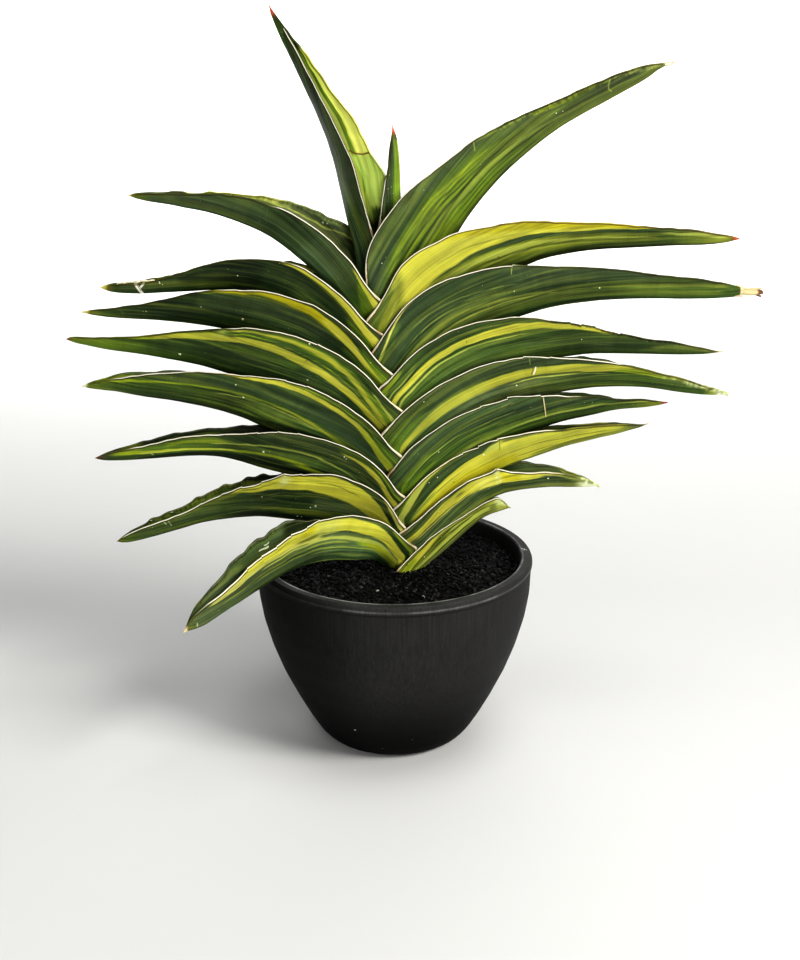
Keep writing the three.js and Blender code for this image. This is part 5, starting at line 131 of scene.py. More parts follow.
  near=[(-175.2,-0.4,392.3),(-172.8,-0.9,392.8),(-169.4,-1.3,393.1),(-165.6,-1.7,393.1),(-160.8,-2.1,393.1),(-156.1,-2.4,393.1),(-151.3,-2.7,393.1),(-146.5,-3,393.1),(-141.7,-3.4,393.1),(-136.9,-3.7,393.1),(-132.1,-4.1,393.2),(-127.3,-4.5,393.3),(-122.6,-4.9,393.3),(-117.8,-5.3,393.3),(-113,-5.7,392.8),(-108.3,-6,392.2),(-103.5,-6.5,391.7),(-98.8,-6.9,391),(-94.1,-7.2,390.1),(-89.4,-7.4,388.9),(-84.9,-7.6,387.4),(-80.4,-8,385.8),(-75.8,-8.5,384.4),(-71.4,-9,382.7),(-67,-9.6,380.8),(-62.9,-10.2,378.5),(-58.7,-10.9,376.1),(-54.7,-11.6,373.6),(-50.7,-12.3,371),(-46.9,-13,368.2),(-43.2,-13.7,365.2),(-39.8,-14.3,361.9),(-36.5,-15,358.5),(-33.2,-15.8,355.1),(-29.9,-16.5,351.6),(-27,-17.2,347.9),(-24.3,-17.9,344),(-21.7,-18.5,340),(-19,-19,336.1),(-15.9,-19.4,332.4),(-12.6,-19.7,328.9),(-9.2,-20,325.6),(-5.8,-18.9,321.1),(-3.4,-17.2,316.1),(-1.7,-14.8,310.1),(-0.7,-12.2,304),(-0.3,-9.6,298),(-0.2,-7,291.6)],
  keel=[(-175.3,0,391.6),(-173.2,0,390.9),(-170.2,0,389.8),(-166.5,0,388.9),(-161.8,-0,387.9),(-157,-0,387.2),(-152.3,-0,386.5),(-147.8,0,385.8),(-143.3,0,384.9),(-138.7,0,383.9),(-134,0,383.1),(-129.6,0,382.3),(-125.4,0,381.4),(-121.1,0,380.3),(-117,0,379.2),(-113.1,0,377.9),(-108.9,0,376.5),(-104.7,0,375),(-100.6,0,373.4),(-96.6,0,371.8),(-92.7,0,370.1),(-89.1,0,368.4),(-85.8,0,366.6),(-82.6,0,364.8),(-79.4,0,362.6),(-76.1,0,360.3),(-72.8,0,357.8),(-69.6,0,355.3),(-66.4,0,352.5),(-62.8,0,349.5),(-59.2,0,346.4),(-55.9,0,343.5),(-52.9,0,340.8),(-50.1,0,338.1),(-47.4,0,335.2),(-44.8,0,332.3),(-42.3,0,329.2),(-40,0,326.1),(-37.7,0,322.8),(-35.6,0,319.5),(-33.5,0,316.2),(-31.6,0,312.8),(-29.6,0,309.2),(-27.6,0,305.5),(-25.3,0,301.3),(-23,0,297),(-20.7,0,292.9),(-18.3,0,288.6)],
  far=[(-175.2,0.5,392.3),(-173.2,0.9,392.8),(-170,1.3,393.3),(-166.3,1.7,393.5),(-161.6,2.1,393.8),(-156.9,2.4,393.8),(-152.2,2.7,393.7),(-147.5,3,393.7),(-142.8,3.4,393.6),(-138.1,3.7,393.5),(-133.4,4.1,393.5),(-128.7,4.5,393.5),(-124,4.9,393.6),(-119.3,5.3,393.6),(-114.5,5.7,393.3),(-109.8,6,392.9),(-105.1,6.5,392.5),(-100.4,6.8,392.1),(-95.7,7.2,391.6),(-91,7.4,390.9),(-86.4,7.6,389.8),(-81.8,8,388.7),(-77.3,8.5,388),(-72.8,9,387.1),(-68.5,9.6,386.2),(-64.3,10.2,385),(-60.1,10.9,383.6),(-56.1,11.6,382.1),(-52.1,12.3,380.3),(-48.2,13,378.4),(-44.5,13.7,376.2),(-41,14.3,373.6),(-37.7,15.1,370.5),(-34.3,15.8,366.8),(-30.8,16.5,362.5),(-27.7,17.2,357.4),(-24.8,17.9,351.4),(-22,18.5,345.1),(-19.2,19,339.2),(-16,19.4,333.9),(-12.7,19.7,329.3),(-9.2,20,325.6),(-5.8,18.9,321.1),(-3.4,17.2,316.1),(-1.7,14.8,310.1),(-0.7,12.2,304),(-0.3,9.6,298),(-0.2,7,291.6)]),
 dict(name='leaf_right_9', side=1, length=258,
  near=[(179.4,-0.4,477),(176.3,-0.9,476),(171.8,-1.1,474.9),(166.7,-1.9,474.3),(160.5,-3,473.2),(154.3,-3.8,471.6),(148.1,-4.4,469.8),(142,-4.8,467.7),(136,-5.2,465.4),(130,-5.5,463.1),(124.1,-5.6,460.5),(118.2,-5.8,457.9),(112.3,-6,455.2),(106.4,-6.4,452.7),(100.4,-6.8,450.3),(94.5,-7.3,447.9),(88.5,-8,445.6),(82.6,-8.6,443.1),(76.7,-9.2,440.4),(70.9,-9.9,437.8),(65.1,-10.6,435.1),(59.3,-11.4,432.3),(53.7,-12,429.2),(48.4,-12.5,425.6),(43.2,-13,421.7),(38.1,-13.5,417.8),(33,-14.1,414),(27.8,-14.6,410.2),(22.7,-15.2,406.3),(17.5,-15.7,402.5),(12.4,-16.2,398.5),(7.6,-16.5,394.2),(3.2,-16.8,389.6),(-0.9,-17,384.6),(-4.7,-17.2,379.4),(-8.4,-17.4,374.1),(-11.9,-17.6,368.7),(-14.9,-17.9,363),(-17,-18.1,356.9),(-18.2,-18.4,350.6),(-18.5,-18.7,344.2),(-18.2,-19,337.7),(-18.5,-18,332.3),(-18.7,-16.5,326.9),(-18.7,-14.3,320.8),(-18.7,-11.8,314.8),(-18.7,-9.4,309),(-18.7,-7,302.7)],
  keel=[(179.7,0,476.3),(177,-0,475),(173.3,0,472.7),(169.3,0,470.5),(164.6,0,466.9),(159.1,0,463.4),(153.4,0,460.2),(147.8,0,457.2),(142.1,0,454.1),(136.4,0,451),(130.7,0,448),(125.2,0,445.1),(119.8,0,442.1),(114.6,-0,439.1),(109.6,-0,436.1),(104.9,-0,432.9),(100.3,-0,429.6),(95.9,-0,426.2),(91.4,-0,422.6),(87,-0,418.9),(82.7,-0,415.2),(78.5,0,411.5),(74.5,0,407.7),(70.7,0,403.9),(67,0,400),(63.5,0,396),(59.9,0,391.8),(56.6,0,387.7),(53.4,0,383.5),(50.4,0,379.4),(47.6,0,375.3),(45,0,371.1),(42.2,0,366.6),(38.9,0,361.4),(35.6,0,356.1),(32.2,0,350.9),(28.7,0,345.6),(25.3,0,340.3),(21.9,0,335.1),(18.5,0,329.8),(15.1,0,324.5),(11.8,0,319.2),(10,0,316.3),(8.3,0,313.4),(6.2,0,310),(4.2,0,306.6),(2.3,0,303.3),(0.2,0,299.7)],
  far=[(179.4,0.5,477),(176.6,0.9,475.9),(172.2,1.1,474.8),(167.5,1.9,474),(161.6,3,472.6),(155.7,3.8,470.9),(149.7,4.4,468.9),(143.7,4.8,466.6),(137.7,5.2,464.2),(131.7,5.5,461.7),(125.8,5.6,459),(119.9,5.8,456.3),(114,6.1,453.5),(108,6.4,450.9),(102.1,6.8,448.4),(96.1,7.3,445.9),(90.2,8,443.4),(84.3,8.6,440.7),(78.4,9.2,437.9),(72.6,9.9,435),(66.7,10.6,432.2),(60.9,11.4,429.2),(55.2,12,426),(49.7,12.5,422.2),(44.5,13,418.2),(39.3,13.5,414.1),(34,14.1,410),(28.6,14.6,406.1),(23.3,15.2,402.3),(17.9,15.7,398.5),(12.7,16.2,394.8),(7.7,16.5,390.8),(3.2,16.8,386.6),(-0.9,17,382.1),(-4.8,17.2,377.5),(-8.5,17.4,372.8),(-11.9,17.6,367.8),(-14.9,17.9,362.5),(-17,18.1,356.8),(-18.2,18.4,350.6),(-18.5,18.7,344.2),(-18.2,19,337.7),(-18.5,18,332.3),(-18.7,16.5,326.9),(-18.7,14.3,320.8),(-18.7,11.8,314.8),(-18.7,9.4,309),(-18.7,7,302.7)]),
 dict(name='leaf_left_9', side=-1, length=158.7,
  near=[(-78.1,-0.4,509.1),(-77.7,0.3,507.9),(-76.2,0.6,505.7),(-74.4,0.9,503.2),(-72.3,1,499.9),(-70.3,0.5,496.4),(-68.2,-1.2,492.9),(-66.2,-2.8,489.4),(-64.2,-4,485.9),(-62.2,-5,482.5),(-60.3,-5.8,479),(-58.4,-6.4,475.5),(-56.5,-7,472),(-54.6,-7.7,468.5),(-52.7,-8.4,465),(-50.9,-9,461.5),(-49.1,-9.7,458),(-47.3,-10.7,454.5),(-45.4,-11.6,451.1),(-43.6,-12.5,447.6),(-41.7,-13.1,444.2),(-39.9,-13.7,440.7),(-38.2,-14.2,437.2),(-36.4,-14.6,433.8),(-34.6,-14.8,430.3),(-32.9,-15,426.8),(-31.3,-15,423.3),(-29.7,-15.4,419.8),(-28.1,-16.2,416.3),(-26.8,-17.4,412.7),(-25.5,-18.7,409.1),(-24.3,-19.4,405.4),(-23.3,-19,401.6),(-22.3,-18.3,397.8),(-21.3,-17.3,393.9),(-20.3,-15.9,389.9),(-19.3,-14.6,386),(-18.3,-13.3,382),(-17.2,-12.1,378),(-16.1,-11.4,374.1),(-14.9,-11.1,370.3),(-13.9,-11.2,367.3),(-12.3,-12.1,362.4),(-10.6,-12.1,357.4),(-8.8,-11.4,351.6),(-7.3,-10.1,345.8),(-6.5,-8.6,340.1),(-6.1,-7,334)],
  keel=[(-78.7,0.1,508.8),(-78.4,0.3,507.6),(-78,0.6,505),(-77,0.9,502.1),(-75.6,1.1,498.4),(-74.1,1.4,494.8),(-72.5,1.7,491),(-70.9,2.1,487.4),(-69.1,2.5,483.8),(-67.4,2.8,480.2),(-65.7,3.1,476.7),(-64,3.3,473.1),(-62.4,3.6,469.5),(-60.7,3.9,465.9),(-59,4.1,462.3),(-57.4,4.4,458.7),(-55.7,4.7,455),(-54,5,451.5),(-52.3,5.4,447.9),(-50.8,5.8,444.4),(-49.4,6.1,440.9),(-47.9,6.4,437.2),(-46.5,6.6,433.6),(-45.1,6.8,430.1),(-43.9,7,426.7),(-42.8,7.1,423.2),(-41.7,7.2,419.4),(-40.6,7.4,415.8),(-39.7,7.8,412.3),(-38.8,8.4,408.7),(-38,8.9,405),(-37.2,9.2,401.2),(-36.4,9.1,397.4),(-35.6,8.9,393.7),(-34.8,8.5,389.9),(-34,8.1,386.1),(-33.2,7.7,382.2),(-32.3,7.2,378.2),(-31.3,6.5,374.2),(-30.3,5.6,370.3),(-29.3,4.5,366.8),(-28.6,3.6,364.4),(-27.4,2.3,359.6),(-26.4,1.3,354.6),(-25.5,0.6,348.8),(-24.7,0.2,342.8),(-23.8,0,337.1),(-22.7,0,331)],
  far=[(-78.1,0.5,509.1),(-77.3,-0,507.8),(-75.8,-0,505.7),(-74,-0,503.2),(-71.7,-0,499.9),(-69.3,-0,496.4),(-66.6,-0,493),(-63.6,-0,489.5),(-60.5,-0,486),(-57.6,-0,482.5),(-54.9,-0,479),(-52.3,-0.1,475.5),(-49.8,-0.1,472),(-47.2,-0.1,468.5),(-44.6,-0.1,465),(-42.1,-0.1,461.4),(-39.4,-0.1,457.9),(-36.4,-0.1,454.3),(-33.4,-0.1,450.8),(-30.6,-0.1,447.2),(-28.1,-0.1,443.7),(-25.8,-0.1,440.2),(-23.5,-0.1,436.6),(-21.4,-0.1,433.1),(-19.6,-0.1,429.6),(-18.1,-0.1,426),(-16.6,-0.1,422.4),(-14.9,-0.1,418.8),(-12.6,-0.1,415.2),(-9.9,-0.1,411.4),(-7.1,-0.1,407.7),(-5.2,-0.1,403.8),(-4.8,-0.1,400),(-4.9,-0.1,396.1),(-5.2,-0.1,392.2),(-6,-0.1,388.3),(-6.7,-0.1,384.5),(-7.3,0.1,380.6),(-8.1,1.2,376.9),(-9,3.6,374.5),(-9.8,6.8,372.9),(-10.3,9.4,371.2),(-12.3,12.1,362.4),(-10.6,12.1,357.4),(-8.8,11.4,351.6),(-7.3,10.1,345.8),(-6.5,8.6,340.1),(-6.1,7,334)]),
 dict(name='leaf_centre', side=1, length=61.8,
  near=[(-1,-0.4,436.1),(-0.8,-0.9,435.5),(-0.9,-0.9,434.4),(-1,-0.9,433.1),(-1.1,-0.9,431.6),(-1.3,-1.1,430.1),(-1.3,-1.3,428.5),(-1.4,-1.5,427),(-1.6,-1.7,425.5),(-1.7,-1.8,424),(-1.9,-2,422.4),(-2.1,-2.1,420.9),(-2.3,-2.3,419.4),(-2.5,-2.4,417.8),(-2.7,-2.6,416.3),(-2.9,-2.7,414.8),(-3.1,-2.8,413.3),(-3.4,-3,411.8),(-3.7,-3.1,410.2),(-3.9,-3.2,408.7),(-4.2,-3.4,407.2),(-4.5,-3.5,405.7),(-4.8,-3.7,404.2),(-5.1,-3.9,402.7),(-5.4,-4,401.2),(-5.7,-4.2,399.7),(-5.9,-4.4,398.2),(-6.2,-4.6,396.7),(-6.5,-4.7,395.1),(-6.7,-4.9,393.6),(-7,-5.1,392.1),(-7.3,-5.2,390.6),(-7.5,-5.4,389.1),(-7.7,-5.5,387.6),(-7.9,-5.7,386),(-8.1,-5.8,384.5),(-8.3,-5.9,383),(-8.5,-6.1,381.5),(-8.7,-6.2,379.9),(-9,-6.3,378.4),(-9.2,-6.4,376.9),(-9.5,-6.5,375.4),(-10.5,-6.2,370.4),(-12.1,-5.9,365.5),(-14,-5.5,359.8),(-15.7,-5,354.1),(-16.9,-4.5,348.5),(-17.4,-4,342.4)],
  keel=[(-0.3,0,436.2),(-0.4,0,435.6),(-0,0,434.7),(0.4,0,433.7),(1,0,432.3),(1.5,0,430.9),(1.9,0,429.4),(2.3,0,427.8),(2.6,0,426.2),(2.8,0,424.6),(3,0,423),(3.2,0,421.5),(3.4,0,420),(3.5,0,418.4),(3.7,0,416.9),(3.8,0,415.3),(3.9,-0,413.7),(4,0,412.2),(4.1,-0,410.6),(4.1,-0,409.1),(4.2,-0,407.6),(4.3,0,406),(4.3,0,404.5),(4.4,0,403),(4.4,0,401.5),(4.5,-0,400),(4.5,-0,398.5),(4.6,-0,397),(4.6,-0,395.4),(4.6,-0,393.9),(4.7,-0,392.2),(4.7,-0,390.3),(4.7,0,388.5),(4.7,0,386.8),(4.7,0,385.2),(4.7,0,383.5),(4.6,0,381.8),(4.5,0,380.2),(4.4,0,378.5),(4.3,0,376.8),(4.1,0,375.2),(3.9,0,373.5),(2.9,0,368.1),(1.5,0,362.7),(-0.7,0,356.6),(-3.3,0,350.7),(-6.2,0,345.2),(-9.4,0,339.4)],
  far=[(-1,0.5,436.1),(-0.8,0.9,435.4),(-0.9,0.9,434.3),(-1,0.9,433),(-1.2,0.9,431.5),(-1.3,1.1,430),(-1.4,1.3,428.4),(-1.5,1.5,426.8),(-1.6,1.7,425.3),(-1.8,1.8,423.7),(-1.9,2,422.2),(-2.1,2.1,420.6),(-2.3,2.3,419.1),(-2.5,2.4,417.5),(-2.7,2.6,416),(-3,2.7,414.4),(-3.2,2.8,412.9),(-3.4,3,411.3),(-3.7,3.1,409.8),(-4,3.2,408.2),(-4.3,3.4,406.7),(-4.6,3.5,405.1),(-4.8,3.7,403.6),(-5.1,3.9,402),(-5.5,4,400.5),(-5.7,4.2,398.9),(-6,4.4,397.4),(-6.3,4.6,395.8),(-6.6,4.7,394.3),(-6.9,4.9,392.8),(-7.1,5.1,391.4),(-7.3,5.2,389.9),(-7.6,5.4,388.5),(-7.8,5.5,387.1),(-7.9,5.7,385.7),(-8.1,5.8,384.2),(-8.3,5.9,382.8),(-8.5,6.1,381.4),(-8.7,6.2,379.9),(-9,6.3,378.4),(-9.2,6.4,376.9),(-9.5,6.5,375.4),(-10.5,6.2,370.4),(-12.1,5.9,365.5),(-14,5.5,359.8),(-15.7,5,354.1),(-16.9,4.5,348.5),(-17.4,4,342.4)]),
]
STATION = [0, 0.4, 1, 1.44, 2, 2.38, 2.77, 3.12, 3.44, 3.75, 4.06, 4.33, 4.61, 4.89, 5.17, 5.44, 5.72, 6, 6.28, 6.56, 6.83, 7.11, 7.39, 7.67, 7.94, 8.22, 8.5, 8.78, 9.06, 9.33, 9.61, 9.89, 10.17, 10.44, 10.72, 11, 11.31, 11.62, 11.94, 12.29, 12.64, 13, 13.5, 14, 14.5, 15, 15.49, 16]
# ---------- leaf colours ----------
# q runs along a leaf from the tip (0) to where its front margin meets the next leaf (1); g runs across a flank from the keel (0) to the margin (1).
# A band is (colour, strength, softness, [(q, lower g, upper g), ...]); bands are laid on in order. Colours are sRGB, 0 to 255.
TONE = {
    "black": (11, 18, 8), "deep": (24, 38, 17), "dark": (38, 54, 25), "blue": (54, 72, 44), "slate": (60, 75, 46), "grey": (76, 87, 54),
    "green": (54, 76, 28), "fresh": (82, 104, 32), "leafy": (98, 124, 28), "lime": (140, 158, 32), "pale": (166, 174, 78), "yellow": (186, 182, 62),
    "gold": (168, 157, 14), "yolk": (166, 165, 56), "butter": (192, 188, 92), "olive": (98, 106, 28), "moss": (118, 126, 46), "cream": (240, 236, 220), "straw": (206, 188, 140),
    # painted_backlight is a lime at full brightness: painted light standing in for light shining through a leaf
    "brown": (104, 68, 34), "rust": (184, 84, 48), "maroon": (128, 56, 40), "ivory": (216, 222, 180), "painted_backlight": (250, 255, 124), "tint": (190, 218, 106),
}

PAINT = {
    "leaf_right_9": dict(
        base=[(0, "pale"), (0.02, "moss"), (0.045, "grey"), (0.3, "grey"), (0.6, "fresh"), (0.85, "green"), (1, "green")], tip=("ivory", 0.01),
        bands=[
            ("slate", 0.7, 0.08, [(0.5, 0.88, 1.05), (0.6, 0.78, 1.05), (0.8, 0.76, 1.05), (1, 0.72, 1.05), (1.2, 0.64, 1.05)]),
            ("pale", 0.55, 0.12, [(0.03, 0.35, 1.05), (0.07, 0.5, 1.05), (0.12, 0.8, 1.05), (0.2, 0.9, 1.0)]),
            ("dark", 0.4, 0.1, [(0.03, -0.1, 0.3), (0.1, -0.1, 0.36), (0.3, -0.1, 0.3), (0.45, -0.1, 0.24), (0.6, -0.1, 0.1)]), ("lime", 0.85, 0.05, [(0.16, 0.9, 1), (0.25, 0.76, 1), (0.3, 0.74, 0.98), (0.38, 0.84, 0.96)]),
            ("lime", 0.5, 0.02, [(0.4, 0.92, 0.98), (0.46, 0.9, 0.96), (0.53, 0.92, 0.97)]),
            ("leafy", 0.45, 0.04, [(0.22, 0.62, 0.76), (0.35, 0.6, 0.7), (0.5, 0.56, 0.66), (0.62, 0.54, 0.68), (0.8, 0.5, 0.68), (1.0, 0.5, 0.66)]),
            ("olive", 0.3, 0.08, [(0.05, -0.1, 0.5), (0.3, -0.1, 0.6), (0.5, -0.1, 0.66), (0.7, -0.1, 0.7), (0.9, -0.1, 0.66), (1.1, -0.1, 0.6)]),
            ("leafy", 0.42, 0.04, [(0.55, 0.06, 0.12), (0.7, 0.04, 0.26), (0.8, 0.04, 0.3), (0.9, 0.1, 0.32), (1.0, 0.1, 0.34)]),
            ("lime", 0.45, 0.02, [(0.58, 0.44, 0.47), (0.7, 0.42, 0.46), (0.85, 0.43, 0.48), (0.95, 0.46, 0.5)]),
            ("deep", 0.6, 0.015, [(0.5, 0.46, 0.485), (0.65, 0.46, 0.49), (0.8, 0.47, 0.5), (0.95, 0.49, 0.52)]),
            ("deep", 0.6, 0.015, [(0.45, 0.39, 0.42), (0.65, 0.38, 0.41), (0.8, 0.37, 0.405), (0.98, 0.38, 0.42)]),
            ("deep", 0.5, 0.015, [(0.55, 0.53, 0.55), (0.7, 0.535, 0.555), (0.9, 0.53, 0.55)]),
            ("deep", 0.6, 0.02, [(0.5, 0.02, 0.06), (0.7, 0.0, 0.05), (0.9, 0.02, 0.07)]),
            ("lime", 0.45, 0.014, [(0.5, 0.635, 0.65), (0.6, 0.62, 0.66), (0.75, 0.615, 0.655), (0.92, 0.6, 0.63)]),
            ("lime", 0.4, 0.014, [(0.56, 0.565, 0.58), (0.68, 0.56, 0.6), (0.82, 0.56, 0.59), (0.95, 0.56, 0.58)]),
            ("lime", 0.45, 0.02, [(0.62, 0.5, 0.52), (0.75, 0.49, 0.515), (0.88, 0.5, 0.52)]),
            ("pale", 0.38, 0.03, [(0.1, 0.42, 0.48), (0.25, 0.36, 0.44), (0.38, 0.33, 0.41), (0.5, 0.31, 0.4), (0.62, 0.29, 0.38), (0.75, 0.27, 0.37), (0.85, 0.25, 0.35), (1.0, 0.28, 0.34)]),
            ("deep", 0.5, 0.02, [(0.3, 0.27, 0.31), (0.5, 0.26, 0.29), (0.7, 0.24, 0.27)]),
            ("leafy", 0.42, 0.03, [(0.45, 0.16, 0.24), (0.6, 0.13, 0.24), (0.8, 0.1, 0.26), (1.0, 0.1, 0.24)]),
            ("lime", 0.22, 0.05, [(0.7, 0.2, 0.24), (0.8, 0.16, 0.27), (0.88, 0.14, 0.3), (1.0, 0.16, 0.28)]),
            ("deep", 0.55, 0.012, [(0.4, 0.18, 0.2), (0.6, 0.19, 0.21), (0.8, 0.18, 0.2)]),
            ("deep", 0.5, 0.012, [(0.4, 0.1, 0.125), (0.6, 0.11, 0.13), (0.85, 0.1, 0.12)]),
            ("blue", 0.7, 0.12, [(0.72, 0.84, 1.05), (0.84, 0.72, 1.05), (0.94, 0.62, 1.05), (1.2, 0.5, 1.05)]), ("dark", 0.45, 0.1, [(0.8, 0.84, 1.05), (0.9, 0.74, 1.05), (1.2, 0.6, 1.05)]),
            ("black", 0.6, 0.05, [(0.735, 0.9, 0.96), (0.755, 0.86, 0.94), (0.775, 0.88, 0.93)]),
        ],
        scars=[("pale", 0.55, 0.8, [(0.168, 0.88), (0.176, 0.7), (0.18, 0.5), (0.176, 0.32)]), ("pale", 0.6, 0.6, [(0.538, 0.98), (0.552, 0.8)])],
        specks=[(0.32, 0.55, 0.6), (0.31, 0.5, 0.5), (0.93, 0.75, 0.45)]),
    "leaf_right_8": dict(
        base=[(0, "olive"), (0.05, "moss"), (0.2, "green"), (0.5, "olive"), (1, "olive")], tip=("rust", 0.012),
        bands=[
            ("pale", 0.75, 0.1, [(0.03, 0.55, 1.05), (0.08, 0.62, 1.05), (0.14, 0.6, 1.0), (0.2, 0.7, 0.9)]),
            ("green", 0.7, 0.04, [(0.1, 0.86, 0.96), (0.16, 0.86, 0.97), (0.22, 0.84, 0.92)]),
            ("olive", 0.6, 0.05, [(0.2, 0.3, 0.7), (0.5, 0.16, 0.6), (1.0, 0.1, 0.55)]),
            ("yellow", 1, 0.02, [(0.2, 0.96, 1.05), (0.25, 0.86, 1.05), (0.33, 0.76, 1.05), (0.4, 0.7, 1.05), (0.5, 0.69, 1.05), (0.6, 0.62, 1.05), (0.7, 0.55, 1.05), (0.8, 0.48, 1.05), (0.9, 0.42, 1.05), (1.0, 0.4, 0.96), (1.2, 0.3, 0.8)]),
            ("gold", 0.85, 0.07, [(0.24, 0.88, 1.0), (0.38, 0.8, 1.0), (0.5, 0.8, 1.0), (0.62, 0.86, 0.99), (0.72, 0.92, 0.98)]),
            ("moss", 0.5, 0.02, [(0.56, 0.73, 0.75), (0.66, 0.7, 0.73), (0.78, 0.68, 0.7)]),
            ("dark", 0.95, 0.02, [(0.12, 0.8, 0.86), (0.2, 0.74, 0.84), (0.27, 0.68, 0.8), (0.35, 0.62, 0.74), (0.42, 0.58, 0.7), (0.5, 0.56, 0.68), (0.58, 0.53, 0.64), (0.66, 0.505, 0.59), (0.74, 0.49, 0.545), (0.84, 0.48, 0.5)]),
            ("slate", 0.5, 0.04, [(0.3, 0.64, 0.72), (0.5, 0.58, 0.66), (0.66, 0.53, 0.57)]),
            ("pale", 0.75, 0.03, [(0.2, 0.46, 0.5), (0.35, 0.43, 0.5), (0.5, 0.4, 0.5), (0.62, 0.36, 0.48), (0.72, 0.37, 0.46), (0.85, 0.36, 0.44), (1.0, 0.34, 0.42)]),
            ("pale", 0.5, 0.025, [(0.3, 0.3, 0.33), (0.5, 0.28, 0.32), (0.7, 0.27, 0.31)]),
            ("dark", 0.6, 0.015, [(0.3, 0.345, 0.37), (0.6, 0.33, 0.35), (0.8, 0.32, 0.34)]),
            ("dark", 0.6, 0.05, [(0.15, 0.14, 0.26), (0.4, 0.15, 0.22), (0.6, 0.12, 0.22), (1.0, 0.1, 0.2)]),
            # painted shade: near black along the keel, where the flank turns under
            ("black", 0.7, 0.05, [(0.05, -0.1, 0.1), (0.4, -0.1, 0.12), (1.0, -0.1, 0.14)]),
            ("olive", 0.75, 0.16, [(0.86, 0.9, 0.98), (0.92, 0.66, 0.98), (1.0, 0.4, 0.95), (1.1, 0.3, 0.9)]), ("green", 0.6, 0.03, [(0.9, 0.9, 1.0), (0.96, 0.84, 0.98), (1.05, 0.7, 0.9)]), ("pale", 0.5, 0.02, [(0.92, 0.76, 0.79), (0.98, 0.68, 0.71), (1.06, 0.56, 0.6)]),
                    ],
        scars=[], specks=[(0.64, 0.36, -0.6)]),
    "leaf_right_7": dict(
        base=[(0, "moss"), (0.06, "green"), (0.3, "green"), (0.5, "dark"), (1, "dark")], tip=("straw", 0.056),
        bands=[
            ("slate", 0.75, 0.06, [(0.24, 0.74, 1.05), (0.32, 0.62, 1.05), (0.5, 0.56, 1.05), (0.595, 0.5, 1.05), (0.62, 0.62, 1.05)]),
            ("blue", 0.5, 0.1, [(0.6, 0.6, 1.05), (0.8, 0.55, 1.05), (1, 0.5, 1.05)]),
            ("moss", 0.75, 0.07, [(0.08, 0.66, 0.95), (0.14, 0.62, 0.86), (0.2, 0.56, 0.74), (0.28, 0.45, 0.62), (0.36, 0.38, 0.46), (0.42, 0.38, 0.42)]),
            ("moss", 0.5, 0.03, [(0.16, 0.84, 0.92), (0.22, 0.76, 0.84), (0.28, 0.7, 0.74)]),
            ("moss", 0.5, 0.06, [(0.1, 0.2, 0.45), (0.4, 0.15, 0.36), (0.6, 0.12, 0.4), (0.8, 0.12, 0.45), (1.0, 0.14, 0.48)]),
            ("moss", 0.7, 0.02, [(0.42, 0.385, 0.4), (0.55, 0.37, 0.405), (0.7, 0.37, 0.42), (0.85, 0.38, 0.44), (1.0, 0.4, 0.46)]),
            ("pale", 0.8, 0.012, [(0.5, 0.345, 0.355), (0.62, 0.33, 0.35), (0.72, 0.295, 0.32), (0.82, 0.28, 0.3), (1.0, 0.3, 0.32)]),
            ("deep", 0.6, 0.02, [(0.56, 0.355, 0.37), (0.7, 0.325, 0.345), (0.9, 0.31, 0.33)]),
            ("pale", 0.45, 0.012, [(0.6, 0.5, 0.515), (0.75, 0.51, 0.525), (0.95, 0.54, 0.555)]),
            ("pale", 0.4, 0.012, [(0.6, 0.63, 0.64), (0.78, 0.645, 0.66), (0.95, 0.68, 0.69)]),
            ("moss", 0.4, 0.012, [(0.72, 0.575, 0.585), (0.85, 0.585, 0.6), (0.97, 0.61, 0.62)]),
            ("black", 0.5, 0.04, [(0.2, 0.96, 1.0), (0.26, 0.93, 1.0), (0.32, 0.95, 1.0)]),
            ("butter", 0.75, 0.015, [(0.84, 0.975, 0.99), (0.9, 0.945, 0.97), (0.95, 0.885, 0.92), (1.0, 0.8, 0.85), (1.15, 0.66, 0.72)]), ("leafy", 0.5, 0.03, [(0.9, 0.86, 0.93), (0.96, 0.78, 0.87), (1.05, 0.66, 0.78)]),
            # painted shade: near black along the keel, where the flank turns under
            ("black", 0.5, 0.03, [(0.1, -0.1, 0.05), (0.6, -0.1, 0.06), (1.0, -0.1, 0.06)]),
        ],
        scars=[("pale", 0.7, 0.6, [(0.598, 1.0), (0.602, 0.92), (0.605, 0.84)])], specks=[(0.39, 0.38, 0.7), (0.61, 0.5, 0.45)]),
    "leaf_right_6": dict(
        base=[(0, "moss"), (0.05, "green"), (0.3, "dark"), (0.6, "green"), (1, "green")], tip=("straw", 0.01),
        bands=[
            ("pale", 0.45, 0.12, [(0.03, 0.4, 1.05), (0.09, 0.5, 1.0), (0.14, 0.45, 0.75), (0.2, 0.35, 0.5)]),
            ("black", 0.55, 0.04, [(0.12, 0.86, 1.0), (0.16, 0.9, 1.0), (0.2, 0.88, 1.0), (0.26, 0.9, 1.0), (0.31, 0.94, 1.0)]),
            ("yellow", 1, 0.02, [(0.3, 0.96, 1.02), (0.34, 0.88, 0.99), (0.4, 0.84, 0.98), (0.45, 0.81, 0.97), (0.5, 0.775, 0.945), (0.55, 0.725, 0.885), (0.6, 0.68, 0.845), (0.7, 0.635, 0.765), (0.8, 0.63, 0.75), (0.9, 0.625, 0.73), (1.0, 0.58, 0.69), (1.15, 0.48, 0.6)]),
            ("lime", 0.5, 0.03, [(0.32, 0.86, 0.9), (0.42, 0.81, 0.85), (0.55, 0.735, 0.77), (0.65, 0.67, 0.69)]),
            ("moss", 0.7, 0.012, [(0.56, 0.9, 0.92), (0.68, 0.86, 0.885), (0.8, 0.85, 0.87), (0.92, 0.84, 0.855)]),
            ("dark", 0.6, 0.03, [(0.5, 0.93, 0.99), (0.6, 0.9, 0.97), (0.7, 0.88, 0.96), (0.85, 0.88, 0.97)]),
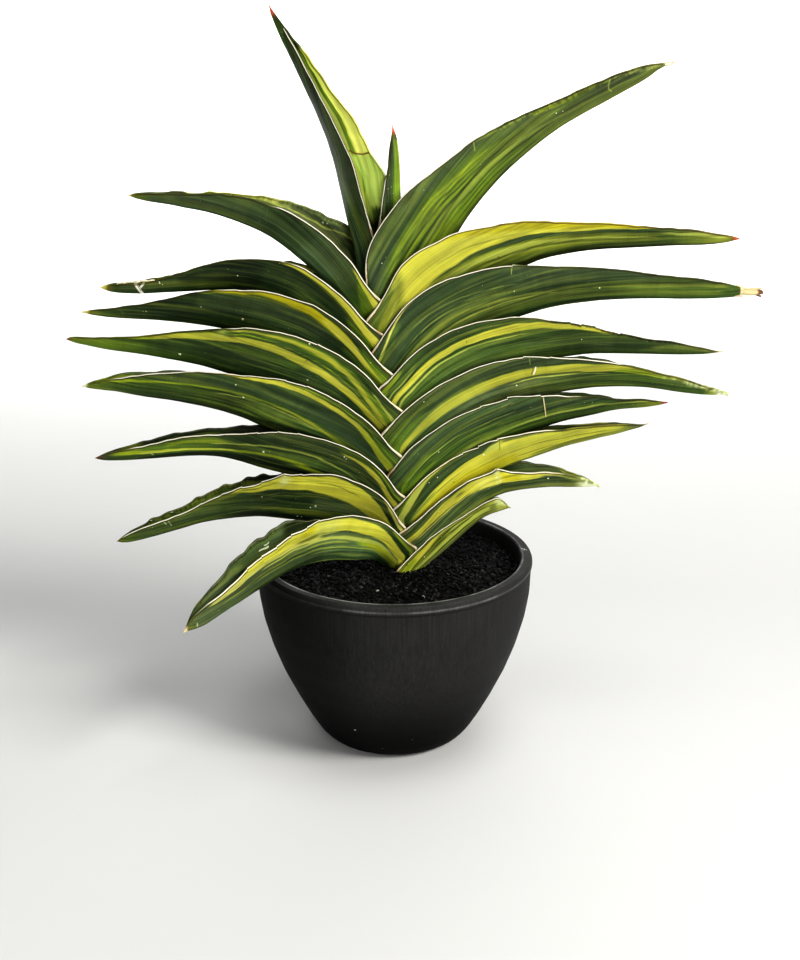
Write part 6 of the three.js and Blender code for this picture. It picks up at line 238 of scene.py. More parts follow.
            ("deep", 0.6, 0.02, [(0.6, 0.87, 0.89), (0.7, 0.8, 0.83), (0.8, 0.77, 0.81), (0.9, 0.75, 0.79), (1.0, 0.7, 0.74)]),
            ("moss", 0.04, 0.04, [(0.66, 0.6, 0.8), (0.85, 0.56, 0.78), (1.0, 0.52, 0.74)]),
            ("grey", 0.35, 0.1, [(0.3, 0.02, 0.5), (0.6, 0.02, 0.44), (0.9, 0.02, 0.4)]),
            ("deep", 0.8, 0.01, [(0.6, 0.665, 0.68), (0.7, 0.61, 0.635), (0.8, 0.59, 0.615), (0.9, 0.575, 0.6), (1.0, 0.55, 0.575)]),
            ("pale", 0.85, 0.014, [(0.55, 0.62, 0.63), (0.65, 0.575, 0.6), (0.75, 0.55, 0.575), (0.85, 0.535, 0.565), (0.95, 0.515, 0.55), (1.1, 0.45, 0.49)]),
            ("leafy", 0.5, 0.02, [(0.3, 0.37, 0.39), (0.5, 0.34, 0.36), (0.65, 0.31, 0.33), (0.8, 0.28, 0.3), (1.0, 0.29, 0.31)]),
            ("leafy", 0.4, 0.03, [(0.6, 0.42, 0.45), (0.75, 0.4, 0.44), (0.95, 0.4, 0.44)]),
            ("deep", 0.5, 0.04, [(0.5, 0.44, 0.52), (0.7, 0.45, 0.52), (0.9, 0.45, 0.5)]),
            ("lime", 0.85, 0.02, [(0.93, 0.93, 0.98), (0.97, 0.88, 0.95), (1.0, 0.84, 0.93), (1.15, 0.7, 0.82)]),
            ("pale", 0.6, 0.015, [(0.9, 0.8, 0.81), (0.96, 0.76, 0.78), (1.02, 0.72, 0.75)]),
        ],
        scars=[], specks=[(0.745, 0.7, -0.5), (0.4, 0.5, 0.4)]),
    "leaf_right_5": dict(
        base=[(0, "ivory"), (0.03, "pale"), (0.07, "green"), (0.3, "green"), (0.6, "grey"), (0.8, "grey"), (1, "green")], tip=("ivory", 0.03),
        bands=[
            ("pale", 0.6, 0.1, [(0.0, 0.3, 1.05), (0.05, 0.4, 1.05), (0.1, 0.85, 1.05)]), ("ivory", 0.5, 0.12, [(0.0, 0.5, 1.05), (0.06, 0.72, 1.05), (0.11, 0.95, 1.05)]),
            ("lime", 0.9, 0.03, [(0.1, 0.84, 1.05), (0.15, 0.78, 1.05), (0.2, 0.72, 1.05), (0.25, 0.68, 1.0), (0.3, 0.66, 0.97), (0.36, 0.63, 0.9)]),
            ("olive", 0.9, 0.02, [(0.15, 0.95, 1.0), (0.2, 0.9, 0.98), (0.28, 0.85, 0.92), (0.36, 0.8, 0.84)]),
            ("olive", 0.8, 0.02, [(0.14, 0.85, 0.89), (0.2, 0.8, 0.86), (0.27, 0.74, 0.8), (0.34, 0.7, 0.73)]),
            ("yolk", 1, 0.02, [(0.26, 0.9, 0.97), (0.3, 0.84, 0.96), (0.34, 0.64, 0.92), (0.38, 0.6, 0.86), (0.45, 0.6, 0.84), (0.5, 0.565, 0.775), (0.6, 0.5, 0.7), (0.7, 0.435, 0.645), (0.8, 0.43, 0.635), (0.9, 0.45, 0.605), (1.0, 0.49, 0.575), (1.15, 0.4, 0.5)]),
            ("dark", 0.85, 0.03, [(0.36, 0.92, 1.0), (0.42, 0.86, 0.97), (0.5, 0.79, 0.95), (0.6, 0.72, 0.95), (0.7, 0.66, 0.95), (0.8, 0.65, 0.95), (0.9, 0.7, 0.95)]),
            ("slate", 0.6, 0.06, [(0.44, 0.88, 0.95), (0.55, 0.78, 0.94), (0.7, 0.72, 0.92), (0.85, 0.75, 0.92)]),
            ("olive", 0.7, 0.012, [(0.36, 0.56, 0.58), (0.45, 0.55, 0.575), (0.52, 0.52, 0.54), (0.6, 0.48, 0.495), (0.66, 0.45, 0.46)]),
            ("pale", 0.9, 0.014, [(0.34, 0.55, 0.56), (0.42, 0.51, 0.535), (0.5, 0.475, 0.51), (0.58, 0.43, 0.465), (0.64, 0.41, 0.43)]),
            ("deep", 0.6, 0.03, [(0.6, 0.38, 0.41), (0.75, 0.37, 0.41), (0.9, 0.38, 0.43), (1.0, 0.42, 0.47)]),
            ("deep", 0.5, 0.05, [(0.2, 0.2, 0.3), (0.4, 0.18, 0.3), (0.6, 0.16, 0.26), (0.8, 0.2, 0.3)]),
            ("moss", 0.7, 0.02, [(0.26, 0.1, 0.12), (0.4, 0.075, 0.12), (0.5, 0.08, 0.11), (0.6, 0.1, 0.115)]),
            ("moss", 0.3, 0.04, [(0.7, 0.42, 0.66), (0.85, 0.42, 0.64), (1.0, 0.44, 0.6)]), ("leafy", 0.6, 0.03, [(0.88, 0.68, 0.72), (0.96, 0.64, 0.74), (1.05, 0.6, 0.72)]), ("leafy", 0.6, 0.015, [(0.84, 0.8, 0.82), (0.94, 0.84, 0.87), (1.05, 0.84, 0.88)]),
            ("leafy", 0.6, 0.02, [(0.92, 0.8, 0.84), (1.0, 0.76, 0.82), (1.1, 0.7, 0.78)]),
        ],
        scars=[("cream", 0.9, 0.9, [(0.545, 0.74), (0.549, 0.66), (0.557, 0.57)]), ("brown", 0.8, 0.6, [(0.553, 0.73), (0.556, 0.65), (0.5635, 0.57)]), ("pale", 0.5, 0.5, [(0.554, 0.99), (0.558, 0.82)])],
        specks=[(0.62, 0.37, 0.9), (0.86, 0.9, 0.5)]),
    "leaf_right_4": dict(
        base=[(0, "olive"), (0.05, "olive"), (0.12, "green"), (0.4, "green"), (0.7, "green"), (1, "green")], tip=("maroon", 0.014),
        bands=[
            ("dark", 0.7, 0.05, [(0.05, 0.86, 1.05), (0.15, 0.8, 1.05), (0.25, 0.84, 1.05)]),
            ("blue", 0.85, 0.06, [(0.22, 0.72, 1.05), (0.35, 0.6, 1.05), (0.43, 0.5, 1.05), (0.55, 0.52, 1.05), (0.7, 0.6, 1.05), (0.85, 0.66, 1.05), (1, 0.7, 1.05)]),
            ("pale", 0.7, 0.05, [(0.05, 0.62, 0.85), (0.1, 0.6, 0.78), (0.15, 0.58, 0.7), (0.2, 0.5, 0.62), (0.26, 0.44, 0.54), (0.33, 0.38, 0.46), (0.4, 0.31, 0.38), (0.44, 0.28, 0.34), (0.5, 0.26, 0.3), (0.6, 0.22, 0.26), (0.7, 0.18, 0.25), (0.8, 0.16, 0.235), (0.9, 0.16, 0.22), (1, 0.18, 0.24)]),
            ("moss", 0.5, 0.012, [(0.2, 0.63, 0.65), (0.3, 0.57, 0.6), (0.4, 0.5, 0.52), (0.5, 0.45, 0.465), (0.62, 0.42, 0.435)]),
            ("moss", 0.5, 0.012, [(0.22, 0.56, 0.57), (0.32, 0.5, 0.52), (0.42, 0.44, 0.455), (0.52, 0.36, 0.38), (0.65, 0.34, 0.355), (0.8, 0.33, 0.345)]),
            ("deep", 0.6, 0.012, [(0.25, 0.6, 0.62), (0.35, 0.53, 0.55), (0.45, 0.46, 0.48)]),
            ("pale", 0.55, 0.014, [(0.52, 0.62, 0.63), (0.62, 0.575, 0.6), (0.72, 0.565, 0.59), (0.85, 0.58, 0.6), (1, 0.6, 0.62)]),
            ("moss", 0.45, 0.012, [(0.6, 0.71, 0.725), (0.75, 0.71, 0.725), (0.9, 0.72, 0.735)]),
            ("moss", 0.45, 0.012, [(0.6, 0.48, 0.495), (0.75, 0.46, 0.48), (0.9, 0.47, 0.49)]),
            ("moss", 0.4, 0.012, [(0.6, 0.3, 0.31), (0.75, 0.285, 0.3), (0.9, 0.27, 0.29)]),
            ("leafy", 0.7, 0.02, [(0.86, 0.62, 0.66), (0.93, 0.6, 0.68), (1.0, 0.56, 0.66), (1.15, 0.45, 0.6)]),
            ("leafy", 0.7, 0.02, [(0.88, 0.4, 0.44), (0.95, 0.42, 0.5), (1.05, 0.4, 0.52)]),
            ("leafy", 0.55, 0.04, [(0.26, 0.78, 0.83), (0.285, 0.77, 0.84), (0.31, 0.79, 0.82)]),
            ("slate", 0.9, 0.06, [(0.52, 0.84, 0.93), (0.56, 0.78, 0.9), (0.6, 0.8, 0.88)]),
            ("pale", 0.25, 0.06, [(0.53, 0.86, 0.9), (0.565, 0.78, 0.86), (0.58, 0.72, 0.8)]),
            # painted shade: near black along the keel, where the flank turns under
            ("black", 0.7, 0.04, [(0.1, -0.1, 0.08), (0.45, -0.1, 0.1), (0.7, -0.1, 0.08), (1, -0.1, 0.08)]),
        ],
        scars=[("straw", 0.95, 0.75, [(0.416, 1.0), (0.421, 0.75), (0.427, 0.5), (0.433, 0.31)]), ("black", 0.55, 0.5, [(0.421, 0.99), (0.4255, 0.75), (0.4315, 0.5), (0.437, 0.34)])],
        specks=[(0.845, 0.55, 0.5)]),
    "leaf_right_3": dict(
        base=[(0, "straw"), (0.025, "grey"), (0.055, "grey"), (0.09, "moss"), (0.14, "yellow"), (1, "yellow")], tip=("straw", 0.01),
        bands=[
            ("moss", 0.7, 0.06, [(0.06, -0.1, 0.5), (0.15, -0.1, 0.45), (0.3, -0.1, 0.3), (0.45, -0.1, 0.16)]), ("pale", 0.5, 0.05, [(0.1, 0.6, 0.8), (0.25, 0.62, 0.78), (0.4, 0.6, 0.74), (0.55, 0.55, 0.7)]), ("yolk", 0.6, 0.1, [(0.1, 0.3, 1.0), (0.3, 0.3, 1.0), (0.5, 0.2, 0.9)]),
            ("olive", 0.75, 0.03, [(0.1, 0.5, 0.55), (0.2, 0.53, 0.6), (0.28, 0.52, 0.58), (0.36, 0.5, 0.55), (0.44, 0.48, 0.51)]),
            ("olive", 0.75, 0.03, [(0.1, 0.3, 0.36), (0.2, 0.26, 0.33), (0.3, 0.25, 0.3), (0.4, 0.23, 0.27), (0.5, 0.22, 0.25)]),
            ("moss", 0.5, 0.03, [(0.44, 0.45, 0.48), (0.52, 0.4, 0.44), (0.6, 0.36, 0.39), (0.7, 0.32, 0.35)]),
            ("gold", 0.5, 0.08, [(0.5, 0.06, 0.36), (0.65, 0.06, 0.42), (0.75, 0.12, 0.4), (0.88, 0.2, 0.4), (1.0, 0.26, 0.4)]),
            ("moss", 0.6, 0.04, [(0.2, 0.95, 1.02), (0.28, 0.9, 1.0), (0.33, 0.9, 0.98)]),
            ("slate", 0.7, 0.04, [(0.3, 0.97, 1.0), (0.38, 0.9, 1.0), (0.48, 0.87, 1.0), (0.55, 0.86, 1.0)]),
            ("dark", 0.95, 0.03, [(0.55, 0.92, 1.0), (0.6, 0.82, 1.02), (0.65, 0.76, 1.02), (0.7, 0.7, 1.0), (0.76, 0.63, 0.97), (0.84, 0.58, 0.9), (0.9, 0.55, 0.8), (0.95, 0.53, 0.74), (1.0, 0.5, 0.67), (1.15, 0.4, 0.55)]),
            ("blue", 0.6, 0.06, [(0.6, 0.84, 0.95), (0.7, 0.76, 0.9), (0.8, 0.66, 0.84), (0.9, 0.6, 0.74)]),
            ("pale", 0.95, 0.025, [(0.78, 0.95, 1.0), (0.84, 0.92, 0.98), (0.9, 0.83, 0.96), (0.95, 0.75, 0.9), (1.0, 0.68, 0.82), (1.15, 0.56, 0.7)]),
            ("green", 0.9, 0.03, [(0.92, 0.95, 1.03), (0.96, 0.9, 1.03), (1.0, 0.82, 1.03), (1.15, 0.72, 1.03)]),
            ("olive", 0.85, 0.012, [(0.74, 0.49, 0.5), (0.8, 0.47, 0.485), (0.88, 0.445, 0.465), (0.95, 0.43, 0.45), (1.02, 0.4, 0.42)]),
            ("green", 0.8, 0.02, [(0.86, 0.5, 0.52), (0.93, 0.47, 0.52), (1.0, 0.44, 0.5), (1.15, 0.34, 0.42)]),
            ("pale", 0.8, 0.03, [(0.545, 0.72, 0.92), (0.57, 0.7, 0.9), (0.6, 0.72, 0.86), (0.62, 0.76, 0.8)]),
            ("olive", 0.7, 0.03, [(0.3, -0.1, 0.05), (0.5, -0.1, 0.08), (0.7, -0.1, 0.05), (1.0, -0.1, 0.05)]),
        ],
        scars=[("olive", 0.8, 0.6, [(0.541, 1.0), (0.549, 0.8), (0.558, 0.62)])],
        specks=[(0.622, 0.71, 0.7), (0.782, 0.37, -0.7), (0.808, 0.79, 0.55), (0.845, 0.83, 0.55)]),
    "leaf_right_2": dict(
        base=[(0, "ivory"), (0.08, "ivory"), (0.13, "grey"), (0.5, "slate"), (1, "grey")], tip=("ivory", 0.08),
        bands=[
            ("pale", 0.6, 0.1, [(0.0, 0.4, 1.05), (0.1, 0.5, 1.05), (0.16, 0.7, 1.05), (0.22, 0.86, 1.02)]),
            ("butter", 0.85, 0.04, [(0.18, 0.93, 1.05), (0.24, 0.84, 1.05), (0.3, 0.78, 1.05), (0.34, 0.72, 0.98)]),
            ("yellow", 1, 0.02, [(0.27, 0.74, 0.96), (0.32, 0.68, 0.96), (0.38, 0.6, 0.95), (0.43, 0.52, 0.94), (0.475, 0.48, 0.92), (0.53, 0.49, 0.94), (0.6, 0.55, 0.93), (0.7, 0.6, 0.9), (0.8, 0.635, 0.86), (0.9, 0.65, 0.8), (1.0, 0.6, 0.73), (1.15, 0.5, 0.64)]),
            ("gold", 0.6, 0.06, [(0.37, 0.66, 0.9), (0.42, 0.6, 0.88), (0.465, 0.56, 0.86)]),
            ("butter", 0.7, 0.05, [(0.5, 0.5, 0.93), (0.54, 0.52, 0.93), (0.6, 0.58, 0.9)]),
            ("dark", 0.85, 0.02, [(0.66, 0.93, 0.97), (0.74, 0.89, 0.95), (0.84, 0.86, 0.96), (0.92, 0.82, 0.93), (1.0, 0.73, 0.84), (1.15, 0.6, 0.74)]),
            ("moss", 0.6, 0.01, [(0.72, 0.91, 0.92), (0.84, 0.9, 0.915), (0.93, 0.86, 0.875)]),
            ("dark", 0.7, 0.04, [(0.1, 0.45, 0.7), (0.18, 0.5, 0.78), (0.26, 0.45, 0.72), (0.34, 0.34, 0.6), (0.42, 0.26, 0.46), (0.5, 0.2, 0.4), (0.6, 0.2, 0.46), (0.8, 0.22, 0.52), (1, 0.22, 0.5)]),
            ("olive", 0.85, 0.012, [(0.36, 0.57, 0.6), (0.42, 0.49, 0.51), (0.48, 0.44, 0.46), (0.56, 0.47, 0.49), (0.62, 0.52, 0.545), (0.7, 0.55, 0.57), (0.9, 0.57, 0.59), (1.0, 0.55, 0.57)]),
            ("butter", 0.9, 0.012, [(0.58, 0.505, 0.515), (0.66, 0.565, 0.585), (0.76, 0.585, 0.61), (0.88, 0.595, 0.62), (0.97, 0.58, 0.6)]),
            ("black", 0.8, 0.01, [(0.64, 0.6, 0.615), (0.76, 0.62, 0.635), (0.9, 0.63, 0.645)]),
            ("moss", 0.4, 0.012, [(0.66, 0.4, 0.415), (0.8, 0.4, 0.415), (0.95, 0.38, 0.395)]),
            ("moss", 0.35, 0.012, [(0.6, 0.31, 0.325), (0.8, 0.315, 0.33), (0.95, 0.31, 0.325)]),
            ("moss", 0.7, 0.05, [(0.12, 0.12, 0.36), (0.3, 0.1, 0.28), (0.5, 0.06, 0.18), (0.8, 0.06, 0.18), (1, 0.06, 0.2)]),
            ("olive", 0.6, 0.03, [(0.66, 0.74, 0.82), (0.685, 0.72, 0.83), (0.71, 0.74, 0.8)]),
            ("ivory", 0.85, 0.02, [(0.474, 0.5, 1.0), (0.482, 0.46, 1.0), (0.494, 0.5, 0.98)]),
        ],
        scars=[("butter", 0.8, 1.2, [(0.472, 0.98), (0.48, 0.75), (0.49, 0.5)])], specks=[(0.245, 0.64, 0.9), (0.815, 0.78, 0.45)]),
    "leaf_right_1": dict(
        base=[(0, "pale"), (0.16, "pale"), (0.25, "moss"), (0.45, "moss"), (0.9, "moss"), (0.97, "lime"), (1.2, "lime")], tip=("pale", 0.03),
        bands=[
            ("ivory", 0.5, 0.1, [(0.0, 0.3, 1.05), (0.1, 0.35, 1.0), (0.16, 0.6, 0.9)]),
            ("grey", 0.4, 0.1, [(0.15, 0.1, 0.7), (0.25, 0.1, 0.55), (0.32, 0.1, 0.3)]),
            ("pale", 0.9, 0.03, [(0.2, 0.34, 0.6), (0.3, 0.34, 0.62), (0.4, 0.32, 0.56), (0.5, 0.3, 0.5), (0.6, 0.27, 0.46), (0.7, 0.25, 0.38), (0.8, 0.25, 0.37), (0.9, 0.28, 0.38), (1.0, 0.36, 0.46)]),
            ("pale", 0.9, 0.02, [(0.34, 0.7, 0.76), (0.42, 0.68, 0.76), (0.5, 0.64, 0.74), (0.56, 0.63, 0.68)]),
            ("pale", 0.85, 0.03, [(0.3, 0.88, 1.0), (0.45, 0.86, 1.0), (0.6, 0.8, 0.96), (0.7, 0.78, 0.94)]),
            ("yellow", 0.95, 0.03, [(0.62, 0.8, 0.84), (0.68, 0.7, 0.86), (0.75, 0.64, 0.86), (0.82, 0.61, 0.86), (0.9, 0.58, 0.85), (1.0, 0.5, 0.8)]),
            ("lime", 0.7, 0.05, [(0.86, 0.6, 0.9), (0.93, 0.5, 0.95), (1.0, 0.3, 1.0), (1.2, 0.2, 1.0)]),
            ("deep", 0.85, 0.014, [(0.28, 0.83, 0.84), (0.36, 0.8, 0.85), (0.44, 0.8, 0.86), (0.5, 0.77, 0.82), (0.56, 0.7, 0.76), (0.62, 0.66, 0.72), (0.68, 0.61, 0.66), (0.76, 0.56, 0.6), (0.86, 0.54, 0.58), (0.94, 0.5, 0.55), (1.05, 0.42, 0.46)]),
            ("deep", 0.8, 0.014, [(0.36, 0.63, 0.65), (0.44, 0.6, 0.64), (0.5, 0.56, 0.6), (0.56, 0.56, 0.6)]),
            ("olive", 0.9, 0.03, [(0.58, 0.54, 0.58), (0.64, 0.48, 0.64), (0.72, 0.42, 0.6), (0.8, 0.41, 0.56), (0.9, 0.42, 0.54), (0.97, 0.44, 0.5)]),
            ("deep", 0.7, 0.02, [(0.6, 0.5, 0.54), (0.68, 0.44, 0.52), (0.78, 0.42, 0.47), (0.88, 0.42, 0.45)]),
            ("moss", 0.7, 0.02, [(0.76, 0.48, 0.53), (0.82, 0.46, 0.51), (0.88, 0.47, 0.5)]),
            ("deep", 0.85, 0.014, [(0.34, 0.27, 0.3), (0.44, 0.25, 0.285), (0.6, 0.21, 0.25), (0.75, 0.17, 0.21), (0.88, 0.18, 0.23), (1.0, 0.26, 0.31)]),
            ("deep", 0.85, 0.014, [(0.6, 0.9, 0.92), (0.7, 0.87, 0.91), (0.84, 0.86, 0.9), (0.92, 0.88, 0.93), (1.0, 0.82, 0.86)]),
            ("grey", 0.7, 0.04, [(0.3, -0.1, 0.16), (0.6, -0.1, 0.14), (0.9, -0.1, 0.1)]),
        ],
        scars=[], specks=[(0.93, 0.85, -0.7), (0.82, 0.5, 0.6)]),
    "leaf_left_9": dict(
        base=[(0, "brown"), (0.008, "brown"), (0.025, "green"), (0.3, "green"), (0.5, "slate"), (0.8, "slate"), (1, "blue")], tip=("rust", 0.02),
        bands=[("slate", 0.5, 0.15, [(0.1, 0.6, 1.05), (0.4, 0.4, 1.05), (0.6, 0.2, 1.05)]), ("dark", 0.6, 0.15, [(0.2, 0.2, 0.7), (0.35, 0.3, 0.9), (0.5, 0.2, 0.6)]),
               ("dark", 0.6, 0.1, [(0.85, 0.3, 0.8), (1, 0.2, 0.8)])],
        inner=[
            ("green", 1, 0.1, [(0.0, -0.1, 1.1), (0.22, -0.1, 1.1), (0.6, -0.1, 1.1), (1.1, -0.1, 1.1)]),
            ("brown", 0.5, 0.1, [(0.0, -0.1, 1.1), (0.03, -0.1, 1.1), (0.05, 0.8, 1.1)]),
            ("pale", 0.9, 0.06, [(0.2, 0.0, 0.46), (0.4, 0.0, 0.38), (0.6, 0.0, 0.33), (0.8, 0.1, 0.36), (0.92, 0.3, 0.5)]),
            ("leafy", 0.9, 0.05, [(0.2, 0.5, 0.72), (0.3, 0.44, 0.6), (0.45, 0.4, 0.52), (0.6, 0.34, 0.45), (0.7, 0.3, 0.44), (0.8, 0.34, 0.52), (0.9, 0.48, 0.62)]),
            # the lime stripe on this leaf's inside, painted brighter as light shining through the leaf
            ("painted_backlight", 1, 0.05, [(0.18, 0.86, 1.1), (0.24, 0.72, 1.1), (0.32, 0.62, 1.1), (0.4, 0.57, 1.1), (0.5, 0.53, 1.1), (0.6, 0.46, 1.1), (0.7, 0.44, 1.1), (0.78, 0.54, 1.1), (0.84, 0.68, 1.1), (0.88, 0.86, 1.1)]),
            ("lime", 0.45, 0.06, [(0.22, 0.7, 1.1), (0.3, 0.86, 1.1), (0.42, 0.96, 1.1)]),
            ("tint", 0.85, 0.06, [(0.64, 0.3, 1.1), (0.7, 0.3, 1.1), (0.8, 0.4, 1.1), (0.88, 0.6, 1.1)]),
            ("pale", 0.6, 0.06, [(0.8, 0.36, 0.5), (0.9, 0.5, 0.64), (1.0, 0.66, 0.8)]),
        ],
        inscars=[("brown", 0.85, 1.0, [(0.628, 0.3), (0.642, 0.45), (0.648, 0.7), (0.644, 0.95)])], scars=[], specks=[]),
    "leaf_left_8": dict(
        base=[(0, "butter"), (0.02, "olive"), (0.08, "slate"), (0.5, "blue"), (0.8, "slate"), (0.95, "green"), (1.1, "green")], tip=("straw", 0.008),
        bands=[
            ("grey", 0.45, 0.12, [(0.12, 0.2, 1.05), (0.25, 0.3, 0.9), (0.36, 0.25, 0.8)]), ("grey", 0.4, 0.06, [(0.37, 0.3, 1.05), (0.4, 0.2, 1.05), (0.43, 0.2, 1.05)]),
            ("dark", 0.5, 0.1, [(0.5, 0.1, 1.05), (0.6, 0.2, 1.0), (0.68, 0.1, 0.8)]), ("grey", 0.3, 0.1, [(0.72, 0.5, 1.05), (0.8, 0.4, 1.0), (0.9, 0.3, 0.8)]),
            ("leafy", 0.85, 0.05, [(0.9, 0.86, 0.92), (0.95, 0.6, 0.9), (1.0, 0.42, 0.9), (1.15, 0.3, 0.9)]),
            ("yellow", 0.95, 0.025, [(0.86, 0.93, 0.96), (0.91, 0.9, 0.97), (0.96, 0.83, 0.96), (1.0, 0.75, 0.92), (1.15, 0.6, 0.8)]),
            ("deep", 0.6, 0.04, [(0.7, -0.1, 0.1), (0.9, -0.1, 0.3), (1.0, -0.1, 0.35)]),
        ],
        inner=[
            ("grey", 1, 0.1, [(0.0, -0.1, 1.1), (0.6, -0.1, 1.1), (1.1, -0.1, 1.1)]), ("tint", 0.55, 0.1, [(0.2, 0.8, 1.1), (0.5, 0.84, 1.1), (0.8, 0.86, 1.1)]), ("grey", 0.5, 0.1, [(0.3, 0.2, 0.8), (0.6, 0.2, 0.8), (0.8, 0.3, 0.8)]),
            ("pale", 0.85, 0.06, [(0.2, 0.86, 1.1), (0.3, 0.88, 1.1), (0.4, 0.82, 1.1), (0.5, 0.8, 1.1), (0.58, 0.8, 0.98)]),
            ("dark", 0.6, 0.04, [(0.53, 0.86, 0.96), (0.62, 0.8, 0.92), (0.72, 0.76, 0.86), (0.8, 0.8, 0.9)]),
            ("pale", 1, 0.02, [(0.5, 0.775, 0.805), (0.58, 0.72, 0.765), (0.66, 0.66, 0.71), (0.74, 0.68, 0.72), (0.8, 0.74, 0.78), (0.86, 0.82, 0.86), (0.95, 0.9, 0.94)]),
            # painted shade: the inside of the back flank grows darker deeper into the fold
            ("deep", 0.7, 0.05, [(0.82, 0.5, 0.7), (0.88, 0.6, 0.9), (0.95, 0.7, 1.1)]),
        ],
        scars=[("grey", 0.6, 0.7, [(0.487, 1.0), (0.497, 0.7), (0.505, 0.4)])], inspecks=[(0.715, 0.81, 0.8), (0.735, 0.84, 0.6)], specks=[]),
    "leaf_left_7": dict(
        base=[(0, "butter"), (0.02, "olive"), (0.05, "dark"), (0.3, "dark"), (0.5, "deep"), (0.9, "dark"), (1.1, "green")], tip=("butter", 0.018),
        bands=[
            ("grey", 0.35, 0.1, [(0.06, 0.3, 0.9), (0.16, 0.4, 0.95), (0.3, 0.5, 0.9)]),
            ("black", 0.5, 0.1, [(0.25, 0.3, 0.8), (0.4, 0.2, 0.9), (0.55, 0.2, 0.95)]),
            ("leafy", 0.7, 0.05, [(0.88, 0.6, 0.76), (0.95, 0.5, 0.7), (1.0, 0.44, 0.62), (1.15, 0.3, 0.5)]),
            ("olive", 0.7, 0.03, [(0.66, 0.88, 0.93), (0.76, 0.82, 0.9), (0.86, 0.74, 0.84), (0.94, 0.66, 0.78)]),
            ("yellow", 1, 0.018, [(0.6, 0.96, 1.0), (0.66, 0.92, 0.985), (0.72, 0.89, 0.98), (0.8, 0.85, 0.98), (0.86, 0.8, 0.97), (0.9, 0.76, 0.96), (0.95, 0.7, 0.9), (1.0, 0.62, 0.83), (1.15, 0.5, 0.7)]),
            ("olive", 0.6, 0.04, [(0.05, 0.93, 1.0), (0.1, 0.92, 1.0), (0.3, 0.95, 1.0)]),
        ],
        scars=[("cream", 0.95, 2.0, [(0.117, 1.0), (0.121, 0.7), (0.126, 0.4), (0.1315, 0.1), (0.133, 0.0)]), ("cream", 0.9, 1.4, [(0.143, 0.98), (0.135, 0.78), (0.125, 0.5)]), ("brown", 0.7, 0.5, [(0.121, 0.9), (0.125, 0.6), (0.13, 0.3)]), ("black", 0.6, 0.5, [(0.1305, 0.62), (0.1385, 0.15)])],
        specks=[(0.465, 0.48, 0.6), (0.197, 0.83, 0.5), (0.197, 0.72, 0.5), (0.2, 0.6, 0.4)]),
    "leaf_left_6": dict(
        base=[(0, "butter"), (0.02, "olive"), (0.07, "green"), (0.15, "dark"), (0.3, "deep"), (0.6, "dark"), (0.85, "dark"), (1.0, "fresh"), (1.2, "fresh")], tip=("butter", 0.016),
        bands=[
            ("deep", 0.6, 0.08, [(0.2, 0.2, 0.8), (0.35, 0.2, 0.9), (0.5, 0.1, 0.7)]),
            ("grey", 0.35, 0.08, [(0.35, 0.5, 0.9), (0.5, 0.45, 0.85), (0.65, 0.4, 0.78), (0.78, 0.45, 0.7)]),
            ("olive", 0.75, 0.03, [(0.36, 0.95, 1.0), (0.45, 0.88, 0.95), (0.6, 0.81, 0.88), (0.72, 0.74, 0.8), (0.82, 0.66, 0.73)]),
            ("gold", 1, 0.016, [(0.4, 0.955, 0.99), (0.46, 0.925, 0.985), (0.54, 0.895, 0.98), (0.6, 0.865, 0.975), (0.66, 0.82, 0.955), (0.72, 0.775, 0.94), (0.8, 0.715, 0.9), (0.86, 0.68, 0.86)]),
            ("yellow", 1, 0.02, [(0.74, 0.78, 0.9), (0.8, 0.72, 0.88), (0.86, 0.675, 0.85), (0.92, 0.655, 0.8), (0.97, 0.66, 0.76), (1.0, 0.65, 0.73)]),
            ("leafy", 0.9, 0.04, [(0.88, 0.86, 0.93), (0.93, 0.78, 0.94), (0.97, 0.74, 0.92), (1.0, 0.7, 0.9), (1.15, 0.5, 0.8)]),
            ("lime", 0.8, 0.02, [(0.93, 0.68, 0.72), (0.97, 0.64, 0.7), (1.0, 0.6, 0.68), (1.15, 0.45, 0.6)]),
            ("lime", 0.7, 0.012, [(0.92, 0.86, 0.875), (0.97, 0.83, 0.85), (1.02, 0.79, 0.82)]),
            ("green", 0.8, 0.05, [(0.84, 0.52, 0.66), (0.92, 0.5, 0.64), (1.0, 0.46, 0.62)]),
            ("lime", 0.4, 0.012, [(0.84, 0.6, 0.61), (0.92, 0.585, 0.6), (1.0, 0.56, 0.575)]),
        ],
        scars=[("grey", 0.7, 1.0, [(0.114, 0.86), (0.12, 0.6), (0.124, 0.34)])], specks=[(0.505, 0.31, 0.85), (0.19, 0.5, 0.4), (0.37, 0.54, 0.4), (0.93, 0.85, 0.4)]),
    "leaf_left_5": dict(
        base=[(0, "olive"), (0.03, "fresh"), (0.12, "fresh"), (0.3, "green"), (0.5, "dark"), (0.9, "dark"), (1.1, "green")], tip=("brown", 0.008),
        bands=[
            ("pale", 0.5, 0.1, [(0.04, 0.85, 1.05), (0.1, 0.92, 1.05), (0.16, 0.95, 1.05)]),
            ("leafy", 0.5, 0.1, [(0.06, 0.2, 0.8), (0.15, 0.2, 0.7), (0.22, 0.3, 0.6)]),
            ("dark", 0.4, 0.06, [(0.25, 0.3, 0.75), (0.4, 0.2, 0.68), (0.7, 0.2, 0.5)]),
            ("lime", 0.95, 0.03, [(0.15, 0.9, 1.05), (0.2, 0.84, 1.02), (0.28, 0.79, 0.98), (0.36, 0.76, 0.95), (0.43, 0.74, 0.92)]),
            ("yolk", 1, 0.018, [(0.24, 0.82, 0.95), (0.3, 0.78, 0.94), (0.38, 0.74, 0.92), (0.44, 0.7, 0.86), (0.5, 0.68, 0.805), (0.6, 0.62, 0.75), (0.7, 0.54, 0.67), (0.8, 0.48, 0.605), (0.9, 0.45, 0.58), (1.0, 0.36, 0.5), (1.15, 0.25, 0.4)]),
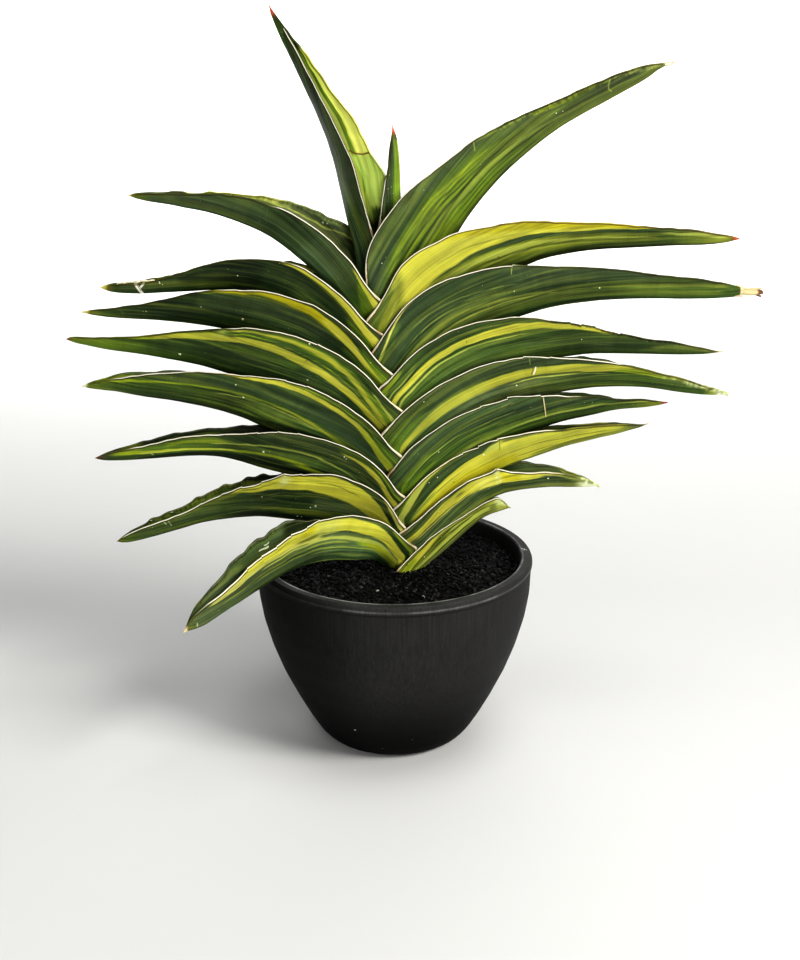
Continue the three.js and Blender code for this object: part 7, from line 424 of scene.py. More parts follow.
            ("yellow", 0.7, 0.02, [(0.72, 0.535, 0.655), (0.8, 0.485, 0.6), (0.9, 0.455, 0.575), (1.0, 0.365, 0.495)]), ("olive", 0.7, 0.02, [(0.3, 0.94, 0.97), (0.4, 0.925, 0.965), (0.46, 0.9, 0.95)]),
            ("green", 0.9, 0.03, [(0.45, 0.82, 1.0), (0.55, 0.79, 1.0), (0.65, 0.72, 1.0), (0.8, 0.62, 1.0), (0.95, 0.58, 1.0), (1.1, 0.5, 1.0)]),
            ("lime", 0.7, 0.014, [(0.46, 0.86, 0.88), (0.54, 0.83, 0.85), (0.6, 0.8, 0.81)]),
            ("leafy", 0.9, 0.03, [(0.55, 0.85, 0.93), (0.65, 0.83, 0.95), (0.8, 0.76, 0.92), (0.9, 0.67, 0.86), (1.0, 0.52, 0.8)]),
            ("yolk", 0.95, 0.02, [(0.46, 0.93, 0.97), (0.54, 0.9, 0.95), (0.62, 0.86, 0.92), (0.7, 0.83, 0.9), (0.8, 0.77, 0.855), (0.88, 0.7, 0.79), (0.94, 0.63, 0.72), (1.0, 0.53, 0.61), (1.15, 0.4, 0.5)]),
            ("deep", 0.75, 0.012, [(0.55, 0.79, 0.8), (0.64, 0.755, 0.77), (0.75, 0.7, 0.715), (0.86, 0.64, 0.66), (0.95, 0.57, 0.59)]),
            ("lime", 0.75, 0.01, [(0.6, 0.765, 0.775), (0.7, 0.715, 0.73), (0.8, 0.665, 0.68), (0.9, 0.61, 0.625), (1.0, 0.52, 0.535)]),
            ("dark", 0.75, 0.02, [(0.66, 0.95, 0.98), (0.78, 0.9, 0.95), (0.88, 0.86, 0.93), (0.96, 0.78, 0.88), (1.04, 0.7, 0.8)]),
            ("pale", 0.85, 0.015, [(0.9, 0.88, 0.91), (0.95, 0.8, 0.84), (1.0, 0.7, 0.76), (1.1, 0.58, 0.66)]),
            ("pale", 0.8, 0.03, [(0.425, 0.82, 1.0), (0.44, 0.79, 1.0), (0.455, 0.82, 1.0)]),
            ("leafy", 0.5, 0.015, [(0.45, 0.53, 0.55), (0.6, 0.46, 0.48), (0.75, 0.37, 0.39), (0.85, 0.35, 0.37)]),
            ("leafy", 0.3, 0.05, [(0.4, 0.55, 0.66), (0.55, 0.5, 0.62), (0.7, 0.42, 0.52)]),
            # painted shade: near black along the keel, where the flank turns under
            ("black", 0.5, 0.03, [(0.5, -0.1, 0.05), (0.7, -0.1, 0.1), (1.0, -0.1, 0.15)]),
        ],
        scars=[], specks=[(0.325, 0.22, 1.0), (0.74, 0.33, 0.8), (0.68, 0.965, 0.8), (0.702, 0.655, -0.6)]),
    "leaf_left_4": dict(
        base=[(0, "olive"), (0.04, "fresh"), (0.12, "green"), (0.3, "green"), (0.6, "green"), (1, "dark"), (1.2, "green")], tip=("ivory", 0.011),
        bands=[
            ("blue", 0.8, 0.06, [(0.2, 0.72, 1.05), (0.3, 0.66, 1.05), (0.45, 0.6, 1.0), (0.6, 0.56, 0.9), (0.75, 0.5, 0.86), (0.88, 0.44, 0.8), (1.0, 0.42, 0.66)]),
            ("moss", 0.2, 0.06, [(0.3, 0.65, 0.95), (0.34, 0.68, 0.98), (0.37, 0.7, 0.94)]), ("moss", 0.25, 0.05, [(0.255, 0.78, 1.0), (0.27, 0.76, 0.94), (0.285, 0.8, 0.9)]),
            ("moss", 0.15, 0.06, [(0.46, 0.7, 0.95), (0.5, 0.68, 0.98), (0.54, 0.7, 0.9)]),
            ("lime", 0.95, 0.04, [(0.04, 0.88, 1.05), (0.08, 0.82, 1.02), (0.12, 0.73, 0.92), (0.16, 0.69, 0.84), (0.2, 0.65, 0.75), (0.26, 0.62, 0.68), (0.32, 0.585, 0.62), (0.38, 0.55, 0.58), (0.5, 0.52, 0.545), (0.6, 0.475, 0.5), (0.66, 0.45, 0.475), (0.72, 0.4, 0.44), (0.8, 0.31, 0.37), (0.87, 0.25, 0.33), (1.0, 0.15, 0.24)]),
            ("yellow", 0.7, 0.02, [(0.6, 0.47, 0.49), (0.68, 0.43, 0.455), (0.74, 0.38, 0.42), (0.82, 0.3, 0.34)]),
            ("pale", 0.75, 0.014, [(0.4, 0.43, 0.445), (0.46, 0.455, 0.47), (0.52, 0.45, 0.465), (0.6, 0.425, 0.44), (0.68, 0.38, 0.4), (0.76, 0.31, 0.33)]),
            ("deep", 0.7, 0.014, [(0.34, 0.5, 0.54), (0.48, 0.48, 0.51), (0.6, 0.445, 0.47), (0.7, 0.41, 0.425)]),
            ("deep", 0.5, 0.03, [(0.45, 0.34, 0.42), (0.6, 0.3, 0.39), (0.72, 0.25, 0.33)]),
            ("olive", 0.35, 0.1, [(0.35, 0.08, 0.42), (0.5, 0.06, 0.4), (0.7, 0.02, 0.3)]), ("moss", 0.5, 0.014, [(0.2, 0.29, 0.31), (0.35, 0.27, 0.29), (0.5, 0.25, 0.27), (0.62, 0.22, 0.24), (0.72, 0.18, 0.2)]),
            ("moss", 0.45, 0.014, [(0.2, 0.22, 0.235), (0.35, 0.19, 0.205), (0.5, 0.15, 0.165), (0.6, 0.1, 0.12)]),
            ("deep", 0.5, 0.02, [(0.3, 0.22, 0.26), (0.5, 0.19, 0.23), (0.6, 0.14, 0.18)]),
            # painted shade: near black along the keel, where the flank turns under
            ("black", 0.7, 0.04, [(0.15, -0.1, 0.06), (0.45, -0.1, 0.08), (0.6, -0.1, 0.14), (0.75, -0.1, 0.2), (1.0, -0.1, 0.3)]),
            ("green", 0.7, 0.03, [(0.55, 0.92, 1.0), (0.65, 0.88, 1.0), (0.8, 0.84, 1.0), (0.9, 0.8, 1.0), (1.0, 0.66, 1.0)]),
            ("yellow", 1, 0.02, [(0.42, 0.965, 1.0), (0.47, 0.94, 1.0), (0.53, 0.9, 0.985), (0.58, 0.87, 0.965), (0.64, 0.85, 0.935), (0.7, 0.835, 0.915), (0.78, 0.81, 0.885), (0.85, 0.77, 0.86), (0.9, 0.7, 0.83), (0.95, 0.62, 0.76), (1.0, 0.52, 0.7), (1.15, 0.4, 0.6)]),
            ("lime", 0.6, 0.03, [(0.85, 0.78, 0.86), (0.92, 0.68, 0.82), (1.0, 0.54, 0.72)]),
            ("lime", 0.75, 0.012, [(0.62, 0.955, 0.965), (0.74, 0.93, 0.945), (0.86, 0.9, 0.915), (0.94, 0.86, 0.88), (1.0, 0.78, 0.8)]),
            ("fresh", 0.6, 0.03, [(0.88, 0.86, 0.95), (0.95, 0.8, 0.92), (1.02, 0.7, 0.9)]),
        ],
        scars=[], specks=[(0.465, 0.75, 0.7), (0.5, 0.46, 0.8), (0.77, 0.98, 0.4)]),
    "leaf_left_3": dict(
        base=[(0, "brown"), (0.03, "grey"), (0.07, "green"), (0.3, "green"), (0.6, "dark"), (1, "dark")], tip=("brown", 0.011),
        bands=[
            ("moss", 0.7, 0.08, [(0.05, 0.5, 1.0), (0.09, 0.45, 1.0), (0.13, 0.5, 0.95), (0.17, 0.55, 0.7)]),
            ("fresh", 0.6, 0.08, [(0.15, 0.5, 0.95), (0.25, 0.5, 0.93), (0.35, 0.5, 0.9), (0.4, 0.55, 0.86)]),
            ("lime", 0.6, 0.05, [(0.22, 0.68, 0.85), (0.3, 0.68, 0.86), (0.38, 0.64, 0.82), (0.41, 0.62, 0.72)]),
            ("grey", 0.6, 0.05, [(0.5, 0.82, 1.0), (0.65, 0.7, 0.98), (0.78, 0.62, 0.95), (0.88, 0.56, 0.86), (1.0, 0.5, 0.74)]),
            ("dark", 0.9, 0.03, [(0.38, 0.82, 0.98), (0.44, 0.7, 0.9), (0.55, 0.68, 0.86), (0.66, 0.64, 0.76), (0.75, 0.6, 0.67), (0.85, 0.53, 0.58)]),
            ("lime", 0.95, 0.03, [(0.06, 0.62, 0.92), (0.1, 0.54, 0.86), (0.14, 0.46, 0.74), (0.18, 0.4, 0.6), (0.24, 0.34, 0.5), (0.3, 0.31, 0.44), (0.36, 0.31, 0.42), (0.42, 0.35, 0.42), (0.5, 0.37, 0.44), (0.58, 0.34, 0.42), (0.65, 0.27, 0.36), (0.72, 0.18, 0.28), (0.8, 0.1, 0.2), (1.0, 0.0, 0.1)]),
            ("butter", 0.6, 0.04, [(0.14, 0.5, 0.62), (0.2, 0.4, 0.52), (0.28, 0.34, 0.42), (0.36, 0.33, 0.4), (0.45, 0.37, 0.41)]),
            ("green", 0.6, 0.04, [(0.36, 0.46, 0.58), (0.5, 0.47, 0.58), (0.62, 0.42, 0.56), (0.72, 0.36, 0.5)]),
            ("pale", 0.8, 0.02, [(0.36, 0.62, 0.67), (0.44, 0.615, 0.67), (0.52, 0.62, 0.67), (0.6, 0.59, 0.635), (0.68, 0.55, 0.59), (0.76, 0.5, 0.535), (0.84, 0.44, 0.47), (0.95, 0.36, 0.4)]),
            ("moss", 0.45, 0.012, [(0.45, 0.525, 0.54), (0.6, 0.5, 0.515), (0.72, 0.43, 0.445), (0.82, 0.37, 0.385)]),
            ("moss", 0.5, 0.012, [(0.58, 0.8, 0.815), (0.7, 0.74, 0.755), (0.8, 0.69, 0.705), (0.9, 0.61, 0.625)]),
            ("moss", 0.45, 0.012, [(0.6, 0.74, 0.75), (0.72, 0.68, 0.69), (0.82, 0.62, 0.635), (0.92, 0.55, 0.565)]),
            # painted shade: near black along the keel, where the flank turns under
            ("black", 0.8, 0.05, [(0.12, -0.1, 0.16), (0.2, -0.1, 0.24), (0.3, -0.1, 0.24), (0.4, -0.1, 0.26), (0.5, -0.1, 0.3), (0.58, -0.1, 0.27), (0.65, -0.1, 0.2), (0.72, -0.1, 0.12)]),
            ("fresh", 0.8, 0.03, [(0.75, 0.86, 0.98), (0.85, 0.86, 0.98), (0.93, 0.8, 0.97), (1.0, 0.7, 0.92)]),
            ("yellow", 0.95, 0.025, [(0.76, 0.84, 0.87), (0.82, 0.82, 0.88), (0.87, 0.78, 0.89), (0.92, 0.72, 0.85), (0.96, 0.66, 0.79), (1.0, 0.58, 0.72), (1.15, 0.46, 0.6)]),
            ("deep", 0.7, 0.02, [(0.86, 0.9, 0.93), (0.92, 0.85, 0.9), (0.97, 0.78, 0.84), (1.02, 0.7, 0.77)]),
            ("lime", 0.6, 0.015, [(0.86, 0.94, 0.96), (0.93, 0.9, 0.93), (1.0, 0.82, 0.86)]),
            ("dark", 0.6, 0.03, [(0.84, 0.64, 0.72), (0.92, 0.55, 0.68), (1.0, 0.44, 0.56)]),
        ],
        inner=[
            ("deep", 1, 0.1, [(0.0, -0.1, 1.1), (0.5, -0.1, 1.1), (1.1, -0.1, 1.1)]),
            ("lime", 0.7, 0.05, [(0.07, 0.3, 1.1), (0.1, 0.4, 1.1), (0.14, 0.7, 1.1)]),
            ("olive", 0.5, 0.08, [(0.2, 0.5, 0.8), (0.3, 0.55, 0.85), (0.4, 0.6, 0.8)]),
            # painted shade: the inside of the back flank grows black deeper into the fold
            ("black", 0.9, 0.1, [(0.42, 0.4, 1.1), (0.5, 0.3, 1.1), (0.65, 0.2, 1.1), (1.0, 0.1, 1.1)]),
        ],
        scars=[("ivory", 0.6, 0.8, [(0.172, 0.39), (0.177, 0.3)])], specks=[(0.533, 0.47, 1.0), (0.34, 0.54, -0.6), (0.777, 0.8, 0.6), (0.783, 0.77, 0.45), (0.93, 0.65, -0.4)]),
    "leaf_left_2": dict(
        base=[(0, "olive"), (0.04, "fresh"), (0.1, "green"), (0.3, "green"), (0.45, "dark"), (1, "dark")], tip=("brown", 0.006),
        bands=[
            ("grey", 0.5, 0.08, [(0.06, 0.3, 0.9), (0.2, 0.4, 0.92), (0.35, 0.4, 0.84)]),
            ("moss", 0.6, 0.05, [(0.2, 0.88, 0.98), (0.3, 0.86, 0.97), (0.4, 0.82, 0.96), (0.46, 0.84, 0.94)]),
            ("olive", 0.6, 0.03, [(0.36, 0.88, 0.98), (0.42, 0.86, 0.97), (0.48, 0.78, 0.84), (0.56, 0.7, 0.74)]),
            ("yellow", 1, 0.02, [(0.4, 0.93, 0.99), (0.45, 0.84, 0.985), (0.5, 0.78, 0.985), (0.55, 0.725, 0.98), (0.6, 0.695, 0.965), (0.65, 0.685, 0.96), (0.7, 0.61, 0.955), (0.76, 0.575, 0.95), (0.81, 0.54, 0.93), (0.85, 0.49, 0.885), (0.9, 0.4, 0.81), (0.94, 0.36, 0.76), (1.0, 0.3, 0.68), (1.15, 0.2, 0.6)]),
            ("olive", 0.7, 0.02, [(0.43, 0.9, 0.95), (0.5, 0.87, 0.91), (0.56, 0.86, 0.885)]),
            ("moss", 0.75, 0.014, [(0.58, 0.87, 0.885), (0.64, 0.85, 0.87), (0.7, 0.84, 0.855)]),
            ("moss", 0.7, 0.014, [(0.68, 0.82, 0.835), (0.76, 0.785, 0.805), (0.83, 0.745, 0.76)]),
            ("ivory", 0.65, 0.02, [(0.562, 0.78, 1.0), (0.573, 0.72, 1.0), (0.59, 0.84, 0.97)]),
            ("dark", 0.9, 0.02, [(0.74, 0.975, 1.0), (0.8, 0.95, 1.0), (0.86, 0.89, 0.985), (0.92, 0.81, 0.94), (0.96, 0.72, 0.9), (1.0, 0.68, 0.84), (1.15, 0.6, 0.76)]),
            ("slate", 0.5, 0.04, [(0.82, 0.94, 0.98), (0.88, 0.88, 0.94), (0.94, 0.78, 0.88)]),
            ("butter", 0.95, 0.02, [(0.9, 0.945, 1.0), (0.94, 0.9, 0.985), (1.0, 0.82, 0.93), (1.15, 0.74, 0.86)]),
            ("deep", 0.7, 0.02, [(0.45, 0.68, 0.76), (0.55, 0.64, 0.69), (0.66, 0.63, 0.67), (0.76, 0.54, 0.57), (0.86, 0.44, 0.47)]),
            ("moss", 0.5, 0.012, [(0.52, 0.62, 0.635), (0.62, 0.62, 0.635), (0.72, 0.58, 0.595), (0.82, 0.5, 0.515)]),
            ("moss", 0.45, 0.012, [(0.52, 0.565, 0.58), (0.64, 0.555, 0.57), (0.75, 0.52, 0.535)]),
            ("deep", 0.6, 0.02, [(0.5, 0.4, 0.5), (0.62, 0.38, 0.52), (0.75, 0.36, 0.48)]),
            ("grey", 0.7, 0.05, [(0.68, 0.26, 0.5), (0.8, 0.26, 0.5), (0.88, 0.28, 0.44), (1.0, 0.2, 0.34)]), ("moss", 0.5, 0.02, [(0.7, 0.42, 0.44), (0.8, 0.4, 0.42), (0.9, 0.36, 0.38)]),
            ("moss", 0.6, 0.014, [(0.12, 0.25, 0.27), (0.25, 0.245, 0.27), (0.4, 0.24, 0.26), (0.5, 0.25, 0.27), (0.6, 0.255, 0.28), (0.7, 0.22, 0.25), (0.78, 0.16, 0.19)]),
            ("olive", 0.7, 0.04, [(0.58, 0.17, 0.22), (0.7, 0.12, 0.22), (0.78, 0.05, 0.16), (0.86, 0.0, 0.08)]),
            # painted shade: near black along the keel, where the flank turns under
            ("black", 0.65, 0.04, [(0.1, -0.1, 0.1), (0.4, -0.1, 0.12), (0.6, -0.1, 0.12), (0.7, -0.1, 0.06)]),
        ],
        inner=[
            ("green", 1, 0.1, [(0.0, -0.1, 1.1), (0.3, -0.1, 1.1), (0.6, -0.1, 1.1), (1.1, -0.1, 1.1)]),
            ("moss", 0.6, 0.06, [(0.06, 0.6, 0.9), (0.2, 0.75, 1.0), (0.35, 0.8, 1.0), (0.4, 0.9, 1.1)]),
            ("leafy", 0.5, 0.05, [(0.1, 0.55, 0.7), (0.25, 0.6, 0.75), (0.35, 0.66, 0.76)]),
            # painted shade: the inside of the back flank grows black deeper into the fold
            ("black", 0.85, 0.1, [(0.4, 0.5, 1.1), (0.5, 0.4, 1.1), (0.65, 0.3, 1.1), (1.0, 0.1, 1.1)]),
        ],
        scars=[("ivory", 0.7, 0.7, [(0.165, 0.92), (0.169, 0.74)]), ("ivory", 0.5, 0.6, [(0.18, 0.88), (0.182, 0.5)])],
        specks=[(0.683, 0.3, 0.8), (0.697, 0.33, 1.1), (0.5, 0.62, 0.5), (0.635, 0.09, 0.6), (0.655, 0.08, 0.5)]),
    "leaf_left_1": dict(
        base=[(0, "olive"), (0.06, "grey"), (0.15, "slate"), (0.35, "slate"), (0.6, "slate"), (1, "green")], tip=("straw", 0.014),
        bands=[
            ("grey", 0.5, 0.08, [(0.1, 0.4, 0.75), (0.25, 0.4, 0.72), (0.4, 0.4, 0.62)]),
            ("butter", 0.9, 0.03, [(0.12, 0.82, 0.9), (0.16, 0.8, 0.96), (0.22, 0.76, 0.985), (0.3, 0.73, 0.985), (0.36, 0.71, 0.985), (0.44, 0.66, 0.985), (0.5, 0.64, 0.985), (0.58, 0.52, 0.985)]),
            ("yellow", 1, 0.02, [(0.24, 0.84, 0.96), (0.3, 0.84, 0.96), (0.36, 0.8, 0.95), (0.44, 0.76, 0.95), (0.5, 0.78, 0.97), (0.56, 0.74, 0.97), (0.62, 0.67, 0.96), (0.7, 0.66, 0.94), (0.78, 0.635, 0.91), (0.84, 0.61, 0.87), (0.9, 0.585, 0.81), (0.95, 0.52, 0.75), (1.0, 0.45, 0.66), (1.15, 0.34, 0.56)]),
            ("gold", 0.6, 0.05, [(0.49, 0.82, 0.96), (0.52, 0.8, 0.96), (0.555, 0.8, 0.95)]),
            ("olive", 0.8, 0.014, [(0.33, 0.89, 0.91), (0.4, 0.87, 0.895), (0.48, 0.87, 0.885)]),
            ("moss", 0.6, 0.02, [(0.33, 0.75, 0.78), (0.4, 0.74, 0.76), (0.47, 0.72, 0.735)]),
            ("olive", 0.85, 0.02, [(0.48, 0.7, 0.77), (0.53, 0.66, 0.74), (0.575, 0.63, 0.7)]),
            ("pale", 0.7, 0.05, [(0.56, 0.5, 0.98), (0.6, 0.5, 0.97), (0.65, 0.6, 0.92)]), ("butter", 0.5, 0.03, [(0.56, 0.7, 0.96), (0.62, 0.68, 0.94), (0.68, 0.72, 0.9)]),
            ("grey", 0.9, 0.02, [(0.58, 0.56, 0.62), (0.64, 0.57, 0.645), (0.7, 0.565, 0.635), (0.76, 0.57, 0.615), (0.84, 0.555, 0.585), (0.9, 0.535, 0.56), (0.96, 0.49, 0.52), (1.0, 0.43, 0.46), (1.15, 0.3, 0.34)]),
            ("dark", 0.7, 0.014, [(0.58, 0.615, 0.635), (0.66, 0.63, 0.65), (0.72, 0.61, 0.63), (0.8, 0.57, 0.585), (0.9, 0.545, 0.555)]),
            ("pale", 0.9, 0.02, [(0.32, 0.64, 0.68), (0.42, 0.6, 0.66), (0.5, 0.56, 0.62), (0.56, 0.5, 0.57), (0.62, 0.5, 0.575), (0.68, 0.46, 0.55), (0.76, 0.44, 0.54), (0.86, 0.44, 0.53), (0.94, 0.4, 0.5), (1.0, 0.3, 0.42), (1.15, 0.2, 0.3)]),
            ("lime", 0.6, 0.04, [(0.76, 0.34, 0.44), (0.86, 0.34, 0.45), (0.94, 0.28, 0.42), (1.0, 0.2, 0.36), (1.15, 0.1, 0.24)]),
            ("gold", 0.35, 0.05, [(0.8, 0.32, 0.42), (0.92, 0.3, 0.46), (1.0, 0.24, 0.4)]),
            ("moss", 0.75, 0.014, [(0.15, 0.57, 0.6), (0.25, 0.54, 0.575), (0.35, 0.5, 0.535), (0.45, 0.46, 0.5), (0.55, 0.42, 0.46), (0.62, 0.41, 0.44), (0.72, 0.38, 0.41)]),
            ("dark", 0.7, 0.014, [(0.25, 0.48, 0.52), (0.38, 0.42, 0.46), (0.5, 0.375, 0.41), (0.62, 0.35, 0.38), (0.74, 0.33, 0.35)]),
            ("moss", 0.7, 0.012, [(0.3, 0.42, 0.44), (0.42, 0.37, 0.39), (0.55, 0.325, 0.35), (0.66, 0.28, 0.31), (0.78, 0.275, 0.3), (0.9, 0.27, 0.3), (0.97, 0.22, 0.26)]),
            ("dark", 0.8, 0.02, [(0.5, 0.26, 0.31), (0.66, 0.23, 0.27), (0.8, 0.2, 0.265), (0.9, 0.17, 0.25), (1.0, 0.1, 0.18)]),
            # painted shade: a deep tone along the keel, where the flank turns under
            ("deep", 0.8, 0.05, [(0.25, -0.1, 0.16), (0.45, -0.1, 0.16), (0.65, -0.1, 0.2), (0.85, -0.1, 0.2), (1.0, -0.1, 0.12)]),
            ("dark", 0.9, 0.02, [(0.66, 0.975, 1.0), (0.74, 0.95, 1.0), (0.8, 0.93, 1.0), (0.86, 0.89, 1.0), (0.9, 0.84, 0.97), (0.95, 0.77, 0.9), (1.0, 0.67, 0.8), (1.15, 0.55, 0.7)]),
            ("slate", 0.6, 0.04, [(0.7, 0.96, 0.99), (0.76, 0.94, 0.99), (0.82, 0.93, 0.97)]),
            ("lime", 0.8, 0.02, [(0.88, 0.955, 1.0), (0.93, 0.91, 0.98), (1.0, 0.8, 0.9), (1.15, 0.68, 0.8)]),
        ],
        inner=[
            ("slate", 1, 0.1, [(0.0, -0.1, 1.1), (0.4, -0.1, 1.1), (1.1, -0.1, 1.1)]),
            ("pale", 0.4, 0.12, [(0.07, 0.7, 0.92), (0.14, 0.66, 0.86), (0.24, 0.55, 0.75)]),
            ("dark", 0.6, 0.06, [(0.06, 0.2, 0.5), (0.2, 0.2, 0.5), (0.35, 0.4, 0.6)]),
            ("leafy", 0.3, 0.05, [(0.2, 0.84, 0.94), (0.3, 0.82, 0.92), (0.4, 0.86, 0.94)]),
            # painted shade: the inside of the back flank grows black deeper into the fold
            ("black", 0.8, 0.1, [(0.42, 0.5, 0.9), (0.5, 0.4, 1.1), (0.6, 0.3, 1.1), (1.0, 0.1, 1.1)]),
        ],
        # the two ivory lines on the inside of the back flank are painted highlights, not scars
        inscars=[("ivory", 0.95, 0.9, [(0.318, 0.63), (0.352, 0.64)]), ("ivory", 0.9, 0.8, [(0.34, 0.74), (0.357, 0.745)])],
        scars=[("ivory", 0.6, 0.7, [(0.06, 0.45), (0.056, 0.2)])], specks=[(0.8, 0.4, -0.5), (0.76, 0.87, 0.4)]),
    "leaf_centre": dict(
        base=[(0, "rust"), (0.07, "brown"), (0.12, "green"), (0.4, "green"), (1, "green")], tip=("rust", 0.07),
        bands=[("leafy", 0.7, 0.1, [(0.15, 0.0, 0.45), (0.3, -0.1, 0.5), (0.5, -0.1, 0.48), (0.8, -0.1, 0.4), (1.1, -0.1, 0.36)]),
               ("dark", 0.9, 0.08, [(0.15, 0.76, 1.05), (0.3, 0.7, 1.05), (0.6, 0.64, 1.05), (1.1, 0.6, 1.05)]),
               ("pale", 0.6, 0.06, [(0.15, 0.0, 0.14), (0.4, -0.1, 0.1), (0.7, -0.1, 0.06)])],
        scars=[], specks=[]),
}
PAINT["leaf_right_2"]["inner"] = [
    ("blue", 1, 0.1, [(0.0, -0.1, 1.1), (0.5, -0.1, 1.1), (1.1, -0.1, 1.1)]),
    ("pale", 0.7, 0.1, [(0.0, -0.1, 1.1), (0.12, 0.3, 1.1), (0.2, 0.9, 1.1)]),
    # painted shade: the inside of the back flank grows darker deeper into the fold
    ("dark", 0.6, 0.08, [(0.4, 0.3, 0.8), (0.5, 0.2, 1.1), (1.0, 0.0, 1.1)])]
PAINT["leaf_right_3"]["inner"] = [
    ("slate", 1, 0.1, [(0.0, -0.1, 1.1), (0.5, -0.1, 1.1), (1.1, -0.1, 1.1)]),
    ("butter", 0.6, 0.05, [(0.14, 0.84, 1.1), (0.22, 0.86, 1.1), (0.28, 0.94, 1.1)]),
    # painted shade: the inside of the back flank grows darker deeper into the fold
    ("deep", 0.8, 0.1, [(0.2, 0.5, 0.9), (0.35, 0.5, 1.0), (0.6, 0.2, 1.1), (1.0, 0.1, 1.1)])]
# the pale margin is whole from here to the stem; nearer the tip it is worn to a thin dark line
EDGE_FROM = {
    "leaf_right_9": 0.45, "leaf_right_8": 0.6, "leaf_right_7": 0.6, "leaf_right_6": 0.48, "leaf_right_5": 0.3, "leaf_right_4": 0.3, "leaf_right_3": 0.33, "leaf_right_2": 0.2, "leaf_right_1": 0.1,
    "leaf_left_9": 0.06, "leaf_left_8": 0.5, "leaf_left_7": 0.62, "leaf_left_6": 0.42, "leaf_left_5": 0.46, "leaf_left_4": 0.08, "leaf_left_3": 0.1, "leaf_left_2": 0.02, "leaf_left_1": 0.1, "leaf_centre": 0.55}
# bars along an edge: (inside, back flank) and (from q, to q, reach in mm, strength)
BARS = {
    "leaf_right_9": {(False, False): (0.04, 0.5, 4.5, 0.55)}, "leaf_left_8": {(True, True): (0.1, 0.85, 3.5, 0.45)}, "leaf_left_9": {(True, True): (0.03, 0.22, 6.0, 0.8)},
    "leaf_right_6": {(False, False): (0.1, 0.45, 2.2, 0.7)}, "leaf_left_2": {(True, True): (0.05, 0.5, 4.0, 0.6)}, "leaf_left_1": {(True, True): (0.05, 0.5, 3.0, 0.5)},
    "leaf_right_5": {(False, False): (0.0, 0.16, 6.0, 0.5)}}
# steps and bumps of a front margin: (q, height in mm, run in mm; a negative run goes towards the tip)
NICKS = {
    "leaf_right_7": [(0.597, 0.7, -14)], "leaf_right_6": [(0.4, -0.8, 3), (0.43, 0.6, 5), (0.36, 0.7, 6), (0.29, -0.7, 4)],
    "leaf_right_5": [(0.57, 0.8, -8), (0.5, 0.5, -6)], "leaf_right_4": [(0.53, 1.3, -12), (0.424, -0.9, -7), (0.62, 0.5, -6)],
    "leaf_right_3": [(0.62, 1.1, -10), (0.55, -0.8, 5), (0.68, 0.6, -7)], "leaf_right_2": [(0.48, 1.5, 6), (0.478, 1.2, -4)],
    "leaf_left_2": [(0.573, 1.3, 4), (0.572, 1.2, -3), (0.63, 0.6, -5), (0.5, 0.8, 5), (0.44, 0.7, -5), (0.37, 0.6, 4), (0.3, 0.5, -5)], "leaf_left_3": [(0.56, 0.6, 4), (0.5, 0.6, -4), (0.62, 0.5, 4)],
    "leaf_left_4": [(0.6, 0.5, -5), (0.66, 0.5, 5)], "leaf_left_5": [(0.7, 0.6, 4)], "leaf_left_1": [(0.46, 0.9, 5), (0.4, 0.8, 4), (0.34, 0.8, 4), (0.28, 0.7, 4), (0.52, 0.8, 4), (0.57, 0.6, -4)]}
RAGGED = {"leaf_left_1": 2.2, "leaf_left_2": 2.6, "leaf_left_8": 1.6, "leaf_left_9": 1.3, "leaf_right_2": 1.6}  # how uneven the back margin is
MOTTLED = {"leaf_right_5": 0.24, "leaf_right_2": 0.14, "leaf_right_6": 0.06, "leaf_right_9": 0.05}                  # pale blotches by the margin, up to q
FINE = {name: [(min(p[0] for p in line) - 0.006, max(p[0] for p in line) + 0.006) for _, _, _, line in look.get("scars", []) + look.get("inscars", [])]
        + [(q - 0.0025, q + 0.0025) for q, _, _ in NICKS.get(name, [])] for name, look in PAINT.items()}
FINE["leaf_right_7"].append((0.05, 0.06))
FINE["leaf_right_9"].append((0.02, 0.03))
FINE["leaf_right_5"].append((0.004, 0.11, 1.3))
FINE["leaf_right_2"].append((0.004, 0.12, 1.3))
# ---------- leaf surfaces, in millimetres ----------
GAP = 0.45            # kept between leaves that lie on each other
MARGIN_THICK = 1.2
SLOPE = 0.32
# back margins that stand a little higher beside the stem: {station: mm}
FAR_RISE = {
    "leaf_left_7": {24: 0.6, 25: 1.6, 26: 2.8, 27: 3.8, 28: 4.6, 29: 5.2, 30: 5.6, 31: 5.6, 32: 5.2, 33: 4.4, 34: 3.4, 35: 2.4, 36: 1.4, 37: 0.6},
    "leaf_left_8": {31: 1.0, 32: 3.0, 33: 5.2, 34: 7.6, 35: 10.0, 36: 11.2, 37: 9.0, 38: 6.0, 39: 3.4, 40: 1.6, 41: 0.6}}
ROWS = 136            # rows from the tip to the stem
GP = 24               # steps across a flank where leaves are fitted to each other
CELL, X0, Z0, NXC, NZC = 0.5, -262.0, 100.0, 1048, 840
COVER_FRONT = np.full((NXC, NZC), -1e9)
COVER_BACK = np.full((NXC, NZC), 1e9)


def curve(pts, x):
    """Points on a smooth curve through pts, x in steps of pts."""
    n = len(pts)
    i = np.clip(np.floor(x).astype(int), 0, n - 2)
    t = (x - i)[:, None]
    p = np.vstack([2 * pts[0] - pts[1], pts, 2 * pts[-1] - pts[-2]])
    a, b, c, d = p[i], p[i + 1], p[i + 2], p[i + 3]
    return 0.5 * (2 * b + (c - a) * t + (2 * a - 5 * b + 4 * c - d) * t**2 + (3 * b - a - 3 * c + d) * t**3)


def hull(g):
    return (1 - (1 - g) ** 1.5) ** 0.8


def channel(g):
    return 1 - (1 - g) ** 1.5


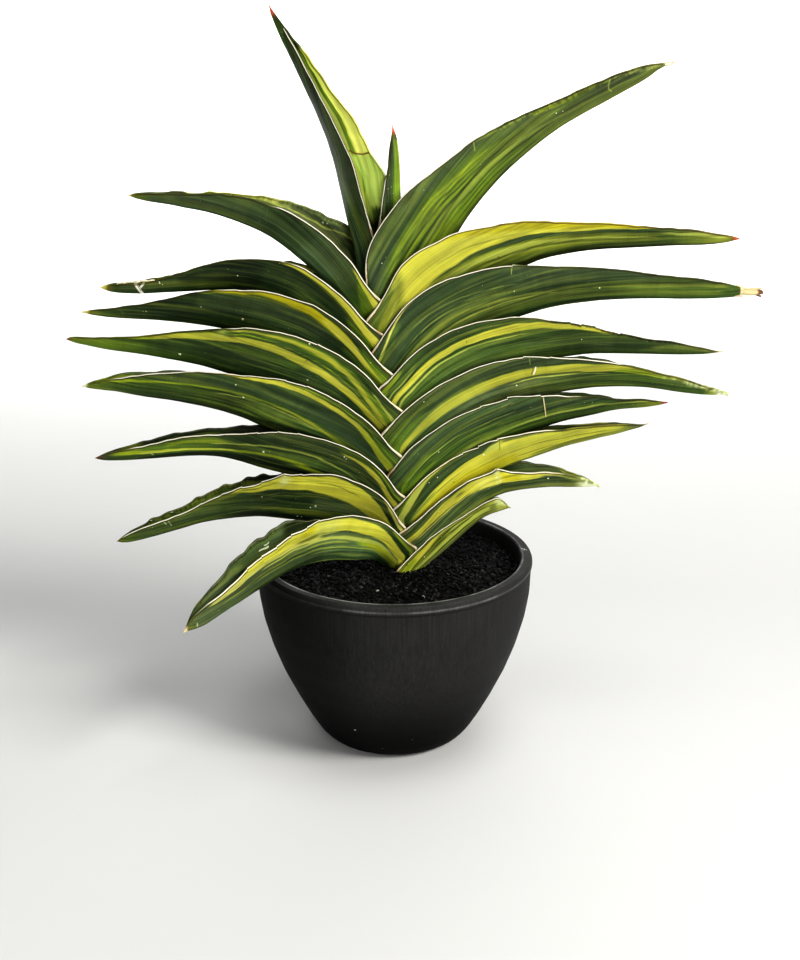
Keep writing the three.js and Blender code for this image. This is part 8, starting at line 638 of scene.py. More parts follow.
class Leaf:
    def __init__(self, name, side, length, near, keel, far):
        self.name, self.side, self.length = name, side, length
        x = np.linspace(0, len(near) - 1, ROWS)
        lines = curve(np.array(near, float), x)
        step = np.r_[0, np.cumsum(np.linalg.norm(np.diff(lines, axis=0), axis=1))]
        share = step / np.interp(13, np.interp(x, np.arange(len(STATION)), STATION), step)
        for lo, hi, *gap in FINE.get(name, []):    # more rows where a scar or a painted highlight crosses the leaf
            x = np.r_[x, np.interp(np.arange(lo, hi, (gap[0] if gap else 0.4) / length), share, x[:ROWS])]
        x = np.sort(x)
        x = x[np.r_[True, np.diff(x) > 1e-3]]
        self.n = len(x)
        self.x = x
        for st, rise in FAR_RISE.get(name, {}).items():
            far[st] = [far[st][0], far[st][1], far[st][2] + rise]
        self.near, self.keel, self.far = (curve(np.array(p, float), x) for p in (near, keel, far))
        # the margins are a little wavy
        along = np.interp(x, np.arange(ROWS) * (len(near) - 1) / (ROWS - 1), step)
        along_all = np.interp(13, np.interp(x, np.arange(len(STATION)), STATION), along)
        free = ramp(along / step[-1], 0.03, 0.1) * (1 - ramp(along / step[-1], 0.7, 0.8))
        for k, line in enumerate((self.near, self.far)):
            up = (self.near + self.far) / 2 - self.keel
            up = up / np.linalg.norm(up, axis=1)[:, None]
            ragged = RAGGED.get(name, 1.0) if k else 1.0
            wave = 0.3 * noise(along / 16, along * 0, 31 + k + int(length)) + (0.22 + 0.32 * k) * ragged * noise(along / 6, along * 0, 33 + k + int(length))
            line += up * (wave * free)[:, None]
            if k == 0:
                self.nick = along * 0
                for q0, rise, run in NICKS.get(name, []):
                    s = (along - q0 * along_all) * np.sign(run)
                    self.nick += rise * (s >= 0) * np.exp(-np.maximum(s, 0) / abs(run))
                self.nick = up * self.nick[:, None]
        self.finish_frame(np.interp(x, np.arange(len(STATION)), STATION))

    def finish_frame(self, u):
        self.u = u
        self.mid = (self.near + self.far) / 2
        self.half = np.linalg.norm(self.near - self.far, axis=1) / 2
        self.depth = np.linalg.norm(self.mid - self.keel, axis=1)
        solid = self.depth * (0.62 - 0.27 * smooth(np.minimum(u / 4, 1)))
        self.base = smooth((u - 8) / 4)
        solid = solid * (1 - self.base) + np.minimum(solid, 6.5) * self.base
        sheath = smooth((u - 13) / 2.2)
        self.solid = np.minimum(solid * (1 - sheath) + 2.6 * sheath, 0.6 * self.depth)
        self.thick = np.minimum(MARGIN_THICK, 0.55 * self.half)
        # distance from the tip along the near edge, as a share of the part that shows
        step = np.r_[0, np.cumsum(np.linalg.norm(np.diff(self.near, axis=0), axis=1))]
        self.s = step
        self.q = step / np.interp(13, u, step)
        self.press = [np.zeros((self.n, GP + 1)), np.zeros((self.n, GP + 1))]

    def edge(self, side):
        return self.near if side < 0 else self.far

    def outside(self, side, g):
        g = np.asarray(g, float)[None, :, None]
        p = self.keel[:, None] + (self.mid - self.keel)[:, None] * g + (self.edge(side) - self.mid)[:, None] * hull(g)
        return p + self.nick[:, None] * np.clip((g - 0.84) / 0.16, 0, 1) ** 1.5 if side < 0 else p

    def inside(self, side, g):
        g = np.asarray(g, float)[None, :, None]
        t = (self.solid / self.depth)[:, None]
        low = (self.keel + (self.mid - self.keel) * t)[:, None]
        b = self.base[:, None, None]
        shape = channel(g) * (1 - b) + hull(g) * b
        p = low + (self.mid[:, None] - low) * g + (self.edge(side) - self.mid)[:, None] * (1 - self.thick / self.half)[:, None, None] * shape
        return p + self.nick[:, None] * np.clip((g - 0.84) / 0.16, 0, 1) ** 1.5 if side < 0 else p

    def pressed(self, side, g):
        """How far each row's point at g (rows x n) is pressed in."""
        p = self.press[0 if side < 0 else 1]
        a = np.clip(g, 0, 1) * GP
        j = np.clip(np.floor(a).astype(int), 0, GP - 1)
        t = a - j
        r = np.arange(self.n)[:, None]
        jm, jn = np.maximum(j - 1, 0), np.minimum(j + 2, GP)
        a0, a1, a2, a3 = p[r, jm], p[r, j], p[r, j + 1], p[r, jn]
        v = 0.5 * (2 * a1 + (a2 - a0) * t + (2 * a0 - 5 * a1 + 4 * a2 - a3) * t**2 + (3 * a1 - a0 - 3 * a2 + a3) * t**3)
        return np.clip(v, np.minimum(a1, a2), np.maximum(a1, a2))

    def outer(self, side, g):
        g = np.asarray(g, float)
        p = self.outside(side, g)
        p[..., 1] += -side * self.pressed(side, np.repeat(g[None], self.n, 0))
        return p

    def inner(self, side, g):
        g = np.asarray(g, float)
        p = self.inside(side, g)
        t = (self.solid / self.depth)[:, None]
        p[..., 1] += -side * self.pressed(side, t + (1 - t) * g[None])
        return p


def cover_at(grid, empty, x, z):
    a, b = (x - X0) / CELL, (z - Z0) / CELL
    i, k = np.clip(np.floor(a).astype(int), 0, NXC - 2), np.clip(np.floor(b).astype(int), 0, NZC - 2)
    s, t = np.clip(a - i, 0, 1), np.clip(b - k, 0, 1)
    v = np.stack([grid[i, k], grid[i + 1, k], grid[i, k + 1], grid[i + 1, k + 1]])
    w = np.stack([(1 - s) * (1 - t), s * (1 - t), (1 - s) * t, s * t])
    ok = v != empty
    w = w * ok
    tot = w.sum(0)
    return np.where(tot > 0.3, (np.where(ok, v, 0) * w).sum(0) / np.maximum(tot, 1e-9), empty)


def spread(need, pos, rounds=70):
    """Ease each pressed place out at no more than SLOPE."""
    out = need.copy()
    along = np.linalg.norm(np.diff(pos[..., [0, 2]], axis=0), axis=-1) * SLOPE
    across = np.linalg.norm(np.diff(pos[..., [0, 2]], axis=1), axis=-1) * SLOPE
    for _ in range(rounds):
        out[1:] = np.maximum(out[1:], out[:-1] - along)
        out[:-1] = np.maximum(out[:-1], out[1:] - along)
        out[:, 1:] = np.maximum(out[:, 1:], out[:, :-1] - across)
        out[:, :-1] = np.maximum(out[:, :-1], out[:, 1:] - across)
    return out


def place(leaf):
    """Press the leaf's flanks in behind the leaves that clasp it, then let it cover the next ones."""
    g = np.linspace(0, 1, GP + 1)
    for n, side in enumerate((-1, 1)):
        sign = -side
        grid, empty = (COVER_FRONT, -1e9) if side < 0 else (COVER_BACK, 1e9)
        pos = leaf.outside(side, g)
        y = cover_at(grid, empty, pos[..., 0], pos[..., 2])
        need = np.where(y == empty, 0, np.maximum(0, (y - pos[..., 1]) * sign + GAP))
        limit = np.maximum(0, np.abs(pos[..., 1] - leaf.keel[:, None, 1]) - 0.6 - 0.5 * g[None])
        need = np.minimum(need, limit)
        out = np.minimum(spread(need, pos), limit)
        for _ in range(8):
            q = np.pad(out, 1, mode="edge")
            out = np.minimum(np.maximum(need, (q[1:-1, 1:-1] * 2 + q[:-2, 1:-1] + q[2:, 1:-1] + q[1:-1, :-2] + q[1:-1, 2:]) / 6), limit)
            out[:, 0] = 0
        leaf.press[n] = out
    for n, side in enumerate((-1, 1)):
        grid, low = (COVER_FRONT, True) if side < 0 else (COVER_BACK, False)
        p = leaf.inner(side, np.linspace(0, 1, 41))
        up = leaf.mid - leaf.keel
        up = up * np.array([1, 0, 1])
        up /= np.linalg.norm(up, axis=1)[:, None] + 1e-9
        p = np.concatenate([p, p[:, -1:] + up[:, None] * 0.7, p[:, -1:] + up[:, None] * 1.4], 1)
        a = np.linspace(0, leaf.n - 1, (leaf.n - 1) * 6 + 1)
        i = np.minimum(a.astype(int), leaf.n - 2)
        p = p[i] + (p[i + 1] - p[i]) * (a - i)[:, None, None]
        b = np.linspace(0, p.shape[1] - 1, (p.shape[1] - 1) * 3 + 1)
        j = np.minimum(b.astype(int), p.shape[1] - 2)
        p = p[:, j] + (p[:, j + 1] - p[:, j]) * (b - j)[None, :, None]
        ix = np.clip(((p[..., 0] - X0) / CELL).round().astype(int), 0, NXC - 1).ravel()
        iz = np.clip(((p[..., 2] - Z0) / CELL).round().astype(int), 0, NZC - 1).ravel()
        if low:
            np.maximum.at(grid, (ix, iz), p[..., 1].ravel())
        else:
            np.minimum.at(grid, (ix, iz), p[..., 1].ravel())
# ---------- colour on a leaf ----------
def eased(xs, ys, x):
    """A line through the points, with its corners rounded."""
    return (np.interp(x - 0.012, xs, ys) + 2 * np.interp(x, xs, ys) + np.interp(x + 0.012, xs, ys)) / 4


def lay(rgb, tone, alpha):
    return rgb + (np.array(TONE[tone], float) - rgb) * alpha[..., None]


def line_mask(line, width, q, g, long_mm, wide_mm):
    """1 on a thin line drawn through (q, g) points, 0 away from it. width in mm."""
    best = np.full(q.shape, 1e9)
    for (q0, g0), (q1, g1) in zip(line[:-1], line[1:]):
        ax, ay = (q - q0) * long_mm, (g - g0) * wide_mm
        bx, by = (q1 - q0) * long_mm, (g1 - g0) * wide_mm
        t = np.clip((ax * bx + ay * by) / np.maximum(bx * bx + by * by, 1e-6), 0, 1)
        best = np.minimum(best, np.hypot(ax - t * bx, ay - t * by))
    return 1 - ramp(best, width * 0.35, width * 0.75)


def paint(leaf, seed, q, g, wide, from_edge, inner=False, far=False):
    """Colours of a flank at (q, g); wide is the flank's width in mm, from_edge the distance to the margin in mm."""
    look = PAINT[leaf.name]
    long_mm = leaf.length
    if far and not inner:
        q = q + 0.02 * noise(q * 3, g * 0 + 2.5, seed)
    wave = 0.012 * noise(q * long_mm / 28, g * 5, seed + 1) + 0.006 * noise(q * long_mm / 11, g * 9, seed + 2)
    if far and "inner" not in look:
        wave = wave + 0.05 * noise(q * 2.2, g * 2.5, seed + 3)
    streak = noise(q * long_mm / 34, g * wide / 1.1, seed + 4) * 0.6 + noise(q * long_mm / 16, g * wide / 0.55, seed + 5) * 0.4
    qs, tones = zip(*look["base"])
    rgb = np.stack([np.interp(q, qs, [TONE[t][k] for t in tones]) for k in range(3)], -1).astype(float)
    bands = look["inner"] if far and "inner" in look else look["bands"]
    for tone, strength, soft, line in bands:
        xs, lo, hi = zip(*line)
        low, high = eased(xs, lo, q), eased(xs, hi, q)
        d = np.minimum(g + wave - low, high - g - wave)
        if soft <= 0.015 and tone in ("moss", "pale", "leafy", "lime", "butter"):
            strength = min(strength * 1.3, 1)      # the hair-thin lines
        soft = max(soft, 0.006)
        d = d + streak * min(0.55 * soft + 0.004, 0.03)
        alpha = ramp(d, -soft * 0.6, soft * 0.6)
        if soft > 0.03:
            alpha = alpha * (1 + 0.25 * streak * (1 - alpha))
        ends = np.ones_like(q)
        if xs[0] > 0.01:
            ends = ends * ramp(q + 0.01 * streak, xs[0] - 0.012, xs[0] + 0.02)
        if xs[-1] < 1.0:
            ends = ends * (1 - ramp(q + 0.015 * streak, xs[-1] - 0.02, xs[-1] + 0.015))
        rgb = lay(rgb, tone, np.clip(alpha * ends, 0, 1) * strength)
    # fine lines along the leaf and faint bands across it
    light = rgb.mean(-1) / 130
    dim = np.clip(1.25 - light, 0.15, 1)
    for reach_mm, gap_mm, tone, amount, key in ((70, 2.6, "moss", 0.42, 20), (40, 1.3, "moss", 0.34, 21), (55, 1.9, "deep", 0.5, 22), (26, 0.95, "grey", 0.22, 23)):
        mark = ramp(noise(q * long_mm / reach_mm, (g + wave * 0.5) * wide / gap_mm, seed + key), 0.12, 0.75)
        rgb = lay(rgb, tone, mark * amount * dim)
    for reach_mm, gap_mm, tone, amount, key in ((60, 2.2, "moss", 0.34, 24), (35, 1.1, "olive", 0.26, 25), (50, 3.4, "butter", 0.3, 26)):
        mark = ramp(noise(q * long_mm / reach_mm, (g + wave * 0.5) * wide / gap_mm, seed + key), 0.2, 0.8)
        rgb = lay(rgb, tone, mark * amount * np.clip(light - 0.55, 0, 1))
    fine = noise(q * long_mm / 55, g * wide / 0.9, seed + 6)
    coarse = noise(q * long_mm / 80, g * wide / 3.0, seed + 7)
    cross = noise(q * long_mm / 5, g * 1.2 + 0.3 * noise(q * 9, g, seed), seed + 8)
    blotch = noise(q * long_mm / 22, g * wide / 12, seed + 9)
    calm = 1 - 0.6 * np.clip(light - 0.6, 0, 0.8) / 0.8
    k = 1 + (fine * 0.14 + coarse * 0.1 + cross * 0.045) * calm + blotch * 0.07
    rgb = rgb * k[..., None]
    if not inner and not far:      # painted light: paler low down on the flank beside the stem, standing in for fill light there
        low = ramp(q, 0.4, 0.85) * (1 - ramp(g, 0.3, 0.75)) * np.clip(1.5 - 1.2 * light, 0, 1) * {"leaf_right_9": 0, "leaf_right_4": 0.5}.get(leaf.name, 1.35 if "left" in leaf.name else 1)
        rgb = rgb * (1 + 0.36 * low[..., None]) + low[..., None] * np.array([7, 7, 12.0])
    greenish = np.clip(coarse, 0, 1) * np.clip(1.1 - light, 0, 1) * 0.12
    rgb = lay(rgb, "moss", greenish * ramp(g, 0.0, 0.2))
    # pale flecks across the dark parts, as in a snake plant
    fleck = ramp(noise(q * long_mm / 3.2, g * wide / 9, seed + 10) + 0.5 * cross, 0.75, 1.25)
    rgb = lay(rgb, "grey", fleck * 0.16 * np.clip(1.1 - light, 0, 1))
    # scars, and on some insides painted highlights, drawn as thin lines
    for tone, strength, width, line in look.get("inscars" if inner else "scars", []) if (inner == far) else []:
        rgb = lay(rgb, tone, strength * line_mask(line, width, q, g, long_mm, wide))
    # the dry tip
    tone, reach = look["tip"]
    edge = q + 0.25 * reach * streak + 0.1 * reach * noise(g * 4, q * 30, seed + 11)
    crisp = leaf.name == "leaf_right_7"
    brown = 1 - (ramp(q, reach * 0.975, reach * 0.995) if crisp else ramp(edge, reach * 0.9, reach * 1.5))
    rgb = lay(rgb, "brown" if tone != "ivory" else "moss", 0.55 * (1 - (ramp(q, reach * 1.0, reach * 1.08) if crisp else ramp(edge, reach * 1.1, reach * 2.4))))
    rgb = lay(rgb, tone, brown)
    if leaf.name in MOTTLED:
        upto = MOTTLED[leaf.name]
        spots = ramp(noise(q * long_mm / 3.2, g * wide / 2.0, seed + 17) + 0.5 * noise(q * long_mm / 6, g * wide / 5, seed + 18), -0.05, 0.4)
        rgb = lay(rgb, "pale", 0.5 * ramp(g, 0.5, 0.85) * (1 - ramp(q, upto * 0.5, upto)))
        rgb = lay(rgb, "ivory", 0.5 * spots * ramp(g, 0.4, 0.8) * (1 - ramp(q, upto * 0.5, upto)))
        rgb = lay(rgb, "grey", 0.5 * (1 - spots) * ramp(g, 0.3, 0.7) * (1 - ramp(q, upto * 0.6, upto)) * ramp(q, 0.01, 0.03))
    # the hard pale margin with a thin dark line beside it
    wander = 0.08 * noise(q * long_mm / 4, g * 0, seed + 12) + 0.06 * noise(q * long_mm / 1.7, g * 0, seed + 13)
    meet = ramp(q, 0.94, 0.99) * (1 - ramp(q, 1.03, 1.1))
    whole = EDGE_FROM[leaf.name]
    whole = ramp(q + 0.02 * noise(q * long_mm / 7, g * 0, seed + 16), whole - 0.03, whole + 0.03)
    rim = 0.04 + 0.12 * whole + wander * 0.8 + (0.75 * meet if not inner and not far else 0) - (0.16 if far else 0)
    on_edge = ramp(q, reach * 1.2, reach * 1.2 + 0.03)
    dark = ramp(from_edge, rim * 0.8, rim + 0.2) * (1 - ramp(from_edge, rim + 0.5, rim + 1.2)) * on_edge
    rgb = rgb * (1 - (0.5 if not inner else 0.3) * dark[..., None])
    rgb = lay(rgb, "brown", 0.3 * dark)
    pale = (1 - ramp(from_edge, rim * 0.75, rim + 0.12)) * on_edge
    dry = 0.5 + 0.5 * noise(q * long_mm / 9, g * 0, seed + 14)
    worn = 0.5 + 0.5 * ramp(noise(q * long_mm / 6, g * 0, seed + 15) + 1.6 * whole, -0.2, 0.8)
    rgb = lay(rgb, "olive" if leaf.name != "leaf_right_8" else "rust", pale * (1 - whole) * (0.5 if leaf.name != "leaf_right_8" else 0.45 * dry))
    rgb = lay(rgb, "deep", pale * (1 - whole) * 0.45 * ramp(dry, 0.3, 0.8))
    on = pale * whole * worn * (0.3 if far else 1)
    rgb = lay(rgb, "cream", on * 0.95)
    rgb = lay(rgb, "straw", on * np.clip(0.18 * dry + 0.8 * meet * (0.6 + 0.5 * streak), 0, 0.9))
    rgb = lay(rgb, "brown", on * np.clip(0.6 * meet * ramp(streak, -0.1, 0.5), 0, 1))
    bars = np.zeros_like(q)
    if (inner, far) in BARS.get(leaf.name, {}):
        q_lo, q_hi, mm, amount = BARS[leaf.name][inner, far]
        bars = amount * ramp(q, q_lo, q_lo + 0.03) * (1 - ramp(q, q_hi - 0.05, q_hi)) * (1 - ramp(from_edge, mm * 0.4, mm))
    return np.concatenate([np.clip(rgb, 3, 250), bars[..., None]], -1)


def linear(rgb):
    c = np.clip(rgb[..., :3] / 255, 0, 1)
    c = np.where(c <= 0.04045, c / 12.92, ((c + 0.055) / 1.055) ** 2.4)
    return np.concatenate([c, 1 - rgb[..., 3:]], -1) if rgb.shape[-1] == 4 else c


# ---------- meshes ----------
def make_mesh(name, verts, faces, material, colour=None, place_mm=None, edge=None, flat=False):
    """verts in mm. faces is an array of quads or of triangles, or a list of both kinds."""
    faces = faces if isinstance(faces, list) else [faces]
    sizes = np.concatenate([np.full(len(f), f.shape[1]) for f in faces])
    loops = np.concatenate([f.ravel() for f in faces]).astype(np.int32)
    mesh = bpy.data.meshes.new(name)
    mesh.vertices.add(len(verts))
    mesh.vertices.foreach_set("co", (np.asarray(verts, float) * MM).astype(np.float32).ravel())
    mesh.loops.add(len(loops))
    mesh.loops.foreach_set("vertex_index", loops)
    mesh.polygons.add(len(sizes))
    start = np.r_[0, np.cumsum(sizes)[:-1]].astype(np.int32)
    mesh.polygons.foreach_set("loop_start", start)
    mesh.polygons.foreach_set("loop_total", sizes.astype(np.int32))
    mesh.polygons.foreach_set("use_smooth", np.full(len(sizes), not flat))
    if colour is not None:
        a = mesh.attributes.new("tone", "FLOAT_COLOR", "POINT")
        a.data.foreach_set("color", np.c_[colour, np.ones((len(colour), 4 - colour.shape[1]))].astype(np.float32).ravel())
    if place_mm is not None:
        a = mesh.attributes.new("grow", "FLOAT_VECTOR", "POINT")
        a.data.foreach_set("vector", np.asarray(place_mm, np.float32).ravel())
    if edge is not None:
        a = mesh.attributes.new("rind", "FLOAT", "POINT")
        a.data.foreach_set("value", np.asarray(edge, np.float32))
    mesh.materials.append(material)
    mesh.update(calc_edges=True)
    mesh.validate()
    ob = bpy.data.objects.new(name, mesh)
    bpy.context.scene.collection.objects.link(ob)
    return ob


def settle(ob, node):
    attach(ob, "root")
    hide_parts(node)


def ball(detail=1):
    """Corners and faces of a small ball."""
    t = (1 + 5**0.5) / 2
    v = [(-1, t, 0), (1, t, 0), (-1, -t, 0), (1, -t, 0), (0, -1, t), (0, 1, t), (0, -1, -t), (0, 1, -t), (t, 0, -1), (t, 0, 1), (-t, 0, -1), (-t, 0, 1)]
    f = [(0, 11, 5), (0, 5, 1), (0, 1, 7), (0, 7, 10), (0, 10, 11), (1, 5, 9), (5, 11, 4), (11, 10, 2), (10, 7, 6), (7, 1, 8),
         (3, 9, 4), (3, 4, 2), (3, 2, 6), (3, 6, 8), (3, 8, 9), (4, 9, 5), (2, 4, 11), (6, 2, 10), (8, 6, 7), (9, 8, 1)]
    v = np.array(v, float)
    return v / np.linalg.norm(v, axis=1)[:, None], np.array(f)


NEAR_G = 1 - (1 - np.linspace(0, 1, 72)) ** 1.12
FAR_G = np.linspace(0, 1, 20)
IN_NEAR = np.linspace(0, 1, 10)
OPEN = ("leaf_left_9", "leaf_left_8", "leaf_left_7", "leaf_left_3", "leaf_left_2", "leaf_left_1", "leaf_right_2", "leaf_right_3")  # leaves with the inside of the back flank in view
SHRIVELLED = {"leaf_right_7": (0.056, 0.58), "leaf_right_9": (0.026, 0.1)}  # tips that are dry: up to q, and the share of the width that is left


def leaf_mesh(leaf, seed, material):
    n = leaf.n
    q0 = leaf.q[:, None]
    near = leaf.outer(-1, NEAR_G)
    far = leaf.outer(1, FAR_G)
    IN_FAR = np.linspace(0, 1, 36 if leaf.name in OPEN else 10)
    inn = leaf.inner(-1, IN_NEAR)
    inf = leaf.inner(1, IN_FAR)
    if leaf.name in SHRIVELLED:
        upto, share = SHRIVELLED[leaf.name]
        for p in (near, far, inn, inf):
            mid = (leaf.near + leaf.keel + leaf.far)[:, None] / 3
            wob = 1 + 0.25 * noise(leaf.q[:, None] * 240, np.linspace(0, 4, p.shape[1])[None], seed)
            k = 1 - (1 - share * wob) * (1 - ramp(leaf.q[:, None], upto * 0.975, upto * 1.0))
            p[:] = mid + (p - mid) * k[..., None]
    cols, rgb, gs, rind, side = [], [], [], [], []

    def spans(p):
        w = np.r_["1", np.zeros((n, 1)), np.cumsum(np.linalg.norm(np.diff(p, axis=1), axis=2), axis=1)]
        return w

    def put(p, tone, g, r, s):
        cols.append(p), rgb.append(tone), gs.append(g), rind.append(r), side.append(np.full(g.shape, float(s)))

    for outer, g_out, inside, g_in, s, far_side in ((near, NEAR_G, inn, IN_NEAR, 0, False), (far, FAR_G, inf, IN_FAR, 1, True)):
        w = spans(outer)
        wide = w[:, -1:]
        g = np.repeat(g_out[None], n, 0)
        edge_mm = wide - w
        tone = paint(leaf, seed + 40 * s, np.repeat(q0, g.shape[1], 1), g, np.repeat(wide, g.shape[1], 1), edge_mm, False, far_side)
        # the rounded margin from the outside edge over to the inside edge
        a, b = outer[:, -1], inside[:, -1]
        up = a - outer[:, -3 if s else -5]
        up = up / np.maximum(np.linalg.norm(up, axis=1)[:, None], 1e-9)
        reach = np.linalg.norm(a - b, axis=1)[:, None]
        t = np.array([0.12, 0.34, 0.66, 0.88])
        bead = a[:, None] + (b - a)[:, None] * t[None, :, None] + up[:, None] * (reach[:, None] * 0.5 * np.sin(np.pi * t)[None, :, None])
        m = len(t)
        btone = paint(leaf, seed + 40 * s, np.repeat(q0, m, 1), np.ones((n, m)), np.repeat(wide, m, 1), np.zeros((n, m)) + 2.6 * np.clip(t - 0.1, 0, 1)[None], False, far_side)
        wi = spans(inside)
        gi = np.repeat(g_in[None], n, 0)
        itone = paint(leaf, seed + 40 * s, np.repeat(q0, gi.shape[1], 1), gi, np.repeat(wi[:, -1:], gi.shape[1], 1), wi[:, -1:] - wi, True, far_side)
        if s == 0:
            put(outer, tone, w, edge_mm, 0)
            put(bead, btone, wide + t[None] * reach, -t[None] * np.ones((n, m)), 0)
            put(inside[:, ::-1], itone[:, ::-1], wi[:, ::-1], (wi[:, -1:] - wi)[:, ::-1], 1)
        else:
            put(inside[:, 1:], itone[:, 1:], wi[:, 1:], (wi[:, -1:] - wi)[:, 1:], 2)
            put(bead[:, ::-1], btone[:, ::-1], (wide + t[None] * reach)[:, ::-1], -np.ones((n, m)), 3)
            put(outer[:, :0:-1], tone[:, :0:-1], w[:, :0:-1], edge_mm[:, :0:-1], 3)
    P, C = np.concatenate(cols, 1), np.concatenate(rgb, 1)
    G, R, S = np.concatenate(gs, 1), np.concatenate(rind, 1), np.concatenate(side, 1)
    c = P.shape[1]
    verts = P.reshape(-1, 3)
    i = np.arange(n - 1)[:, None] * c
    j = np.arange(c)[None]
    k = (np.arange(c)[None] + 1) % c
    quads = np.stack([i + j, i + c + j, i + c + k, i + k], -1).reshape(-1, 4)
    tip = P[0].mean(0) + (P[0].mean(0) - P[2].mean(0)) / max(np.linalg.norm(P[0].mean(0) - P[2].mean(0)), 1e-6) * 1.2
    end = P[-1].mean(0)
    verts = np.r_[verts, [tip], [end]]
    a, b = len(verts) - 2, len(verts) - 1
    ring = np.arange(c)
    caps = np.r_[np.stack([np.full(c, a), ring, (ring + 1) % c], -1), np.stack([np.full(c, b), (n - 1) * c + (ring + 1) % c, (n - 1) * c + ring], -1)]
    tones = np.r_[linear(C.reshape(-1, 4)), linear(np.array([C[0].mean(0), C[-1].mean(0)]))]
    along = np.repeat(leaf.s[:, None], c, 1)
    grow = np.stack([along, G + S * 70, S * 9 + seed], -1).reshape(-1, 3)
    grow = np.r_[grow, [[0, 0, seed]], [[leaf.s[-1], 0, seed]]]
    rind_all = np.r_[R.reshape(-1), [0, 0]]
    # dust and mineral specks that sit on the front
    sv, sf = ball()
    faces = [quads, caps]
    count = len(verts)
    extra_v, extra_f, extra_c, extra_g, extra_r = [], [], [], [], []
    rng = np.random.default_rng(seed)
    look = PAINT[leaf.name]
    marks = [(q, g, r, -1, 1) for q, g, r in look.get("specks", [])] + [(q, g, r, 1, 0) for q, g, r in look.get("inspecks", [])]
    marks += [(rng.uniform(0.1, 0.92), rng.uniform(0.3, 0.97), rng.uniform(0.12, 0.22), -1, 1) for _ in range(7)]
    for q, g, r, s, is_outer in marks:
        row = int(np.argmin(np.abs(leaf.q - q)))
        p = (leaf.outer(s, [g, min(g + 0.02, 1)]) if is_outer else leaf.inner(s, [g, min(g + 0.02, 1)]))
        at = p[row, 0]
        e1 = p[min(row + 1, n - 1), 0] - p[row - 1, 0]
        e2 = p[row, 1] - p[row, 0]
        e1, e2 = e1 / np.linalg.norm(e1), e2 / np.linalg.norm(e2)
        nrm = np.cross(e1, e2)
        nrm = nrm / np.linalg.norm(nrm)
        e2 = np.cross(nrm, e1)
        size = abs(r)
        s3 = sv * (1 + 0.25 * rng.uniform(-1, 1, len(sv)))[:, None]
        v = at + s3[:, :1] * e1 * size * rng.uniform(0.8, 1.3) + s3[:, 1:2] * e2 * size * rng.uniform(0.7, 1.1) + s3[:, 2:] * nrm * size * 0.22
        extra_f.append(sf + count)
        extra_v.append(v)
        extra_c.append(np.c_[np.repeat(linear(np.array([TONE["brown" if r < 0 else "ivory"]], float)) * 0.9, len(v), 0), np.ones(len(v))])
        extra_g.append(np.repeat([[row * 1.0, 5.0, seed]], len(v), 0))
        extra_r.append(np.full(len(v), 9.0))
        count += len(v)
    for points, widths, tones_at in strands(leaf):
        v, f = strand(points, widths)
        extra_f.append(f + count)
        extra_v.append(v)
        extra_c.append(np.c_[np.repeat(linear(np.array([TONE[t] for t in tones_at], float)), 6, 0), np.ones(len(v))])
        extra_g.append(np.c_[np.repeat(np.arange(len(points)) * 4.0, 6), np.tile([0, 1, 2, 3, 4, 5.0], len(points)), np.full(len(v), seed + 3.0)])
        extra_r.append(np.full(len(v), 9.0))
        count += len(v)
    if extra_v:
        verts = np.r_[verts, np.concatenate(extra_v)]
        faces.append(np.concatenate(extra_f))
        tones = np.r_[tones, np.concatenate(extra_c)]
        grow = np.r_[grow, np.concatenate(extra_g)]
        rind_all = np.r_[rind_all, np.concatenate(extra_r)]
    if flipped(verts, quads):
        faces = [f[:, ::-1] for f in faces[:2]] + faces[2:]
    return make_mesh("look_" + leaf.name, verts, faces, material, tones, grow, rind_all)


def strand(points, widths):
    """A thin flat thread of dry leaf, six-sided, closed at both ends."""
    p = np.array(points, float)
    w = np.array(widths, float)
    d = np.gradient(p, axis=0)
    d /= np.linalg.norm(d, axis=1)[:, None]
    b = np.cross(d, [0, 1.0, 0])
    b /= np.linalg.norm(b, axis=1)[:, None]
    y = np.cross(b, d)
    thick = np.minimum(w * 0.5, 0.45)
    ring = [(-0.5, 0), (-0.3, -0.5), (0.3, -0.42), (0.5, 0.05), (0.28, 0.5), (-0.3, 0.4)]
    v = np.stack([p + b * (w * a)[:, None] + y * (thick * c)[:, None] for a, c in ring], 1).reshape(-1, 3)
    n = len(p)
    i, j = np.arange(n - 1)[:, None] * 6, np.arange(6)[None]
    k = (np.arange(6)[None] + 1) % 6
    q = np.stack([i + j, i + 6 + j, i + 6 + k, i + k], -1).reshape(-1, 4)
    f = [q[:, [0, 1, 2]], q[:, [0, 2, 3]], np.array([(0, a, a + 1) for a in range(1, 5)])]
    e = (n - 1) * 6
    f = np.concatenate(f + [np.array([(e, e + a + 1, e + a) for a in range(1, 5)])])
    vol = np.einsum("ij,ij->i", np.cross(v[f[:, 0]], v[f[:, 1]]), v[f[:, 2]]).sum()
    return v, f if vol > 0 else f[:, ::-1]


